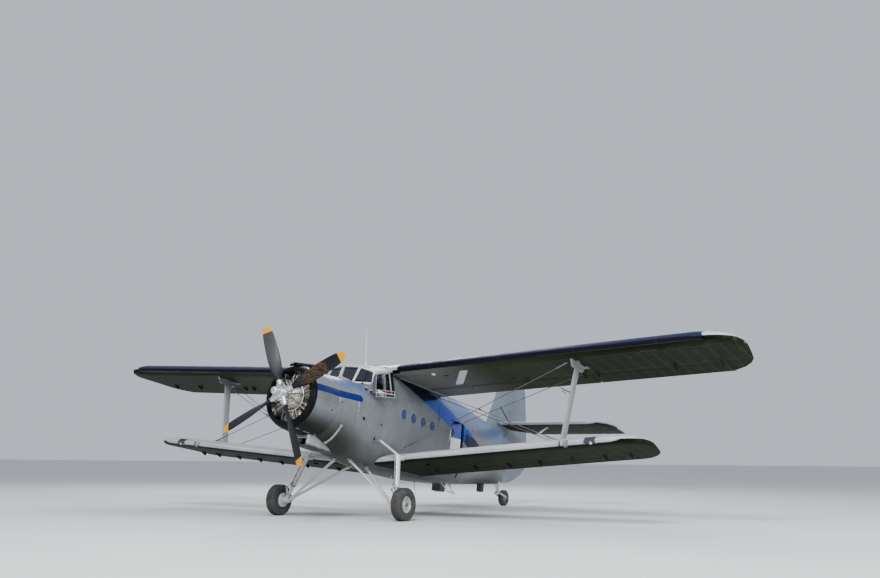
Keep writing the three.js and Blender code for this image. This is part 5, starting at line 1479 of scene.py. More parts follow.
def build_propeller():
    blades, sleeves, nuts = [], [], []
    radii = [0.120 + 0.035 * k for k in range(47)] + [1.760, 1.776, 1.788, 1.795, 1.798]
    for turn in turns(BLADE_COUNT):
        spin = Matrix.Rotation(FIRST_BLADE + turn, 3, "Y")
        rings = []
        for r in radii:
            _, chord, thick, pitch = eased(BLADE_STATIONS, r)
            rings.append([spin @ p for p in blade_ring(r, chord, thick, pitch)])
        blades.append(lofted(rings))
        sleeve = [
            (0.0, 0.105), (0.082, 0.105), (0.086, 0.110), (0.086, 0.168), (0.079, 0.174), (0.079, 0.196),
            (0.090, 0.200), (0.090, 0.232), (0.074, 0.238), (0.072, 0.262), (0.0, 0.262),
        ]
        sleeves.append(placed(turned(sleeve, 36, along_axis="z", closed=False), spin))
        for sign in (1, -1):
            ear = spin @ at(0.092 * sign, 0.0, 0.216)
            sleeves.append(slab(ear, (0.040, 0.052, 0.032), spin))
            nuts.append(tube([ear + at(0, -0.036, 0), ear + at(0, 0.036, 0)], 0.009, 6))
        weight = spin @ at(0.060, -0.080, 0.150)
        sleeves.append(slab(weight, (0.070, 0.050, 0.060), spin))
    barrel = [
        (0.0, -0.070), (0.140, -0.070), (0.158, -0.064), (0.170, -0.050), (0.172, 0.0), (0.170, 0.055),
        (0.158, 0.068), (0.0, 0.070),
    ]
    sleeves.append(turned(barrel, 64, closed=False))
    sleeves.append(turned([(0.166, -0.012), (0.178, -0.012), (0.178, 0.012), (0.166, 0.012)], 64))
    for k in range(16):
        turn = math.radians(22.5 * k) + FIRST_BLADE + math.radians(11.25)
        nuts.append(dome(around(turn, 0.150, -0.068), (0, -1, 0), 0.010, 0.014, 6))
    add_parts("blades", blades, "propeller", BLADE, ["propeller_blades"])
    add_parts("hub_clamps", sleeves, "propeller", BRIGHT)
    add_parts("hub_nuts", nuts, "propeller", STEEL)
    cap = [
        (0.0, -0.330), (0.030, -0.329), (0.052, -0.324), (0.070, -0.312), (0.082, -0.294), (0.088, -0.270),
        (0.092, -0.200), (0.093, -0.165), (0.098, -0.155), (0.114, -0.146), (0.124, -0.132),
        (0.125, -0.0705), (0.0, -0.0705),
    ]
    shells = [turned(cap, 56, closed=False)]
    shells.append(turned([(0.090, -0.222), (0.099, -0.222), (0.099, -0.206), (0.090, -0.206)], 56))
    shells.append(turned([(0.0, 0.0705), (0.110, 0.0705), (0.110, 0.120), (0.0, 0.120)], 48, closed=False))
    for turn in turns(10):
        shells.append(dome(around(turn, 0.110, -0.146), (0, -1, 0.0), 0.007, 0.010, 6))
    add_parts(
        "propeller_cap", shells, "propeller", BRIGHT, ["propeller_dome", "propeller_flange"],
    )


# Wheels


MAIN_WHEEL = {"radius": 0.3705, "width": 0.246, "rim": 0.195, "bore": 0.046, "grooves": 6}
TAIL_WHEEL = {"radius": 0.2335, "width": 0.148, "rim": 0.105, "bore": 0.024, "grooves": 4}
GROOVE_DEPTH = 0.006


def wheel(tyre_node, hub_node, body, centre, radius, width, rim, bore, grooves):
    """Tyre with tread grooves and side rings, and a wheel with bolts, ribs and a valve."""
    half = width / 2
    tread = []
    for k in range(grooves):
        middle = lerp(-0.55, 0.55, k / (grooves - 1)) * half
        edge = radius - 0.004 * abs(middle / half)
        tread += [
            (edge, middle - 0.010), (edge - GROOVE_DEPTH, middle - 0.006),
            (edge - GROOVE_DEPTH, middle + 0.006), (edge, middle + 0.010),
        ]
    left = [
        (rim - 0.012, -half * 0.70), (rim + 0.004, -half * 0.90), (rim + 0.022, -half * 0.97),
        (lerp(rim, radius, 0.36), -half * 0.99), (lerp(rim, radius, 0.42), -half * 1.012),
        (lerp(rim, radius, 0.48), -half * 0.99),
        (radius * 0.86, -half * 0.985), (radius * 0.92, -half * 0.93), (radius * 0.965, -half * 0.83),
        (radius * 0.99, -half * 0.70),
    ]
    right = [(r, -y) for r, y in reversed(left)]
    tyre = turned(left + tread + right, 96, centre, "x")
    add_parts(tyre_node + "_tread", [tyre], body, RUBBER, [tyre_node], matrix=GROUND)
    face = [
        (bore, -half * 0.66), (rim * 0.30, -half * 0.66), (rim * 0.34, -half * 0.60),
        (rim * 0.50, -half * 0.50),
        (rim * 0.68, -half * 0.36), (rim * 0.84, -half * 0.42), (rim * 0.90, -half * 0.62),
        (rim * 0.99, -half * 0.74),
        (rim * 1.045, -half * 0.92), (rim * 1.06, -half * 0.90), (rim * 1.01, -half * 0.68),
    ]
    other = [(r, -y) for r, y in reversed(face)]
    shells = [turned(face + other, 72, centre, "x")]
    for side in (-1, 1):
        for turn in turns(8):
            out = at(0, math.cos(turn), math.sin(turn))
            spot = Vector(centre) + at(side * half * 0.44, 0, 0) + out * rim * 0.60
            shells.append(dome(spot, (side, 0, 0), rim * 0.055, rim * 0.07, 6, 2))
            spin = Matrix.Rotation(turn + math.pi / 8, 3, "X")
            web = Vector(centre) + spin @ at(side * half * 0.46, rim * 0.55, 0)
            shells.append(slab(web, (half * 0.24, rim * 0.42, rim * 0.05), spin))
    add_parts(hub_node + "_rim", shells, body, HUB_METAL, [hub_node], matrix=GROUND)
    cap_shells = []
    for side in (-1, 1):
        x = centre[0] + side * half * 0.66
        cap = [
            (0.0, side * 0.030), (rim * 0.16, side * 0.028), (rim * 0.24, side * 0.014),
            (rim * 0.27, 0.0), (0.0, 0.0),
        ]
        cap_shells.append(turned(cap, 32, (x, centre[1], centre[2]), "x", closed=False))
        valve = at(centre[0] + side * half * 0.58, centre[1] + rim * 0.86, centre[2])
        cap_shells.append(tube([valve, valve + at(side * 0.030, 0, 0)], 0.005, 8))
    add_parts(hub_node + "_caps", cap_shells, body, STEEL, matrix=GROUND)


def build_wheels():
    for side in ("left", "right"):
        low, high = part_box(f"tyre_{side}")
        centre = (low + high) / 2
        pivot = Vector(JOINTS[f"wheel_{side}_spin"]["pos_m"])
        place = (centre.x, pivot.y, pivot.z)
        wheel(f"tyre_{side}", f"wheel_hub_{side}", f"wheel_{side}", place, **MAIN_WHEEL)
    pivot = Vector(JOINTS["tail_wheel_spin"]["pos_m"])
    wheel("tail_tyre", "tail_wheel_hub", "tail_wheel", tuple(pivot), **TAIL_WHEEL)


# Canopy and cockpit

# Corners on the port side: roof edge and foot of the windscreen panes, then the side bulge
SCREEN_TOP = [(0.0, 1.990, 1.180), (0.440, 2.070, 1.155), (0.775, 2.225, 1.062)]
SCREEN_FOOT = [(0.0, 1.895, 0.868), (0.430, 1.866, 0.715), (0.835, 2.125, 0.735)]
BULGE = [(0.785, 2.248, 1.036), (0.790, 2.896, 1.228), (0.975, 2.896, 0.625), (0.975, 2.088, 0.480)]
ROOF_PANE = [(0.060, 2.110, 1.215), (0.400, 2.150, 1.190), (0.400, 2.520, 1.275), (0.060, 2.520, 1.320)]


def screen_panes():
    """Corner loops of the panes on the port side, with the width of frame round each."""
    a, b, c, d = (Vector(p) for p in BULGE)
    tops = [Vector(p) for p in SCREEN_TOP]
    feet = [Vector(p) for p in SCREEN_FOOT]
    return [
        ([feet[0], feet[1], tops[1], tops[0]], 0.042),
        ([feet[1], feet[2], tops[2], tops[1]], 0.042),
        ([a, lerp(a, b, 0.5), lerp(d, c, 0.5), d], 0.052),
        ([lerp(a, b, 0.5), b, c, lerp(d, c, 0.5)], 0.052),
        ([Vector(p) for p in ROOF_PANE], 0.010),
    ]


def outward_normal(corners):
    normal = (corners[2] - corners[0]).cross(corners[3] - corners[1]).normalized()
    middle = sum(corners, Vector()) / 4
    return normal if normal.dot(middle - at(0.0, 2.5, 0.5)) > 0 else -normal


def frame_strip(corners, margin, width, height):
    """Raised strip round a pane, mitred at its corners."""
    middle = sum(corners, Vector()) / len(corners)
    normal = outward_normal(corners)
    rings = []
    for corner in corners:
        out = corner - middle
        inner = middle + out * (1 - (margin - 0.004) / out.length)
        outer = middle + out * (1 - (margin - 0.004 - width) / out.length)
        rings.append([
            inner + normal * 0.001,
            inner + normal * height,
            outer + normal * height,
            outer + normal * 0.001,
        ])
    count = len(rings)
    points = [p for ring in rings for p in ring]
    faces = []
    for i in range(count):
        j = (i + 1) % count
        for k in range(4):
            m = (k + 1) % 4
            faces.append((i * 4 + k, i * 4 + m, j * 4 + m, j * 4 + k))
    return points, faces


def bulge_band(front, rear, height):
    """Raised band down the port bulge, between two shares of its length."""
    a, b, c, d = (Vector(p) for p in BULGE)
    normal = outward_normal([a, b, c, d])
    rings = []
    for down in (0.03, 0.25, 0.50, 0.75, 0.97):
        edges = [lerp(lerp(a, b, t), lerp(d, c, t), down) for t in (front, rear)]
        rings.append([
            edges[0] + normal * 0.001, edges[0] + normal * height,
            edges[1] + normal * height, edges[1] + normal * 0.001,
        ])
    return lofted(rings)


def both_sides(parts):
    """The parts and their mirror images."""
    return parts + [placed(part, Matrix.Diagonal((-1, 1, 1))) for part in parts]


def build_canopy_trim():
    strips, side_strips, screws, wipers = [], [], [], []
    for i, (corners, margin) in enumerate(screen_panes()):
        group = side_strips if i in (2, 3) else strips
        group.append(frame_strip(corners, margin, 0.020, 0.006))
        middle = sum(corners, Vector()) / 4
        normal = outward_normal(corners)
        drawn = [middle + (c - middle) * (1 - (margin - 0.014) / (c - middle).length) for c in corners]
        for start, end in zip(drawn, drawn[1:] + drawn[:1]):
            count = max(2, int((end - start).length / 0.055))
            for k in range(count):
                screws.append(dome(
                    lerp(start, end, (k + 0.5) / count) + normal * 0.006, normal, 0.0045, 0.003, 6, 2,
                ))
    front, normal = screen_panes()[1][0], outward_normal(screen_panes()[1][0])
    foot = lerp(front[0], front[1], 0.5) + normal * 0.012 + at(0, 0, -0.02)
    tip = lerp(front[0], front[2], 0.62) + normal * 0.022
    wipers.append(tube([foot, foot + normal * 0.03, lerp(foot, tip, 0.9) + normal * 0.012, tip], 0.0045, 8))
    blade = (front[3] - front[0]).normalized()
    wipers.append(pin(tip, blade * 0.13, 0.006, 6))
    wipers.append(tube([foot - normal * 0.02, foot + normal * 0.035], 0.014, 10))
    a, b, c, d = (Vector(p) for p in BULGE)
    rail_top = [lerp(a, b, t) + at(0.012, 0, -0.004) for t in (0.03, 0.5, 0.97)]
    rail_low = [lerp(d, c, t) + at(0.010, 0, 0.020) for t in (0.03, 0.5, 0.97)]
    strips.append(tube(rail_top, 0.008, 8))
    strips.append(tube(rail_low, 0.009, 8))
    handle = lerp(lerp(a, b, 0.46), lerp(d, c, 0.46), 0.55)
    wipers.append(tube(
        [handle, handle + at(0.03, 0, 0), handle + at(0.03, 0, -0.09), handle + at(0.005, 0, -0.09)],
        0.005,
        8,
    ))
    gutter = [
        at(0.10, 2.02, 1.196),
        at(0.45, 2.095, 1.170),
        at(0.775, 2.250, 1.078),
        at(0.795, 2.560, 1.158),
        at(0.798, 2.900, 1.250),
    ]
    strips.append(tube(gutter, 0.009, 8))
    add_parts("canopy_strips", both_sides(strips), "airframe", WHITE)
    side_strips.append(bulge_band(0.775, 0.835, 0.008))
    add_parts("side_window_strips", both_sides(side_strips), "airframe", STRUT_GREY)
    # Black band down the rear of each bulge: painted shade where the bulge meets the cabin
    add_parts(
        "side_window_seals", both_sides([bulge_band(0.842, 0.992, 0.009)]), "airframe", BLACK,
    )
    add_parts("canopy_screws", both_sides(screws), "airframe", BRIGHT)
    add_parts("wipers_and_handles", both_sides(wipers), "airframe", BLACK)


CLOTH_CELL = 0.011
CLOTH_PRESSURE = 4.0
CLOTH_FRAMES = 20
PIPING_RADIUS = 0.005
SEAM_HALF_WIDTH = 0.007
SEAM_DEPTH = 0.010


def cushion(name, size, bow, seams):
    """Stuffed pad: a crowned box blown up as cloth, with piping round it and sewn channels."""
    half = [v / 2 for v in size]
    work = bmesh.new()
    bmesh.ops.create_cube(work, size=1.0)
    bmesh.ops.subdivide_edges(work, edges=work.edges, cuts=11, use_grid_fill=True)
    for vertex in work.verts:
        x, y, z = (2 * c for c in vertex.co)
        crown = (1 - x * x) * (1 - y * y)
        pinch = 1 - 0.05 * (1 - z * z)
        vertex.co = at(x * half[0] * pinch, y * half[1] * pinch, z * half[2] * (0.86 + 0.14 * crown))
    mesh = bpy.data.meshes.new(name)
    work.to_mesh(mesh)
    work.free()
    pad = bpy.data.objects.new(name, mesh)
    bpy.context.scene.collection.objects.link(pad)
    rounding = pad.modifiers.new("round", "BEVEL")
    rounding.width = 0.022
    rounding.segments = 3
    settle(pad)
    blow_up(pad, bow)
    for vertex in pad.data.vertices:
        x, y = vertex.co.x / half[0], vertex.co.y / half[1]
        if vertex.co.z > 0.2 * half[2]:
            groove = max(math.exp(-((x - line) * half[0] / SEAM_HALF_WIDTH) ** 2) for line in seams)
            edge = max(0.0, 1 - max(abs(x), abs(y)) ** 6)
            vertex.co.z -= SEAM_DEPTH * groove * edge
    loop = []
    for turn in turns(64):
        square = (abs(math.cos(turn)) ** 7 + abs(math.sin(turn)) ** 7) ** (-1 / 7)
        loop.append(at(
            math.cos(turn) * square * half[0] * 0.965,
            math.sin(turn) * square * half[1] * 0.965,
            half[2] * 0.62,
        ))
    return pad, loop


def blow_up(pad, bow):
    """Cloth pressure on a slightly small, evenly meshed shape, with a cap on how far it moves."""
    even = pad.modifiers.new("even", "REMESH")
    even.mode = "VOXEL"
    even.voxel_size = CLOTH_CELL
    settle(pad)
    rest = [vertex.co.copy() for vertex in pad.data.vertices]
    cloth_modifier = pad.modifiers.new("stuffing", "CLOTH")
    settings = cloth_modifier.settings
    settings.use_pressure = True
    settings.uniform_pressure_force = CLOTH_PRESSURE
    settings.tension_stiffness = 18.0
    settings.bending_stiffness = 1.5
    settings.effector_weights.gravity = 0.0
    for step in range(1, CLOTH_FRAMES + 1):
        bpy.context.scene.frame_set(step)
    shown = pad.evaluated_get(bpy.context.evaluated_depsgraph_get())
    blown = [vertex.co.copy() for vertex in shown.data.vertices]
    pad.modifiers.clear()
    for vertex, start, end in zip(pad.data.vertices, rest, blown):
        move = end - start
        reach = move.length
        vertex.co = start + (move * (min(reach, bow) / reach) if reach > 1e-9 else move)
    bpy.context.scene.frame_set(1)


def place_cushion(pad, loop, matrix, material, thread):
    """Moves a cushion into place with its piping."""
    pad.data.transform(matrix)
    pad.data.shade_smooth()
    pad.data.materials.clear()
    pad.data.materials.append(material)
    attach(pad, "airframe")
    piping = tube([matrix @ p for p in loop + loop[:1]], PIPING_RADIUS, 8)
    add_parts(pad.name + "_piping", [piping], "airframe", thread, matrix=GROUND)


def build_pilot_seats():
    """Two padded seats on sheet-metal pans, with arm rests, belts and a rail below each."""
    for side, x in (("left", 0.420), ("right", -0.420)):
        shells = []
        outline = [
            (-0.205, -0.025), (-0.222, 0.045), (-0.212, 0.045), (-0.197, -0.012), (0.197, -0.012),
            (0.212, 0.045), (0.222, 0.045), (0.205, -0.025),
        ]
        rings = [[at(x + a, y, b) for a, b in outline] for y in (2.335, 2.45, 2.60, 2.725)]
        shells.append(lofted(rings))
        back = [
            (-0.195, 0.0), (-0.215, -0.050), (-0.205, -0.052), (-0.187, -0.012), (0.187, -0.012),
            (0.205, -0.052), (0.215, -0.050), (0.195, 0.0),
        ]
        rings = []
        for k in range(9):
            t = k / 8
            narrow = 1 - 0.22 * max(0.0, t - 0.55) / 0.45
            rings.append([at(x + a * narrow, 2.785 + b + 0.02 * t, lerp(-0.02, 0.700, t)) for a, b in back])
        shells.append(lofted(rings))
        for sign in (-1, 1):
            shells.append(slab((x + sign * 0.150, 2.53, -0.20), (0.030, 0.30, 0.340)))
            shells.append(slab((x + sign * 0.150, 2.53, -0.366), (0.060, 0.52, 0.022)))
            arm = [
                at(x + sign * 0.235, 2.755, 0.26),
                at(x + sign * 0.238, 2.62, 0.275),
                at(x + sign * 0.238, 2.43, 0.270),
            ]
            shells.append(tube(arm, 0.016, 12))
            shells.append(tube(
                [at(x + sign * 0.222, 2.75, 0.03), at(x + sign * 0.230, 2.60, 0.265)], 0.010, 8,
            ))
        shells.append(tube([at(x - 0.15, 2.40, -0.16), at(x + 0.15, 2.40, -0.16)], 0.012, 10))
        add_parts(f"seat_pan_{side}", shells, "airframe", INTERIOR, [f"pilot_seat_{side}"])
        pads = [
            (
                "seat_cushion",
                (0.40, 0.375, 0.088),
                (-0.34, 0.34),
                Matrix.Translation((x, 2.525, 0.040)) @ Matrix.Rotation(math.radians(4), 4, "X"),
            ),
            (
                "seat_back", (0.37, 0.500, 0.072), (-0.55, 0.0, 0.55),
                Matrix.Translation((x, 2.742, 0.385)) @ Matrix.Rotation(math.radians(87), 4, "X"),
            ),
            (
                "head_rest", (0.25, 0.150, 0.060), (0.0,),
                Matrix.Translation((x, 2.752, 0.735)) @ Matrix.Rotation(math.radians(87), 4, "X"),
            ),
        ]
        for part, size, seams, place in pads:
            pad, loop = cushion(f"{part}_{side}", size, 0.024, seams)
            place_cushion(pad, loop, AIRFRAME @ place, LEATHER, BELT)
        belts = []
        for sign in (-1, 1):
            path = [
                at(x + sign * 0.20, 2.69, 0.06),
                at(x + sign * 0.15, 2.60, 0.115),
                at(x + sign * 0.05, 2.50, 0.122),
                at(x + sign * 0.015, 2.44, 0.118),
            ]
            for low, high in zip(path, path[1:]):
                middle, run = (low + high) / 2, high - low
                turn = run.to_track_quat("Y", "Z").to_matrix()
                belts.append(slab(middle, (0.045, run.length * 1.06, 0.004), turn))
        belts.append(slab((x, 2.44, 0.124), (0.060, 0.048, 0.014)))
        add_parts(f"belts_{side}", belts, "airframe", BELT)


# Aft faces on the panel
RIM_FACE = 2.0252
DIAL_FACE = 2.0253
NEEDLE_PLANE = 2.0315
STICK_OUT = 0.42


def build_cockpit_fittings():
    """Dials, coaming, wheels on columns, pedals and levers."""
    cases, needles, sticks, rims = [], [], [], []
    rows = [
        (0.615, 0.060, (-0.53, -0.39, -0.25, -0.10, 0.10, 0.25, 0.39, 0.53)),
        (0.470, 0.048, (-0.54, -0.42, -0.30, -0.18, -0.06, 0.06, 0.18, 0.30, 0.42, 0.54)),
        (0.370, 0.032, (-0.50, -0.38, -0.26, 0.26, 0.38, 0.50)),
    ]
    for z, radius, places in rows:
        for i, x in enumerate(places):
            rim = [
                (radius * 0.84, 0.0), (radius * 0.84, 0.010), (radius * 0.97, 0.012), (radius, 0.006),
                (radius, 0.0),
            ]
            rims.append(turned(rim, 28, (x, RIM_FACE, z)))
            cases.append(turned(
                [(0.0, 0.0), (radius * 0.84, 0.0), (radius * 0.84, 0.004), (0.0, 0.004)], 28,
                (x, DIAL_FACE, z), closed=False,
            ))
            turn = 1.9 * i + 20 * z
            tip = at(math.sin(turn), 0, math.cos(turn)) * radius * 0.68
            base = at(x, NEEDLE_PLANE, z)
            needles.append(tube([base - tip * 0.25, base, base + tip], 0.002, 5, [0.0024, 0.0022, 0.0006]))
            for spot in turns(12):
                out = at(math.sin(spot), 0, math.cos(spot))
                needles.append(slab(
                    base + out * radius * 0.74, (0.0018, 0.001, 0.008), Matrix.Rotation(spot, 3, "Y"),
                ))
    for side in (-1, 1):
        x = STICK_OUT * side
        column = [at(x, 2.07, -0.37), at(x, 2.14, -0.02), at(x, 2.17, 0.21)]
        sticks.append(tube(column, 0.022, 14))
        sticks.append(tube([column[2], column[2] + at(0, 0.055, 0.01)], 0.030, 14))
        for low, high in ((25, 155), (205, 335)):
            path = []
            for k in range(11):
                turn = math.radians(lerp(low, high, k / 10))
                path.append(column[2] + at(0.150 * math.sin(turn), 0.055, 0.150 * math.cos(turn) * 0.86))
            sticks.append(tube(path, 0.012, 10))
        for turn in (90, 270):
            out = at(math.sin(math.radians(turn)), 0, 0) * 0.148
            hub = column[2] + at(0, 0.050, 0)
            sticks.append(tube([hub, hub + out], 0.010, 8))
        for dx in (-0.10, 0.10):
            cases.append(slab(
                (x + dx, 1.98, -0.26), (0.075, 0.022, 0.16), Matrix.Rotation(math.radians(-20), 3, "X"),
            ))
            sticks.append(tube([at(x + dx, 1.99, -0.24), at(x + dx, 1.90, -0.365)], 0.010, 8))
    for k, x in enumerate((-0.09, -0.045, 0.0, 0.045, 0.09)):
        foot = at(x, 2.12, 0.385)
        tip = foot + at(0, 0.05 + 0.012 * (k % 3), 0.12)
        sticks.append(tube([foot, tip], 0.006, 8))
        cases.append(dome(tip, (0, 0.3, 1), 0.016, 0.022, 12, 4))
    coaming = []
    for k in range(13):
        x = lerp(-0.64, 0.64, k / 12)
        lift = 0.715 + 0.030 * (1 - (x / 0.64) ** 2)
        coaming.append([
            at(x, 1.975, lift - 0.018),
            at(x, 2.085, lift - 0.030),
            at(x, 2.092, lift - 0.012),
            at(x, 1.975, lift),
        ])
    cases.append(lofted(coaming))
    add_parts("dials_and_coaming", cases, "airframe", DIAL)
    add_parts("dial_needles", needles, "airframe", WHITE)
    add_parts("dial_rims", rims, "airframe", BRIGHT)
    add_parts("control_wheels", sticks, "airframe", BLACK)


def sill_point(share, lift, out):
    """Point by the foot of the port bulge: share of its length, height over its edge, distance out."""
    foot = lerp(Vector(BULGE[3]), Vector(BULGE[2]), share)
    return foot + at(out - 0.25 * max(0.0, lift), 0.0, lift)


def build_sill_windows():
    """Lower row of panes along the foot of each bulge, with the map case and bottle behind it."""
    rings = [
        [
            sill_point(share, lift, out)
            for lift, out in ((0.094, 0.012), (-0.056, 0.010), (-0.056, 0.006), (0.094, 0.008))
        ]
        for share in (0.05, 0.50, 0.95)
    ]
    add_parts("sill_panes", both_sides([lofted(rings)]), "airframe", SILL_GLASS)
    strips = []
    for lift, radius in ((0.098, 0.010), (-0.062, 0.010)):
        strips.append(tube([sill_point(share, lift, 0.008) for share in (0.03, 0.50, 0.97)], radius, 10))
    for share in (0.04, 0.50, 0.96):
        strips.append(tube([sill_point(share, lift, 0.008) for lift in (-0.062, 0.020, 0.098)], 0.009, 10))
    add_parts("sill_strips", both_sides(strips), "airframe", STRUT_GREY)
    rings = []
    for k in range(13):
        y = lerp(2.070, 2.900, k / 12)
        levels = [lerp(0.270, 0.445, j / 6) for j in range(7)]
        frame_side = lerp(0.856, 0.908, (y - 2.298) / 0.537)
        outer = [
            at(max(side_x(y, z, 0.001), lerp(side_x(y, z), frame_side, min(1.0, (z - 0.27) / 0.16))), y, z)
            for z in levels
        ]
        rings.append(outer + [p - at(0.012, 0, 0) for p in reversed(outer)])
    add_parts("canopy_foot_plates", both_sides([lofted(rings)]), "airframe", FUSELAGE)
    scoops, mouths = [], []
    for place in (at(0.720, 2.051, 0.600), at(0.835, 2.100, 0.545)):
        scoops.append(dome(place + at(0, 0.006, 0.006), (0.54, -0.83, 0.15), 0.034, 0.048, 18, 5))
        # Black domes in the scoops' mouths stand for their shaded insides: painted shade
        mouths.append(dome(place + at(0.026, -0.030, -0.016), (0.54, -0.80, -0.25), 0.026, 0.014, 16, 3))
    add_parts("apron_scoops", both_sides(scoops), "airframe", STRUT_GREY)
    add_parts("apron_scoop_mouths", both_sides(mouths), "airframe", BLACK)
    case = slab(sill_point(0.28, 0.022, -0.004), (0.014, 0.250, 0.104))
    piece = add_piece("map_case", new_mesh("case", *case), "airframe", WHITE_CASE)
    bevelled(piece, 0.004, 2)
    bottle = [
        (0.0, -0.120), (0.024, -0.116), (0.032, -0.100), (0.032, 0.080), (0.024, 0.105), (0.010, 0.115),
        (0.010, 0.135), (0.0, 0.135),
    ]
    place = Matrix.Translation(sill_point(0.62, 0.045, -0.004)) @ Matrix.Diagonal((0.30, 1, 1.55, 1))
    bottle = placed(turned(bottle, 28, closed=False), place)
    add_parts("fire_bottle", [bottle], "airframe", RED_PAINT)


# Cabin


def build_portholes():
    """Round panes in riveted rims, a little outside the skin, on both sides."""
    for word, side in SIDES:
        panes, rims, bolts = [], [], []
        for y in WINDOW_STATIONS:
            row = eased(STATIONS, y)
            reach = WINDOW_HEIGHT - row[2]
            up = row[3] - row[2]
            x = row[1] * (1 - abs(reach / up) ** row[5]) ** (1 / row[5])
            r = WINDOW_RADIUS
            rim = [
                (r - 0.012, -0.020), (r - 0.014, 0.004), (r - 0.006, 0.010), (r + 0.018, 0.009),
                (r + 0.028, 0.003), (r + 0.028, -0.004), (r - 0.002, -0.004), (r - 0.002, -0.020),
            ]
            centre = (side * x, y, WINDOW_HEIGHT)
            profile = [(radius, side * depth) for radius, depth in rim]
            rims.append(turned(profile, 48, centre, "x"))
            glass = [
                (0.0, -0.010), (r - 0.003, -0.010), (r - 0.003, -0.004), (r * 0.6, 0.004),
                (r * 0.3, 0.007), (0.0, 0.008),
            ]
            panes.append(turned(
                [(radius, side * depth) for radius, depth in glass], 48, centre, "x", closed=False,
            ))
            for turn in turns(RIM_BOLTS):
                spot = Vector(centre) + at(
                    side * 0.009, (r + 0.008) * math.cos(turn), (r + 0.008) * math.sin(turn),
                )
                bolts.append(dome(spot, (side, 0, 0), 0.005, 0.003, 6, 2))
        add_parts(f"porthole_panes_{word}", panes, "airframe", PORTHOLE, [f"window_strip_{word}"])
        add_parts(f"porthole_rims_{word}", rims, "airframe", RIM_PAINT)
        add_parts(f"porthole_bolts_{word}", bolts, "airframe", BRIGHT)


DOOR_FRONT, DOOR_REAR, DOOR_LOW, DOOR_TOP = 5.750, 6.450, -0.748, 0.690
DOOR_HINGE = at(0.640, 6.441, 0.0)
DOOR_OPEN = math.radians(28)
# Front, rear, foot and top
FREIGHT_DOOR = (5.08, 6.72, -0.795, 0.900)


def side_x(y, z, out=0.0):
    """How far out the fuselage side lies at a station and height."""
    row = eased(STATIONS, y)
    above = z >= row[2]
    reach = (row[3] - row[2]) if above else (row[2] - row[4])
    square = row[5] if above else row[6]
    return row[1] * max(0.0, 1 - abs((z - row[2]) / reach) ** square) ** (1 / square) + out


def side_strip(path, width, out, depth=0.02):
    """Flat strip that follows the port side along (y, z) points."""
    rings = []
    for i, (y, z) in enumerate(path):
        before, after = path[max(i - 1, 0)], path[min(i + 1, len(path) - 1)]
        run = Vector((after[0] - before[0], after[1] - before[1])).normalized()
        across = Vector((-run.y, run.x)) * width / 2
        ring = []
        for sign, lift in ((-1, out - depth), (-1, out), (1, out), (1, out - depth)):
            yy, zz = y + sign * across.x, z + sign * across.y
            ring.append(at(side_x(yy, zz, lift), yy, zz))
        rings.append(ring)
    return lofted(rings)


def run_of(start, end, step=0.08):
    count = max(1, round(math.dist(start, end) / step))
    return [
        (lerp(start[0], end[0], k / count), lerp(start[1], end[1], k / count))
        for k in range(count + 1)
    ]


def four_sides(front, rear, low, top):
    """Edges of an upright rectangle, as pairs of (y, z) corners."""
    corners = [(front, low), (front, top), (rear, top), (rear, low)]
    return list(zip(corners, corners[1:] + corners[:1]))


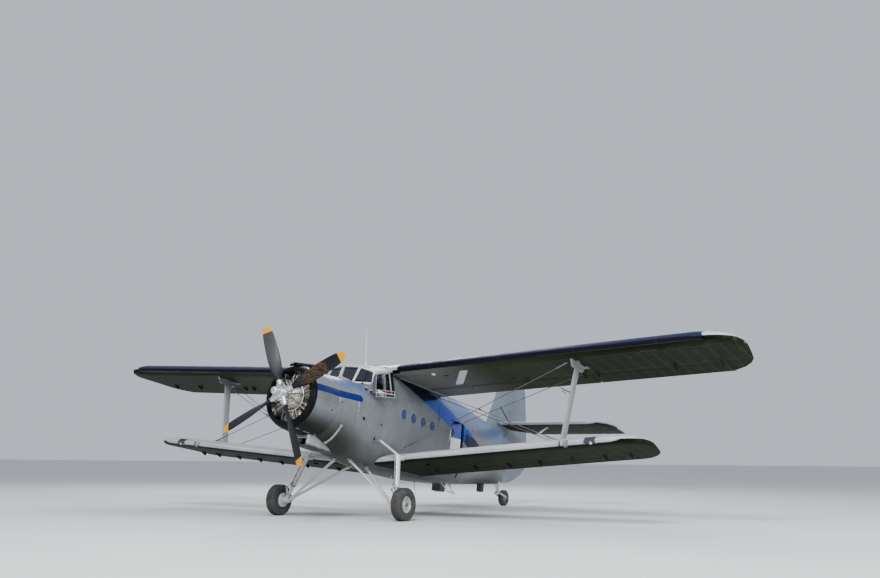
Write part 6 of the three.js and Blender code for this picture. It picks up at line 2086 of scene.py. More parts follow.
def build_door():
    """Doorway trim, leaf with porthole, handle and inner ribs, and the freight door round it."""
    trim, bolts = [], []
    for start, end in four_sides(DOOR_FRONT - 0.016, DOOR_REAR + 0.016, DOOR_LOW - 0.016, DOOR_TOP + 0.016):
        path = run_of(start, end)
        trim.append(side_strip(path, 0.032, 0.006))
        for y, z in run_of(start, end, 0.07):
            bolts.append(dome((side_x(y, z, 0.006), y, z), (1, 0, 0), 0.005, 0.003, 6, 2))
    for start, end in four_sides(*FREIGHT_DOOR):
        trim.append(side_strip(run_of(start, end), 0.014, 0.004))
    for z in (-0.45, 0.55):
        for y in (FREIGHT_DOOR[0] + 0.01, FREIGHT_DOOR[1] - 0.01):
            trim.append(side_strip(run_of((y - 0.07, z), (y + 0.07, z), 0.05), 0.050, 0.016))
            trim.append(tube([at(side_x(y, z, 0.018), y, z + dz) for dz in (-0.06, 0.06)], 0.011, 10))
    add_parts("doorway_trim", trim, "airframe", FUSELAGE)
    add_parts("doorway_bolts", bolts, "airframe", BRIGHT)

    opened = Matrix.Rotation(-DOOR_OPEN, 4, "Z")
    swing = AIRFRAME @ Matrix.Translation(DOOR_HINGE) @ opened @ Matrix.Translation(-DOOR_HINGE)
    middle = (DOOR_FRONT + DOOR_REAR) / 2
    centre = (side_x(middle, 0.42), middle, 0.42)
    rim = [(0.118, -0.046), (0.116, 0.006), (0.124, 0.012), (0.146, 0.010), (0.152, 0.002), (0.150, -0.046)]
    leaf = [turned(rim, 48, centre, "x")]
    rib_front, rib_rear = DOOR_FRONT + 0.05, DOOR_REAR - 0.04
    for z in (-0.62, -0.36, -0.10, 0.16, 0.62):
        x = min(side_x(rib_front, z), side_x(rib_rear, z)) - 0.044
        leaf.append(slab((x, (rib_front + rib_rear) / 2, z), (0.022, rib_rear - rib_front, 0.030)))
    for y in (DOOR_FRONT + 0.06, DOOR_REAR - 0.05):
        leaf.append(slab((side_x(y, -0.1) - 0.052, y, -0.02), (0.024, 0.030, 1.26)))
    add_parts("door_ribs_and_rim", leaf, "door", RIM_PAINT, matrix=swing)
    seal = side_strip(
        run_of((DOOR_FRONT + 0.024, -0.725), (DOOR_FRONT + 0.024, 0.665)), 0.018, -0.006, 0.020,
    )
    add_piece("door_seal", new_mesh("seal", *seal, swing), "door", RUBBER)
    pane = [(0.0, 0.004), (0.118, 0.004), (0.118, 0.010), (0.06, 0.014), (0.0, 0.015)]
    add_parts(
        "door_pane", [turned(pane, 48, centre, "x", closed=False)], "door", PORTHOLE, matrix=swing,
    )
    handle_y, handle_z = DOOR_FRONT + 0.10, -0.05
    x = side_x(handle_y, handle_z)
    grips = [
        tube(
            [
                at(x - 0.01, handle_y, handle_z),
                at(x + 0.035, handle_y, handle_z),
                at(x + 0.038, handle_y + 0.11, handle_z - 0.01),
            ],
            0.009,
            10,
        ),
        turned(
            [(0.0, -0.004), (0.030, -0.004), (0.030, 0.006), (0.022, 0.010), (0.0, 0.010)], 24,
            (x, handle_y, handle_z), "x", closed=False,
        ),
        tube(
            [
                at(x - 0.050, handle_y, handle_z),
                at(x - 0.085, handle_y, handle_z),
                at(x - 0.088, handle_y + 0.12, handle_z),
            ],
            0.009,
            10,
        ),
    ]
    add_parts("door_handle", grips, "door", BRIGHT, matrix=swing)
    hinges = []
    for z in (-0.55, 0.0, 0.52):
        x = side_x(DOOR_REAR, z) - 0.03
        hinges.append(tube([at(x, DOOR_REAR + 0.012, z + dz) for dz in (-0.05, 0.05)], 0.010, 10))
    add_parts("door_hinge_pins", hinges, "airframe", BRIGHT)


def inner_x(y, z, inset=0.045):
    return side_x(y, z) - inset


FLOOR_TOP = -0.798
BENCH_RAIL = -0.412
BENCH_OUT = 0.60
BENCH_TUBE_OUT = 0.165
FRAME_PITCH = 0.345


def build_cabin():
    """Frames, stringers, folding benches with canvas pads and floor strips."""
    ribs, floor = [], []
    for k in range(12):
        y = 3.10 + FRAME_PITCH * k
        if DOOR_FRONT - 0.03 < y < DOOR_REAR + 0.03:
            continue
        for side in (1, -1):
            path = []
            for j in range(15):
                z = lerp(-0.76, 1.10, j / 14)
                path.append(at(side * inner_x(y, z, 0.062), y, z))
            ribs.append(tube(path, 0.016, 6))
    for z in (-0.50, -0.05, 0.62):
        for side in (1, -1):
            end = 5.70 if side > 0 else 6.90
            path = [
                at(side * inner_x(y, z, 0.052), y, z)
                for y in [3.0 + (end - 3.0) * j / 20 for j in range(21)]
            ]
            ribs.append(tube(path, 0.010, 6))
    add_parts("cabin_frames", ribs, "airframe", INTERIOR)
    for k in range(9):
        x = -0.60 + 0.15 * k
        floor.append(slab((x, 4.9, -0.797), (0.020, 3.80, 0.006)))
    for y in (3.2, 3.9, 4.6, 5.3, 6.0, 6.7):
        floor.append(slab((0.0, y, -0.7975), (1.36, 0.016, 0.005)))
        for x in (-0.45, 0.45):
            floor.append(turned(
                [(0.020, 0.0), (0.020, 0.006), (0.030, 0.008), (0.034, 0.0)], 20, (x, y + 0.2, -0.799), "z",
            ))
    add_parts("floor_strips", floor, "airframe", STEEL)
    legs = []
    for side, start, end in ((1, 3.25, 5.45), (-1, 3.25, 6.55)):
        word = "left" if side > 0 else "right"
        count = round((end - start) / 0.55)
        for k in range(count):
            y = start + (end - start) * (k + 0.5) / count
            x = side * BENCH_OUT
            pad, loop = cushion(f"bench_pad_{word}_{k}", (0.36, 0.50, 0.060), 0.016, (0.0,))
            place = AIRFRAME @ Matrix.Translation((x, y, -0.375))
            place_cushion(pad, loop, place, CANVAS, BELT)
            for dx in (-BENCH_TUBE_OUT, BENCH_TUBE_OUT):
                ends = [at(x + dx, y + dy, BENCH_RAIL) for dy in (-0.25, 0.25)]
                legs.append(tube(ends, 0.012, 10))
            inner = x - BENCH_TUBE_OUT * side
            legs.append(tube([at(inner, y, BENCH_RAIL), at(inner, y, FLOOR_TOP)], 0.011, 10))
            legs.append(tube([at(inner, y, -0.60), at(side * 0.80, y, -0.74)], 0.009, 8))
            foot = [(0.0, 0.0), (0.030, 0.0), (0.030, 0.006), (0.0, 0.006)]
            legs.append(turned(foot, 16, (inner, y, -0.7995), "z", closed=False))
    add_parts("bench_legs", legs, "airframe", INTERIOR)


# Tail


def sunk_between_ribs(point):
    """Lets the rudder's cloth sink between its level ribs."""
    behind = min(1.0, max(0.0, (point.y - RUDDER_HINGE - 0.05) / 0.15))
    ahead = min(1.0, max(0.0, abs(point.x) / 0.012))
    sag = RIB_SAG * behind * ahead * math.sin(math.pi * point.z / RIB_PITCH) ** 2
    return at(point.x - math.copysign(sag, point.x), point.y, point.z)


def dress_tail():
    """Quilted skins for the tailplane, elevators and rudder."""
    place = wing_frame(TAILPLANE)
    spans = spanwise(-3.6, 3.6)
    chords = [TAILPLANE["chord"] * t for t in (0.001, 0.004, 0.009, 0.016, 0.024)]
    chords += [0.05 + 0.08 * k for k in range(21)]
    warp = true_wing(TAILPLANE, 9)
    plane = refined("tailplane", place, [(0, spans), (1, chords)], warp)
    add_piece("tailplane_skin", plane, "airframe", TAIL_PAINT, ["tailplane"], 30.0)
    elevator = refined("elevator_left", place, [(0, spans), (1, chords)], warp)
    dress_pair("elevator", elevator, "elevator_{}", TAIL_PAINT)
    levels = [RIB_PITCH / 4 * k for k in range(-3, 45)]
    cuts = [(2, levels), (1, stepped(10.2, 11.7, 0.09))]
    rudder = refined("rudder", AIRFRAME, cuts, sunk_between_ribs)
    add_piece("rudder_skin", rudder, "rudder", TAIL_PAINT, ["rudder"], 30.0)


def tab_outline(corners):
    """Raised edge of a trim tab, with its corners in order."""
    return [tube([start, end], 0.006, 6) for start, end in zip(corners, corners[1:])]


def build_tail_fittings():
    """Trim tabs with rods, hinges, tail lamp and brace fittings."""
    fixed, under = [], []
    for word, side in SIDES:
        rods = []
        surface = TAILPLANE_HEIGHT
        for x in ELEVATOR_HINGES:
            for lift in (0.066, -0.066):
                centre = (side * x, TAILPLANE_HINGE - 0.075, surface + lift)
                bag = fixed if lift > 0 else under
                bag.append(slab(centre, (0.035, 0.090, 0.012)))
                bag.append(dome(
                    (side * x, TAILPLANE_HINGE - 0.09, surface + lift + math.copysign(0.006, lift)),
                    (0, 0, lift), 0.007, 0.005, 6, 2,
                ))
        tab = [
            at(side * x, y, surface + 0.020)
            for x, y in ((1.30, 11.235), (1.30, 11.080), (2.30, 11.080), (2.30, 11.235))
        ]
        rods += tab_outline(tab)
        horn = at(side * 1.80, 11.10, surface + 0.020)
        rods.append(slab(horn + at(0, 0, 0.035), (0.008, 0.030, 0.070)))
        rods.append(tube([horn + at(0, 0, 0.062), at(side * 1.80, 10.62, surface + 0.090)], 0.005, 8))
        add_parts(f"elevator_tab_{word}", rods, f"elevator_{word}", RIM_PAINT)
        for y, z in ((9.62, 0.150), (9.96, 1.385)):
            x = 0.245 if z < 1 else 1.600
            fixed.append(slab(
                (side * x, y, z), (0.075, 0.100, 0.014), Matrix.Rotation(side * math.radians(-40), 3, "Y"),
            ))
            ends = [at(side * x, y + dy, z + 0.004) for dy in (-0.058, 0.058)]
            fixed.append(tube(ends, 0.012, 8))
    add_parts("tail_fittings", fixed, "airframe", PALE)
    add_parts("tailplane_under_hinges", under, "airframe", UNDERSIDE_HATCH_SHADE)
    rods = []
    tab = [at(0.022, y, z) for y, z in ((11.60, 0.45), (11.42, 0.45), (11.42, 1.15), (11.58, 1.15))]
    rods += tab_outline(tab)
    rods.append(slab((0.040, 11.43, 0.80), (0.060, 0.030, 0.008)))
    rods.append(tube([at(0.066, 11.43, 0.80), at(0.085, 10.95, 0.80)], 0.005, 8))
    for z in RUDDER_HINGES:
        half = 0.066 if z < 2 else 0.052
        for side in (1, -1):
            rods.append(slab((side * (half + 0.004), RUDDER_HINGE + 0.07, z), (0.012, 0.10, 0.040)))
    add_parts("rudder_tab_and_hinges", rods, "rudder", RIM_PAINT)
    profile = [(0.0, 0.055), (0.018, 0.050), (0.027, 0.030), (0.030, 0.0), (0.030, -0.02), (0.0, -0.02)]
    add_parts(
        "tail_lamp", [turned(profile, 24, (0.0, 11.700, 1.05), "y", closed=False)], "rudder",
        WHITE_LAMP,
    )


# Wing fittings, struts and wires


def on_wing(wing, u, s, side, lift=0.0):
    """Point on a wing's skin, lifted off it, in the airframe frame."""
    frame_to_airframe = AIRFRAME.inverted() @ wing_frame(wing)
    return frame_to_airframe @ at(u, s, skin(wing, s, side) + side * lift)


def skin_patch(wing, u0, u1, s_values, side, lift, slant=0.0):
    """Thin plate that lies on a wing's skin; slanted, it drifts along the span as it runs aft."""
    rings = []
    for s_value in s_values:
        drift = slant * (s_value - s_values[0])
        outer = [on_wing(wing, lerp(u0, u1, k / 6) + drift, s_value, side, lift) for k in range(7)]
        inner = [on_wing(wing, lerp(u0, u1, k / 6) + drift, s_value, side, -0.004) for k in range(7)]
        rings.append(outer + inner[::-1])
    return lofted(rings)


def nose_patch(wing, u0, u1, below, above, lift):
    """Plate bent round a wing's leading edge, between two distances back on the skins."""
    stations = [(-1, below * (1 - (k / 8) ** 0.5 * 0.999)) for k in range(9)]
    stations += [(1, above * (k / 8) ** 2) for k in range(1, 9)]
    frame_to_airframe = AIRFRAME.inverted() @ wing_frame(wing)
    middle = skin(wing, 0.06, 1) / 2 + skin(wing, 0.06, -1) / 2
    rings = []
    for side, s_value in stations:
        on_skin = at(0.0, s_value, skin(wing, max(0.0, s_value), side))
        out = (on_skin - at(0.0, 0.10, middle)).normalized()
        ring = []
        for reach, order in ((lift, 1), (-0.012, -1)):
            spot = on_skin + out * reach
            row = [frame_to_airframe @ at(lerp(u0, u1, k / 4), spot.y, spot.z) for k in range(5)]
            ring += row[::order]
        rings.append(ring)
    return lofted(rings)


def build_wing_fittings():
    """Lamps, filler caps, hatches, walkways, and fairings over the strut and hinge fittings."""
    caps, dark, plates, hatches, lens, mirrors, slots = [], [], [], [], [], [], []
    for side_sign in (1, -1):

        def put(parts, part, sign=side_sign):
            parts.append(placed(part, Matrix.Diagonal((sign, 1, 1))))

        for u in (1.45, 2.25, 3.05):
            centre = on_wing(UPPER, u, 0.95, 1)
            up = (on_wing(UPPER, u, 0.95, 1, 0.1) - centre).normalized()
            place = Matrix.Translation(centre) @ up.to_track_quat("Z", "Y").to_matrix().to_4x4()
            ring = [(0.0, 0.0), (0.075, 0.0), (0.075, 0.006), (0.0, 0.006)]
            cap = [(0.0, 0.006), (0.042, 0.006), (0.042, 0.016), (0.036, 0.020), (0.0, 0.020)]
            for profile, bag in ((ring, plates), (cap, caps)):
                put(bag, placed(turned(profile, 28, along_axis="z", closed=False), place))
            put(caps, placed(slab((0, 0, 0.024), (0.060, 0.010, 0.010)), place))
        put(dark, skin_patch(LOWER, 1.10, 1.62, [0.30 + 0.1 * k for k in range(11)], 1, 0.003))
        for wing, spots in ((UPPER, (1.9, 3.3, 4.9, 6.6, 8.0)), (LOWER, (1.4, 2.7, 4.0, 5.6))):
            for u in spots:
                for s_value in (0.62, 1.42 if wing is UPPER else 1.15):
                    put(
                        hatches,
                        skin_patch(wing, u, u + 0.12, [s_value + 0.02 * k for k in range(6)], -1, 0.003),
                    )
        for u, s_value in ((5.42, 0.52), (5.42, 1.02)):
            put(
                plates,
                skin_patch(UPPER, u - 0.10, u + 0.06, [s_value + 0.03 * k for k in range(7)], -1, 0.010),
            )
        put(lens, nose_patch(LOWER, 5.96, 6.20, 0.050, 0.110, 0.004))
        for u in (5.94, 6.20):
            put(plates, nose_patch(LOWER, u, u + 0.020, 0.060, 0.125, 0.007))
        put(mirrors, dome(on_wing(LOWER, 6.10, 0.026, -1, -0.004), (0.0, -0.8, -0.6), 0.040, 0.018, 24, 5))
        # Black patches for the slots in the lower wing's leading edge: painted shade in the openings
        put(slots, nose_patch(LOWER, 5.372, 5.402, 0.045, 0.035, 0.004))
        put(slots, nose_patch(LOWER, 5.560, 5.580, 0.010, 0.050, 0.004))
        put(plates, nose_patch(LOWER, 5.470, 5.550, 0.085, 0.030, 0.012))
    add_parts("wing_plates", plates, "airframe", RIM_PAINT)
    add_parts("underside_hatches", hatches, "airframe", UNDERSIDE_HATCH_SHADE)
    add_parts("landing_lamp_mirrors", mirrors, "airframe", BRIGHT)
    add_parts("leading_edge_slots", slots, "airframe", BLACK)
    add_parts("filler_caps", caps, "airframe", BRIGHT)
    add_parts("walkways", dark, "airframe", GRIP)
    add_parts("landing_lamp_lenses", lens, "airframe", GLASS)
    for side_sign, word, glass in ((1, "left", RED_LAMP), (-1, "right", GREEN_LAMP)):
        base = AIRFRAME.inverted() @ wing_frame(UPPER) @ at(UPPER["tip"] - 0.012, 0.86, 0.065)
        profile = [
            (0.0, -0.085), (0.014, -0.078), (0.026, -0.055), (0.033, -0.020), (0.032, 0.020),
            (0.022, 0.070), (0.0, 0.105),
        ]
        mirror = Matrix.Diagonal((side_sign, 1, 1, 1))
        place = mirror @ Matrix.Translation(base) @ Matrix.Diagonal((0.6, 1, 1, 1))
        lamp = placed(turned(profile, 24, closed=False), place)
        add_parts(f"upper_tip_lamp_{word}", [lamp], "airframe", glass)
    under = on_wing(UPPER, 1.75, 0.42, -1)
    lamp = [(0.0, 0.0), (0.052, 0.0), (0.050, 0.020), (0.036, 0.038), (0.0, 0.046)]
    down = Matrix.Translation(under) @ Matrix.Diagonal((1, 1, -1, 1))
    lamp = placed(turned(lamp, 28, along_axis="z", closed=False), down)
    add_parts("wing_root_lamp", [lamp], "airframe", WHITE_LAMP)
    # Pale plate under the upper wing, slanted across the chord: painted reflection
    panel = skin_patch(UPPER, 2.48, 2.70, [0.42 + 0.07 * k for k in range(16)], -1, 0.004, -0.70)
    add_piece("pale_service_panel", new_mesh("panel", *panel), "airframe", WHITE_CASE)


WIRES = [
    ((1.400, 2.860, -0.640), (5.330, 3.180, 1.330)),
    ((1.400, 2.860, -0.640), (5.330, 4.020, 1.290)),
    ((0.860, 3.120, 1.130), (5.160, 3.290, -0.395)),
    ((0.880, 4.350, 1.060), (5.160, 3.950, -0.430)),
]


def build_wire_fittings():
    """Turnbuckles, forks, pins and plates at the ends of the bracing wires."""
    parts = []
    for start, end in WIRES:
        start, end = Vector(start), Vector(end)
        run = (end - start).normalized()
        for base, ahead in ((start, run), (end, -run)):
            spots = [base + ahead * d for d in (0.10, 0.13, 0.17, 0.26, 0.30, 0.33)]
            parts.append(tube(spots, 0.012, 10, [0.010, 0.014, 0.017, 0.017, 0.014, 0.010]))
            turn = ahead.to_track_quat("Y", "Z").to_matrix()
            for offset in (-0.014, 0.014):
                parts.append(slab(
                    base + ahead * 0.055 + turn @ at(offset, 0, 0), (0.006, 0.095, 0.030), turn,
                ))
            across = turn @ at(1, 0, 0)
            parts.append(pin(base + ahead * 0.025, across * 0.026, 0.008, 8))
    add_parts("wire_fittings", both_sides(parts), "airframe", WIRE_STEEL)


STRUT_FOOT = at(5.100, 3.620, -0.500)
STRUT_HEAD = at(5.390, 3.610, 1.500)
STRUT_HALF_CHORD = 0.1285
STRUT_HALF_THICKNESS = 0.0405
STRUT_BANDS = (0.10, 0.16, 0.82, 0.88)


def build_strut_fittings():
    """Bolted plates and bands on the wing struts, and the speed probe on the port one."""
    parts = []
    for t in STRUT_BANDS:
        centre = lerp(STRUT_FOOT, STRUT_HEAD, t)
        ring = [
            (STRUT_HALF_CHORD * math.cos(turn), STRUT_HALF_THICKNESS * math.sin(turn))
            for turn in turns(24)
        ]
        axis = (STRUT_HEAD - STRUT_FOOT).normalized()
        wide = at(0, 1, 0).cross(axis).normalized()
        rings = []
        for shift in (-0.016, 0.016):
            rings.append([centre + axis * shift + at(0, a, 0) + wide * b for a, b in ring])
        parts.append(lofted(rings))
        for sign in (1, -1):
            for dy in (-0.07, 0.0, 0.07):
                spot = centre + wide * (STRUT_HALF_THICKNESS * sign * (1 - (dy / 0.16) ** 2)) + at(0, dy, 0)
                parts.append(dome(spot, wide * sign, 0.008, 0.007, 6, 2))
    add_parts("strut_bands", both_sides(parts), "airframe", STRUT_GREY)
    base = lerp(STRUT_FOOT, STRUT_HEAD, 0.62) + at(0.0, -0.115, 0.0)
    probe = [
        tube([base + at(0, 0.02, 0), base + at(0, -0.20, -0.02), base + at(0, -0.42, -0.02)], 0.014, 12),
        tube([base + at(0, -0.42, -0.02), base + at(0, -0.58, -0.02)], 0.008, 12, [0.010, 0.006]),
        tube([base + at(0, -0.30, -0.02), base + at(0, -0.30, -0.075)], 0.008, 10),
        tube([base + at(0, -0.22, -0.075), base + at(0, -0.46, -0.075)], 0.009, 10, [0.010, 0.006]),
    ]
    add_parts("speed_probe", probe, "airframe", STEEL)


# Landing gear fittings


WHEEL_OUT = 1.835
KNEE_OUT = 1.622
LEG_TOP = at(1.352, 2.755, -0.860)


def build_gear_fittings():
    """Oleo sleeves, scissor links, brake hoses, back plates, bolts and strut ends."""
    pale, steel, hose = [], [], []
    axle = AIRFRAME.inverted() @ Vector(JOINTS["wheel_left_spin"]["pos_m"])
    knee = at(KNEE_OUT, axle.y + 0.020, axle.z + 0.010)
    run = LEG_TOP - knee
    forward = at(0, -1, 0)
    forward = (forward - run.normalized() * forward.dot(run.normalized())).normalized()

    def on_leg(share, ahead=0.0):
        return lerp(knee, LEG_TOP, share) + forward * ahead

    steel.append(tube([on_leg(0.30), on_leg(0.33)], 0.060, 24))
    for low, high, radius in ((0.33, 0.365, 0.074), (0.90, 0.955, 0.075), (0.62, 0.64, 0.070)):
        pale.append(tube([on_leg(low), on_leg(high)], radius, 28))
    elbow = on_leg(0.23, 0.21)
    for start in (on_leg(0.10, 0.040), on_leg(0.37, 0.070)):
        for shift in (-0.018, 0.018):
            pale.append(tube([start + at(shift, 0, 0), elbow + at(shift * 0.5, 0, 0)], 0.011, 10))
        steel.append(pin(start, at(0.035, 0, 0), 0.012))
    steel.append(pin(elbow, at(0.022, 0, 0), 0.012))
    plate = [(0.040, -0.012), (0.155, -0.012), (0.170, -0.004), (0.170, 0.010), (0.040, 0.010)]
    pale.append(turned(plate, 48, (WHEEL_OUT - 0.136, axle.y, axle.z), "x"))
    for turn in turns(8):
        spot = at(WHEEL_OUT - 0.148, axle.y + 0.12 * math.cos(turn), axle.z + 0.12 * math.sin(turn))
        steel.append(dome(spot, (-1, 0, 0), 0.010, 0.010, 6, 2))
    path = [
        at(1.690, axle.y - 0.09, axle.z + 0.10), at(1.660, axle.y - 0.12, axle.z + 0.22),
        on_leg(0.28, 0.12) - at(0.05, 0, 0), on_leg(0.50, 0.076), on_leg(0.80, 0.074), on_leg(0.97, 0.068),
    ]
    hose.append(tube(path, 0.007, 8))
    for t in (0.52, 0.66, 0.80):
        hose.append(tube([on_leg(t, 0.060), on_leg(t, 0.085)], 0.011, 8))
    for end in ((0.165, 2.410, -0.975), (0.195, 3.080, -1.030)):
        foot, head = at(1.515, axle.y, axle.z), Vector(end)
        for t, r in ((0.045, 0.045), (0.94, 0.040)):
            spot = lerp(foot, head, t)
            ahead = (head - foot).normalized()
            pale.append(pin(spot, ahead * 0.03, r, 16))
            steel.append(pin(spot, at(0, 0.060, 0), 0.012, 8))
        bracket = head + (foot - head).normalized() * 0.10
        steel.append(slab(
            bracket + at(0, 0, -0.01), (0.11, 0.07, 0.020), Matrix.Rotation(math.radians(25), 3, "Y"),
        ))
    for name, parts, material, slot in (
        ("gear_sleeves", pale, PALE, "strut"), ("gear_pins", steel, STEEL, "bright"),
        ("brake_hoses", hose, BLACK, "black"),
    ):
        add_parts(name, both_sides(parts), "airframe", material)

    pivot = Vector(JOINTS["tail_swivel"]["pos_m"])
    axle = Vector(JOINTS["tail_wheel_spin"]["pos_m"])
    fork = []
    for side in (-1, 1):
        fork.append(tube([axle + at(side * 0.100, 0, 0), axle + at(side * 0.128, 0, 0)], 0.030, 6))
        spot = at(side * 0.083, pivot.y, pivot.z - 0.045)
        fork.append(tube([spot, spot + at(side * 0.030, 0, 0)], 0.016, 6))
        fork.append(tube(
            [at(side * 0.092, pivot.y + 0.06, 0.345), at(side * 0.106, lerp(pivot.y, axle.y, 0.8), 0.262)],
            0.008,
            8,
        ))
    fork.append(turned(
        [(0.060, -0.020), (0.068, -0.016), (0.068, -0.002), (0.060, 0.0)], 28,
        (0, pivot.y, pivot.z - 0.002), "z",
    ))
    add_parts("tail_fork_nuts", fork, "tail_fork", STEEL, matrix=GROUND)
    leg = [
        turned(
            [(0.052, 0.0), (0.062, 0.004), (0.062, 0.030), (0.054, 0.034)], 28,
            (0, pivot.y, pivot.z + 0.012), "z",
        ),
        turned(
            [(0.056, 0.0), (0.064, 0.004), (0.066, 0.024), (0.058, 0.028)], 28,
            (0, pivot.y, pivot.z + 0.20), "z",
        ),
        tube(
            [
                at(0.05, pivot.y - 0.03, pivot.z + 0.05),
                at(0.066, pivot.y - 0.05, pivot.z + 0.22),
                at(0.07, pivot.y - 0.10, pivot.z + 0.40),
            ],
            0.006,
            8,
        ),
    ]
    add_parts("tail_leg_bands", leg, "airframe", PALE, matrix=GROUND)


# Small things on the fuselage


def build_hull_fittings():
    """Nose drain pipe, lamps, vents, aerials, steps, hatches and cooler and scoop grilles."""
    bright, dark, paint = [], [], []
    path = [
        at(0.300, 1.370, -0.815),
        at(0.420, 1.365, -0.745),
        at(0.540, 1.355, -0.640),
        at(0.625, 1.345, -0.545),
        at(0.690, 1.340, -0.455),
    ]
    pipe = [tube(path, 0.027, 16)]
    for k in range(9):
        spot = lerp(path[k // 2], path[k // 2 + 1], 0.25 + 0.5 * (k % 2)) if k < 8 else path[-1]
        pipe.append(dome(spot + at(0.020, -0.018, 0.0), (0.7, -0.7, 0.1), 0.014, 0.010, 8, 2))
    pipe.append(tube([path[0] + at(-0.03, -0.02, -0.02), path[0]], 0.034, 16))
    pipe.append(tube([path[-1], path[-1] + at(0.018, -0.002, 0.035)], 0.034, 16))
    add_parts("drain_pipe", pipe, "airframe", PIPE_SHEET)
    for side in (1, -1):
        port = hull_point(1.899, math.radians(-8.0))
        place = at(side * port.x, port.y, -0.118)
        paint.append(dome(place + at(0, -0.02, 0.03), (side, -0.3, 0.3), 0.040, 0.034, 24, 5))
        dark.append(dome(place + at(0, 0.03, -0.03), (side, 0, 0), 0.038, 0.020, 20, 4))
        for y, z, r in ((1.195, 0.075, 0.020), (0.900, -0.177, 0.022), (2.583, -0.149, 0.024)):
            x = side_x(y, z) if y > 1.12 else (0.748**2 - z * z) ** 0.5
            dark.append(dome((side * x, y, z), (side, 0, 0), r, 0.008, 16, 3))
        for y, z in ((3.2, -0.55), (4.0, -0.55), (4.8, -0.55)):
            frame_box = [
                (y - 0.09, z - 0.07), (y + 0.09, z - 0.07), (y + 0.09, z + 0.07), (y - 0.09, z + 0.07),
            ]
            for start, end in zip(frame_box, frame_box[1:] + frame_box[:1]):
                strip = side_strip(run_of(start, end, 0.06), 0.008, 0.003)
                paint.append(placed(strip, Matrix.Diagonal((side, 1, 1))))
        scoop = []
        for y, out in ((2.42, 0.055), (2.60, 0.030), (2.70, 0.006)):
            mouth = ((0, -0.05), (out, -0.04), (out, 0.04), (0, 0.05))
            scoop.append([(side * (side_x(y, -0.52) - 0.01 + a), y, -0.52 + b) for a, b in mouth])
        paint.append(lofted(scoop))
        # Black slab in the scoop's mouth stands for its shaded inside: painted shade
        dark.append(slab((side * (side_x(2.42, -0.52) + 0.018), 2.4195, -0.52), (0.044, 0.004, 0.066)))
    step_y = 6.05
    for dy in (-0.17, 0.17):
        bright.append(tube([at(0.60, step_y + dy, -0.92), at(0.86, step_y + dy, -1.18)], 0.012, 10))
    bright.append(tube([at(0.86, step_y - 0.19, -1.18), at(0.86, step_y + 0.19, -1.18)], 0.014, 12))
    bright.append(tube(
        [
            at(side_x(5.62, 0.30), 5.62, 0.42),
            at(side_x(5.62, 0.3) + 0.05, 5.62, 0.40),
            at(side_x(5.62, 0.0) + 0.05, 5.62, 0.10),
            at(side_x(5.62, 0.0), 5.62, 0.08),
        ],
        0.010,
        10,
    ))
    for y, length in ((5.55, 0.34), (7.35, 0.30)):
        foot = hull_point(y, math.radians(-90))
        dark.append(tube(
            [foot, foot + at(0, 0.05, -length * 0.4), foot + at(0, 0.16, -length)],
            0.006,
            8,
            [0.010, 0.006, 0.003],
        ))
    for y in (4.4, 6.15, 7.2):
        foot = hull_point(y, math.radians(-86))
        bright.append(tube([foot, foot + at(0, 0.02, -0.06), foot + at(0, 0.06, -0.075)], 0.008, 8))
    for k in range(15):
        x = -0.112 + 0.016 * k
        dark.append(slab((x, 1.05, -0.872), (0.003, 0.060, 0.160)))
    for k in range(10):
        dark.append(slab((0.0, 1.05, -0.945 + 0.016 * k), (0.236, 0.060, 0.003)))
    bright.append(tube([at(-0.115, 0.885, -0.800), at(0.115, 0.885, -0.800)], 0.007, 8))
    for k in range(9):
        x = -0.080 + 0.020 * k
        dark.append(slab((x, 0.30, 0.738), (0.003, 0.020, 0.045)))
    roof = hull_point(6.4, math.radians(90))
    blade = []
    for aft, half, lift in ((0.0, 0.02, -0.02), (0.03, 0.012, 0.16)):
        corners = ((-half, 0), (half, 0), (half, 0.02), (-half, 0.02))
        blade.append([roof + at(x, aft + dy, lift) for x, dy in corners])
    paint.append(lofted(blade))
    for name, parts, material, slot in (
        ("hull_bright_fittings", bright, BRIGHT_SHEET, "bright"),
        ("hull_dark_fittings", dark, BLACK, "black"), ("hull_hatches", paint, FUSELAGE, "silver"),
    ):
        add_parts(name, parts, "airframe", material)


dress_wings()
dress_cowl()
build_engine()
build_propeller()
build_wheels()
build_canopy_trim()
build_pilot_seats()
build_cockpit_fittings()
build_sill_windows()
build_portholes()
build_door()
build_cabin()
dress_tail()
build_tail_fittings()
build_wing_fittings()
build_wire_fittings()
build_strut_fittings()
build_gear_fittings()
build_hull_fittings()


# Studio


def smooth_by_angle(angle):
    """Nodes that shade a solid smooth, but for its edges sharper than an angle."""
    group = bpy.data.node_groups.new("smooth_by_angle", "GeometryNodeTree")
    group.interface.new_socket("Geometry", in_out="INPUT", socket_type="NodeSocketGeometry")
    group.interface.new_socket("Geometry", in_out="OUTPUT", socket_type="NodeSocketGeometry")
    entry = group.nodes.new("NodeGroupInput")
    leave = group.nodes.new("NodeGroupOutput")
    faces = group.nodes.new("GeometryNodeSetShadeSmooth")
    edges = group.nodes.new("GeometryNodeSetShadeSmooth")
    edges.domain = "EDGE"
    edges.inputs["Shade Smooth"].default_value = False
    measure = group.nodes.new("GeometryNodeInputMeshEdgeAngle")
    compare = group.nodes.new("FunctionNodeCompare")
    compare.operation = "GREATER_THAN"
    compare.inputs[1].default_value = angle
    group.links.new(measure.outputs["Unsigned Angle"], compare.inputs[0])
    group.links.new(entry.outputs[0], faces.inputs["Geometry"])
    group.links.new(faces.outputs[0], edges.inputs["Geometry"])
    group.links.new(compare.outputs[0], edges.inputs["Selection"])
    group.links.new(edges.outputs[0], leave.inputs[0])
    return group


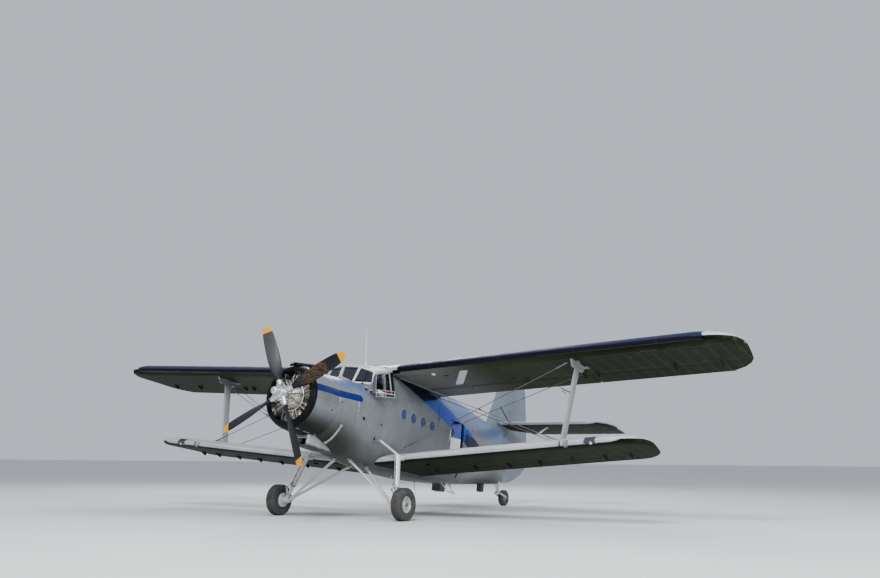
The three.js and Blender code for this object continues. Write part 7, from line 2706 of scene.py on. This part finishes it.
SLOT_FINISHES = {
    "silver": FUSELAGE, "navy": SLAT_PAINT, "black": BLACK, "blade": BLADE,
    "bright": BRIGHT, "engine": BURNT, "strut": PALE, "rubber": RUBBER,
    "glass": GLASS, "interior": INTERIOR, "seat": LEATHER,
}
NODE_FINISHES = {
    "canopy_frame": CANOPY_PAINT, "oil_cooler": COOLER_PAINT, "passenger_door": DOOR_PAINT,
    "interplane_strut_left": STRUT_GREY, "interplane_strut_right": STRUT_GREY,
    "stay_wires_left": WIRE_STEEL, "stay_wires_right": WIRE_STEEL,
    "tailplane": TAIL_PAINT, "elevator_left": TAIL_PAINT, "elevator_right": TAIL_PAINT,
    "fin": TAIL_PAINT, "rudder": TAIL_PAINT,
}


def finish_packed_solids():
    """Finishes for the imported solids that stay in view."""
    smooth = smooth_by_angle(math.radians(33))
    for name, node in NODES.items():
        if node.hide_render:
            continue
        old = node.data.materials[0].name.split(".")[0] if node.data.materials else ""
        paint = NODE_FINISHES.get(name) or SLOT_FINISHES.get(old, FUSELAGE)
        node.data.materials.clear()
        node.data.materials.append(paint)
        modifier = node.modifiers.new("smooth", "NODES")
        modifier.node_group = smooth


finish_packed_solids()


def build_studio():
    floor_mesh = bpy.data.meshes.new("studio_floor")
    reach = 400.0
    floor_mesh.from_pydata(
        [(-reach, -reach, 0), (reach, -reach, 0), (reach, reach, 0), (-reach, reach, 0)], [],
        [(0, 1, 2, 3)],
    )
    floor = bpy.data.objects.new("studio_floor", floor_mesh)
    bpy.context.scene.collection.objects.link(floor)
    finish = Finish("pale_floor", Roughness=0.85)
    soft = finish.noise(finish.rest_place(), 0.4, 3.0, 0.5)
    finish.feed(Base_Color=finish.mix(soft, (0.60, 0.61, 0.61), (0.66, 0.67, 0.67)))
    floor_mesh.materials.append(finish.material)

    world = bpy.data.worlds.new("studio")
    bpy.context.scene.world = world
    world.use_nodes = True
    backdrop = world.node_tree.nodes["Background"]
    backdrop.inputs["Color"].default_value = (0.80, 0.86, 0.95, 1.0)
    backdrop.inputs["Strength"].default_value = 0.75

    # Lamps: name, place from the hub, energy, side length
    lamps = [
        ("key_lamp", (9.0, -17.0, 17.0), 9000.0, 9.0),
        ("fill_lamp", (22.0, 0.0, 9.0), 2600.0, 12.0),
        ("rim_lamp", (-12.0, 20.0, 14.0), 3500.0, 10.0),
    ]
    for name, offset, energy, side in lamps:
        lamp = bpy.data.lights.new(name, "AREA")
        lamp.energy = energy
        lamp.size = side
        holder = bpy.data.objects.new(name, lamp)
        bpy.context.scene.collection.objects.link(holder)
        holder.location = HUB + Vector(offset)
        aim = HUB + at(0.0, 4.0, -0.5) - holder.location
        holder.rotation_euler = aim.to_track_quat("-Z", "Y").to_euler()


def build_camera():
    lens = bpy.data.cameras.new("photo_camera")
    lens.sensor_width = SENSOR
    lens.lens = FOCAL_PIXELS / PICTURE_WIDTH * SENSOR
    lens.clip_end = 300.0
    camera = bpy.data.objects.new("photo_camera", lens)
    bpy.context.scene.collection.objects.link(camera)
    camera.location = HUB + CAMERA_FROM_HUB
    ahead = at(
        -math.sin(CAMERA_YAW) * math.cos(CAMERA_PITCH),
        math.cos(CAMERA_YAW) * math.cos(CAMERA_PITCH),
        math.sin(CAMERA_PITCH),
    )
    level = at(math.cos(CAMERA_YAW), math.sin(CAMERA_YAW), 0.0)
    rise = level.cross(ahead)
    right = level * math.cos(CAMERA_ROLL) + rise * math.sin(CAMERA_ROLL)
    up = rise * math.cos(CAMERA_ROLL) - level * math.sin(CAMERA_ROLL)
    axes = Matrix((right, up, -ahead)).transposed()
    camera.rotation_euler = axes.to_euler()
    bpy.context.scene.camera = camera


build_studio()
build_camera()
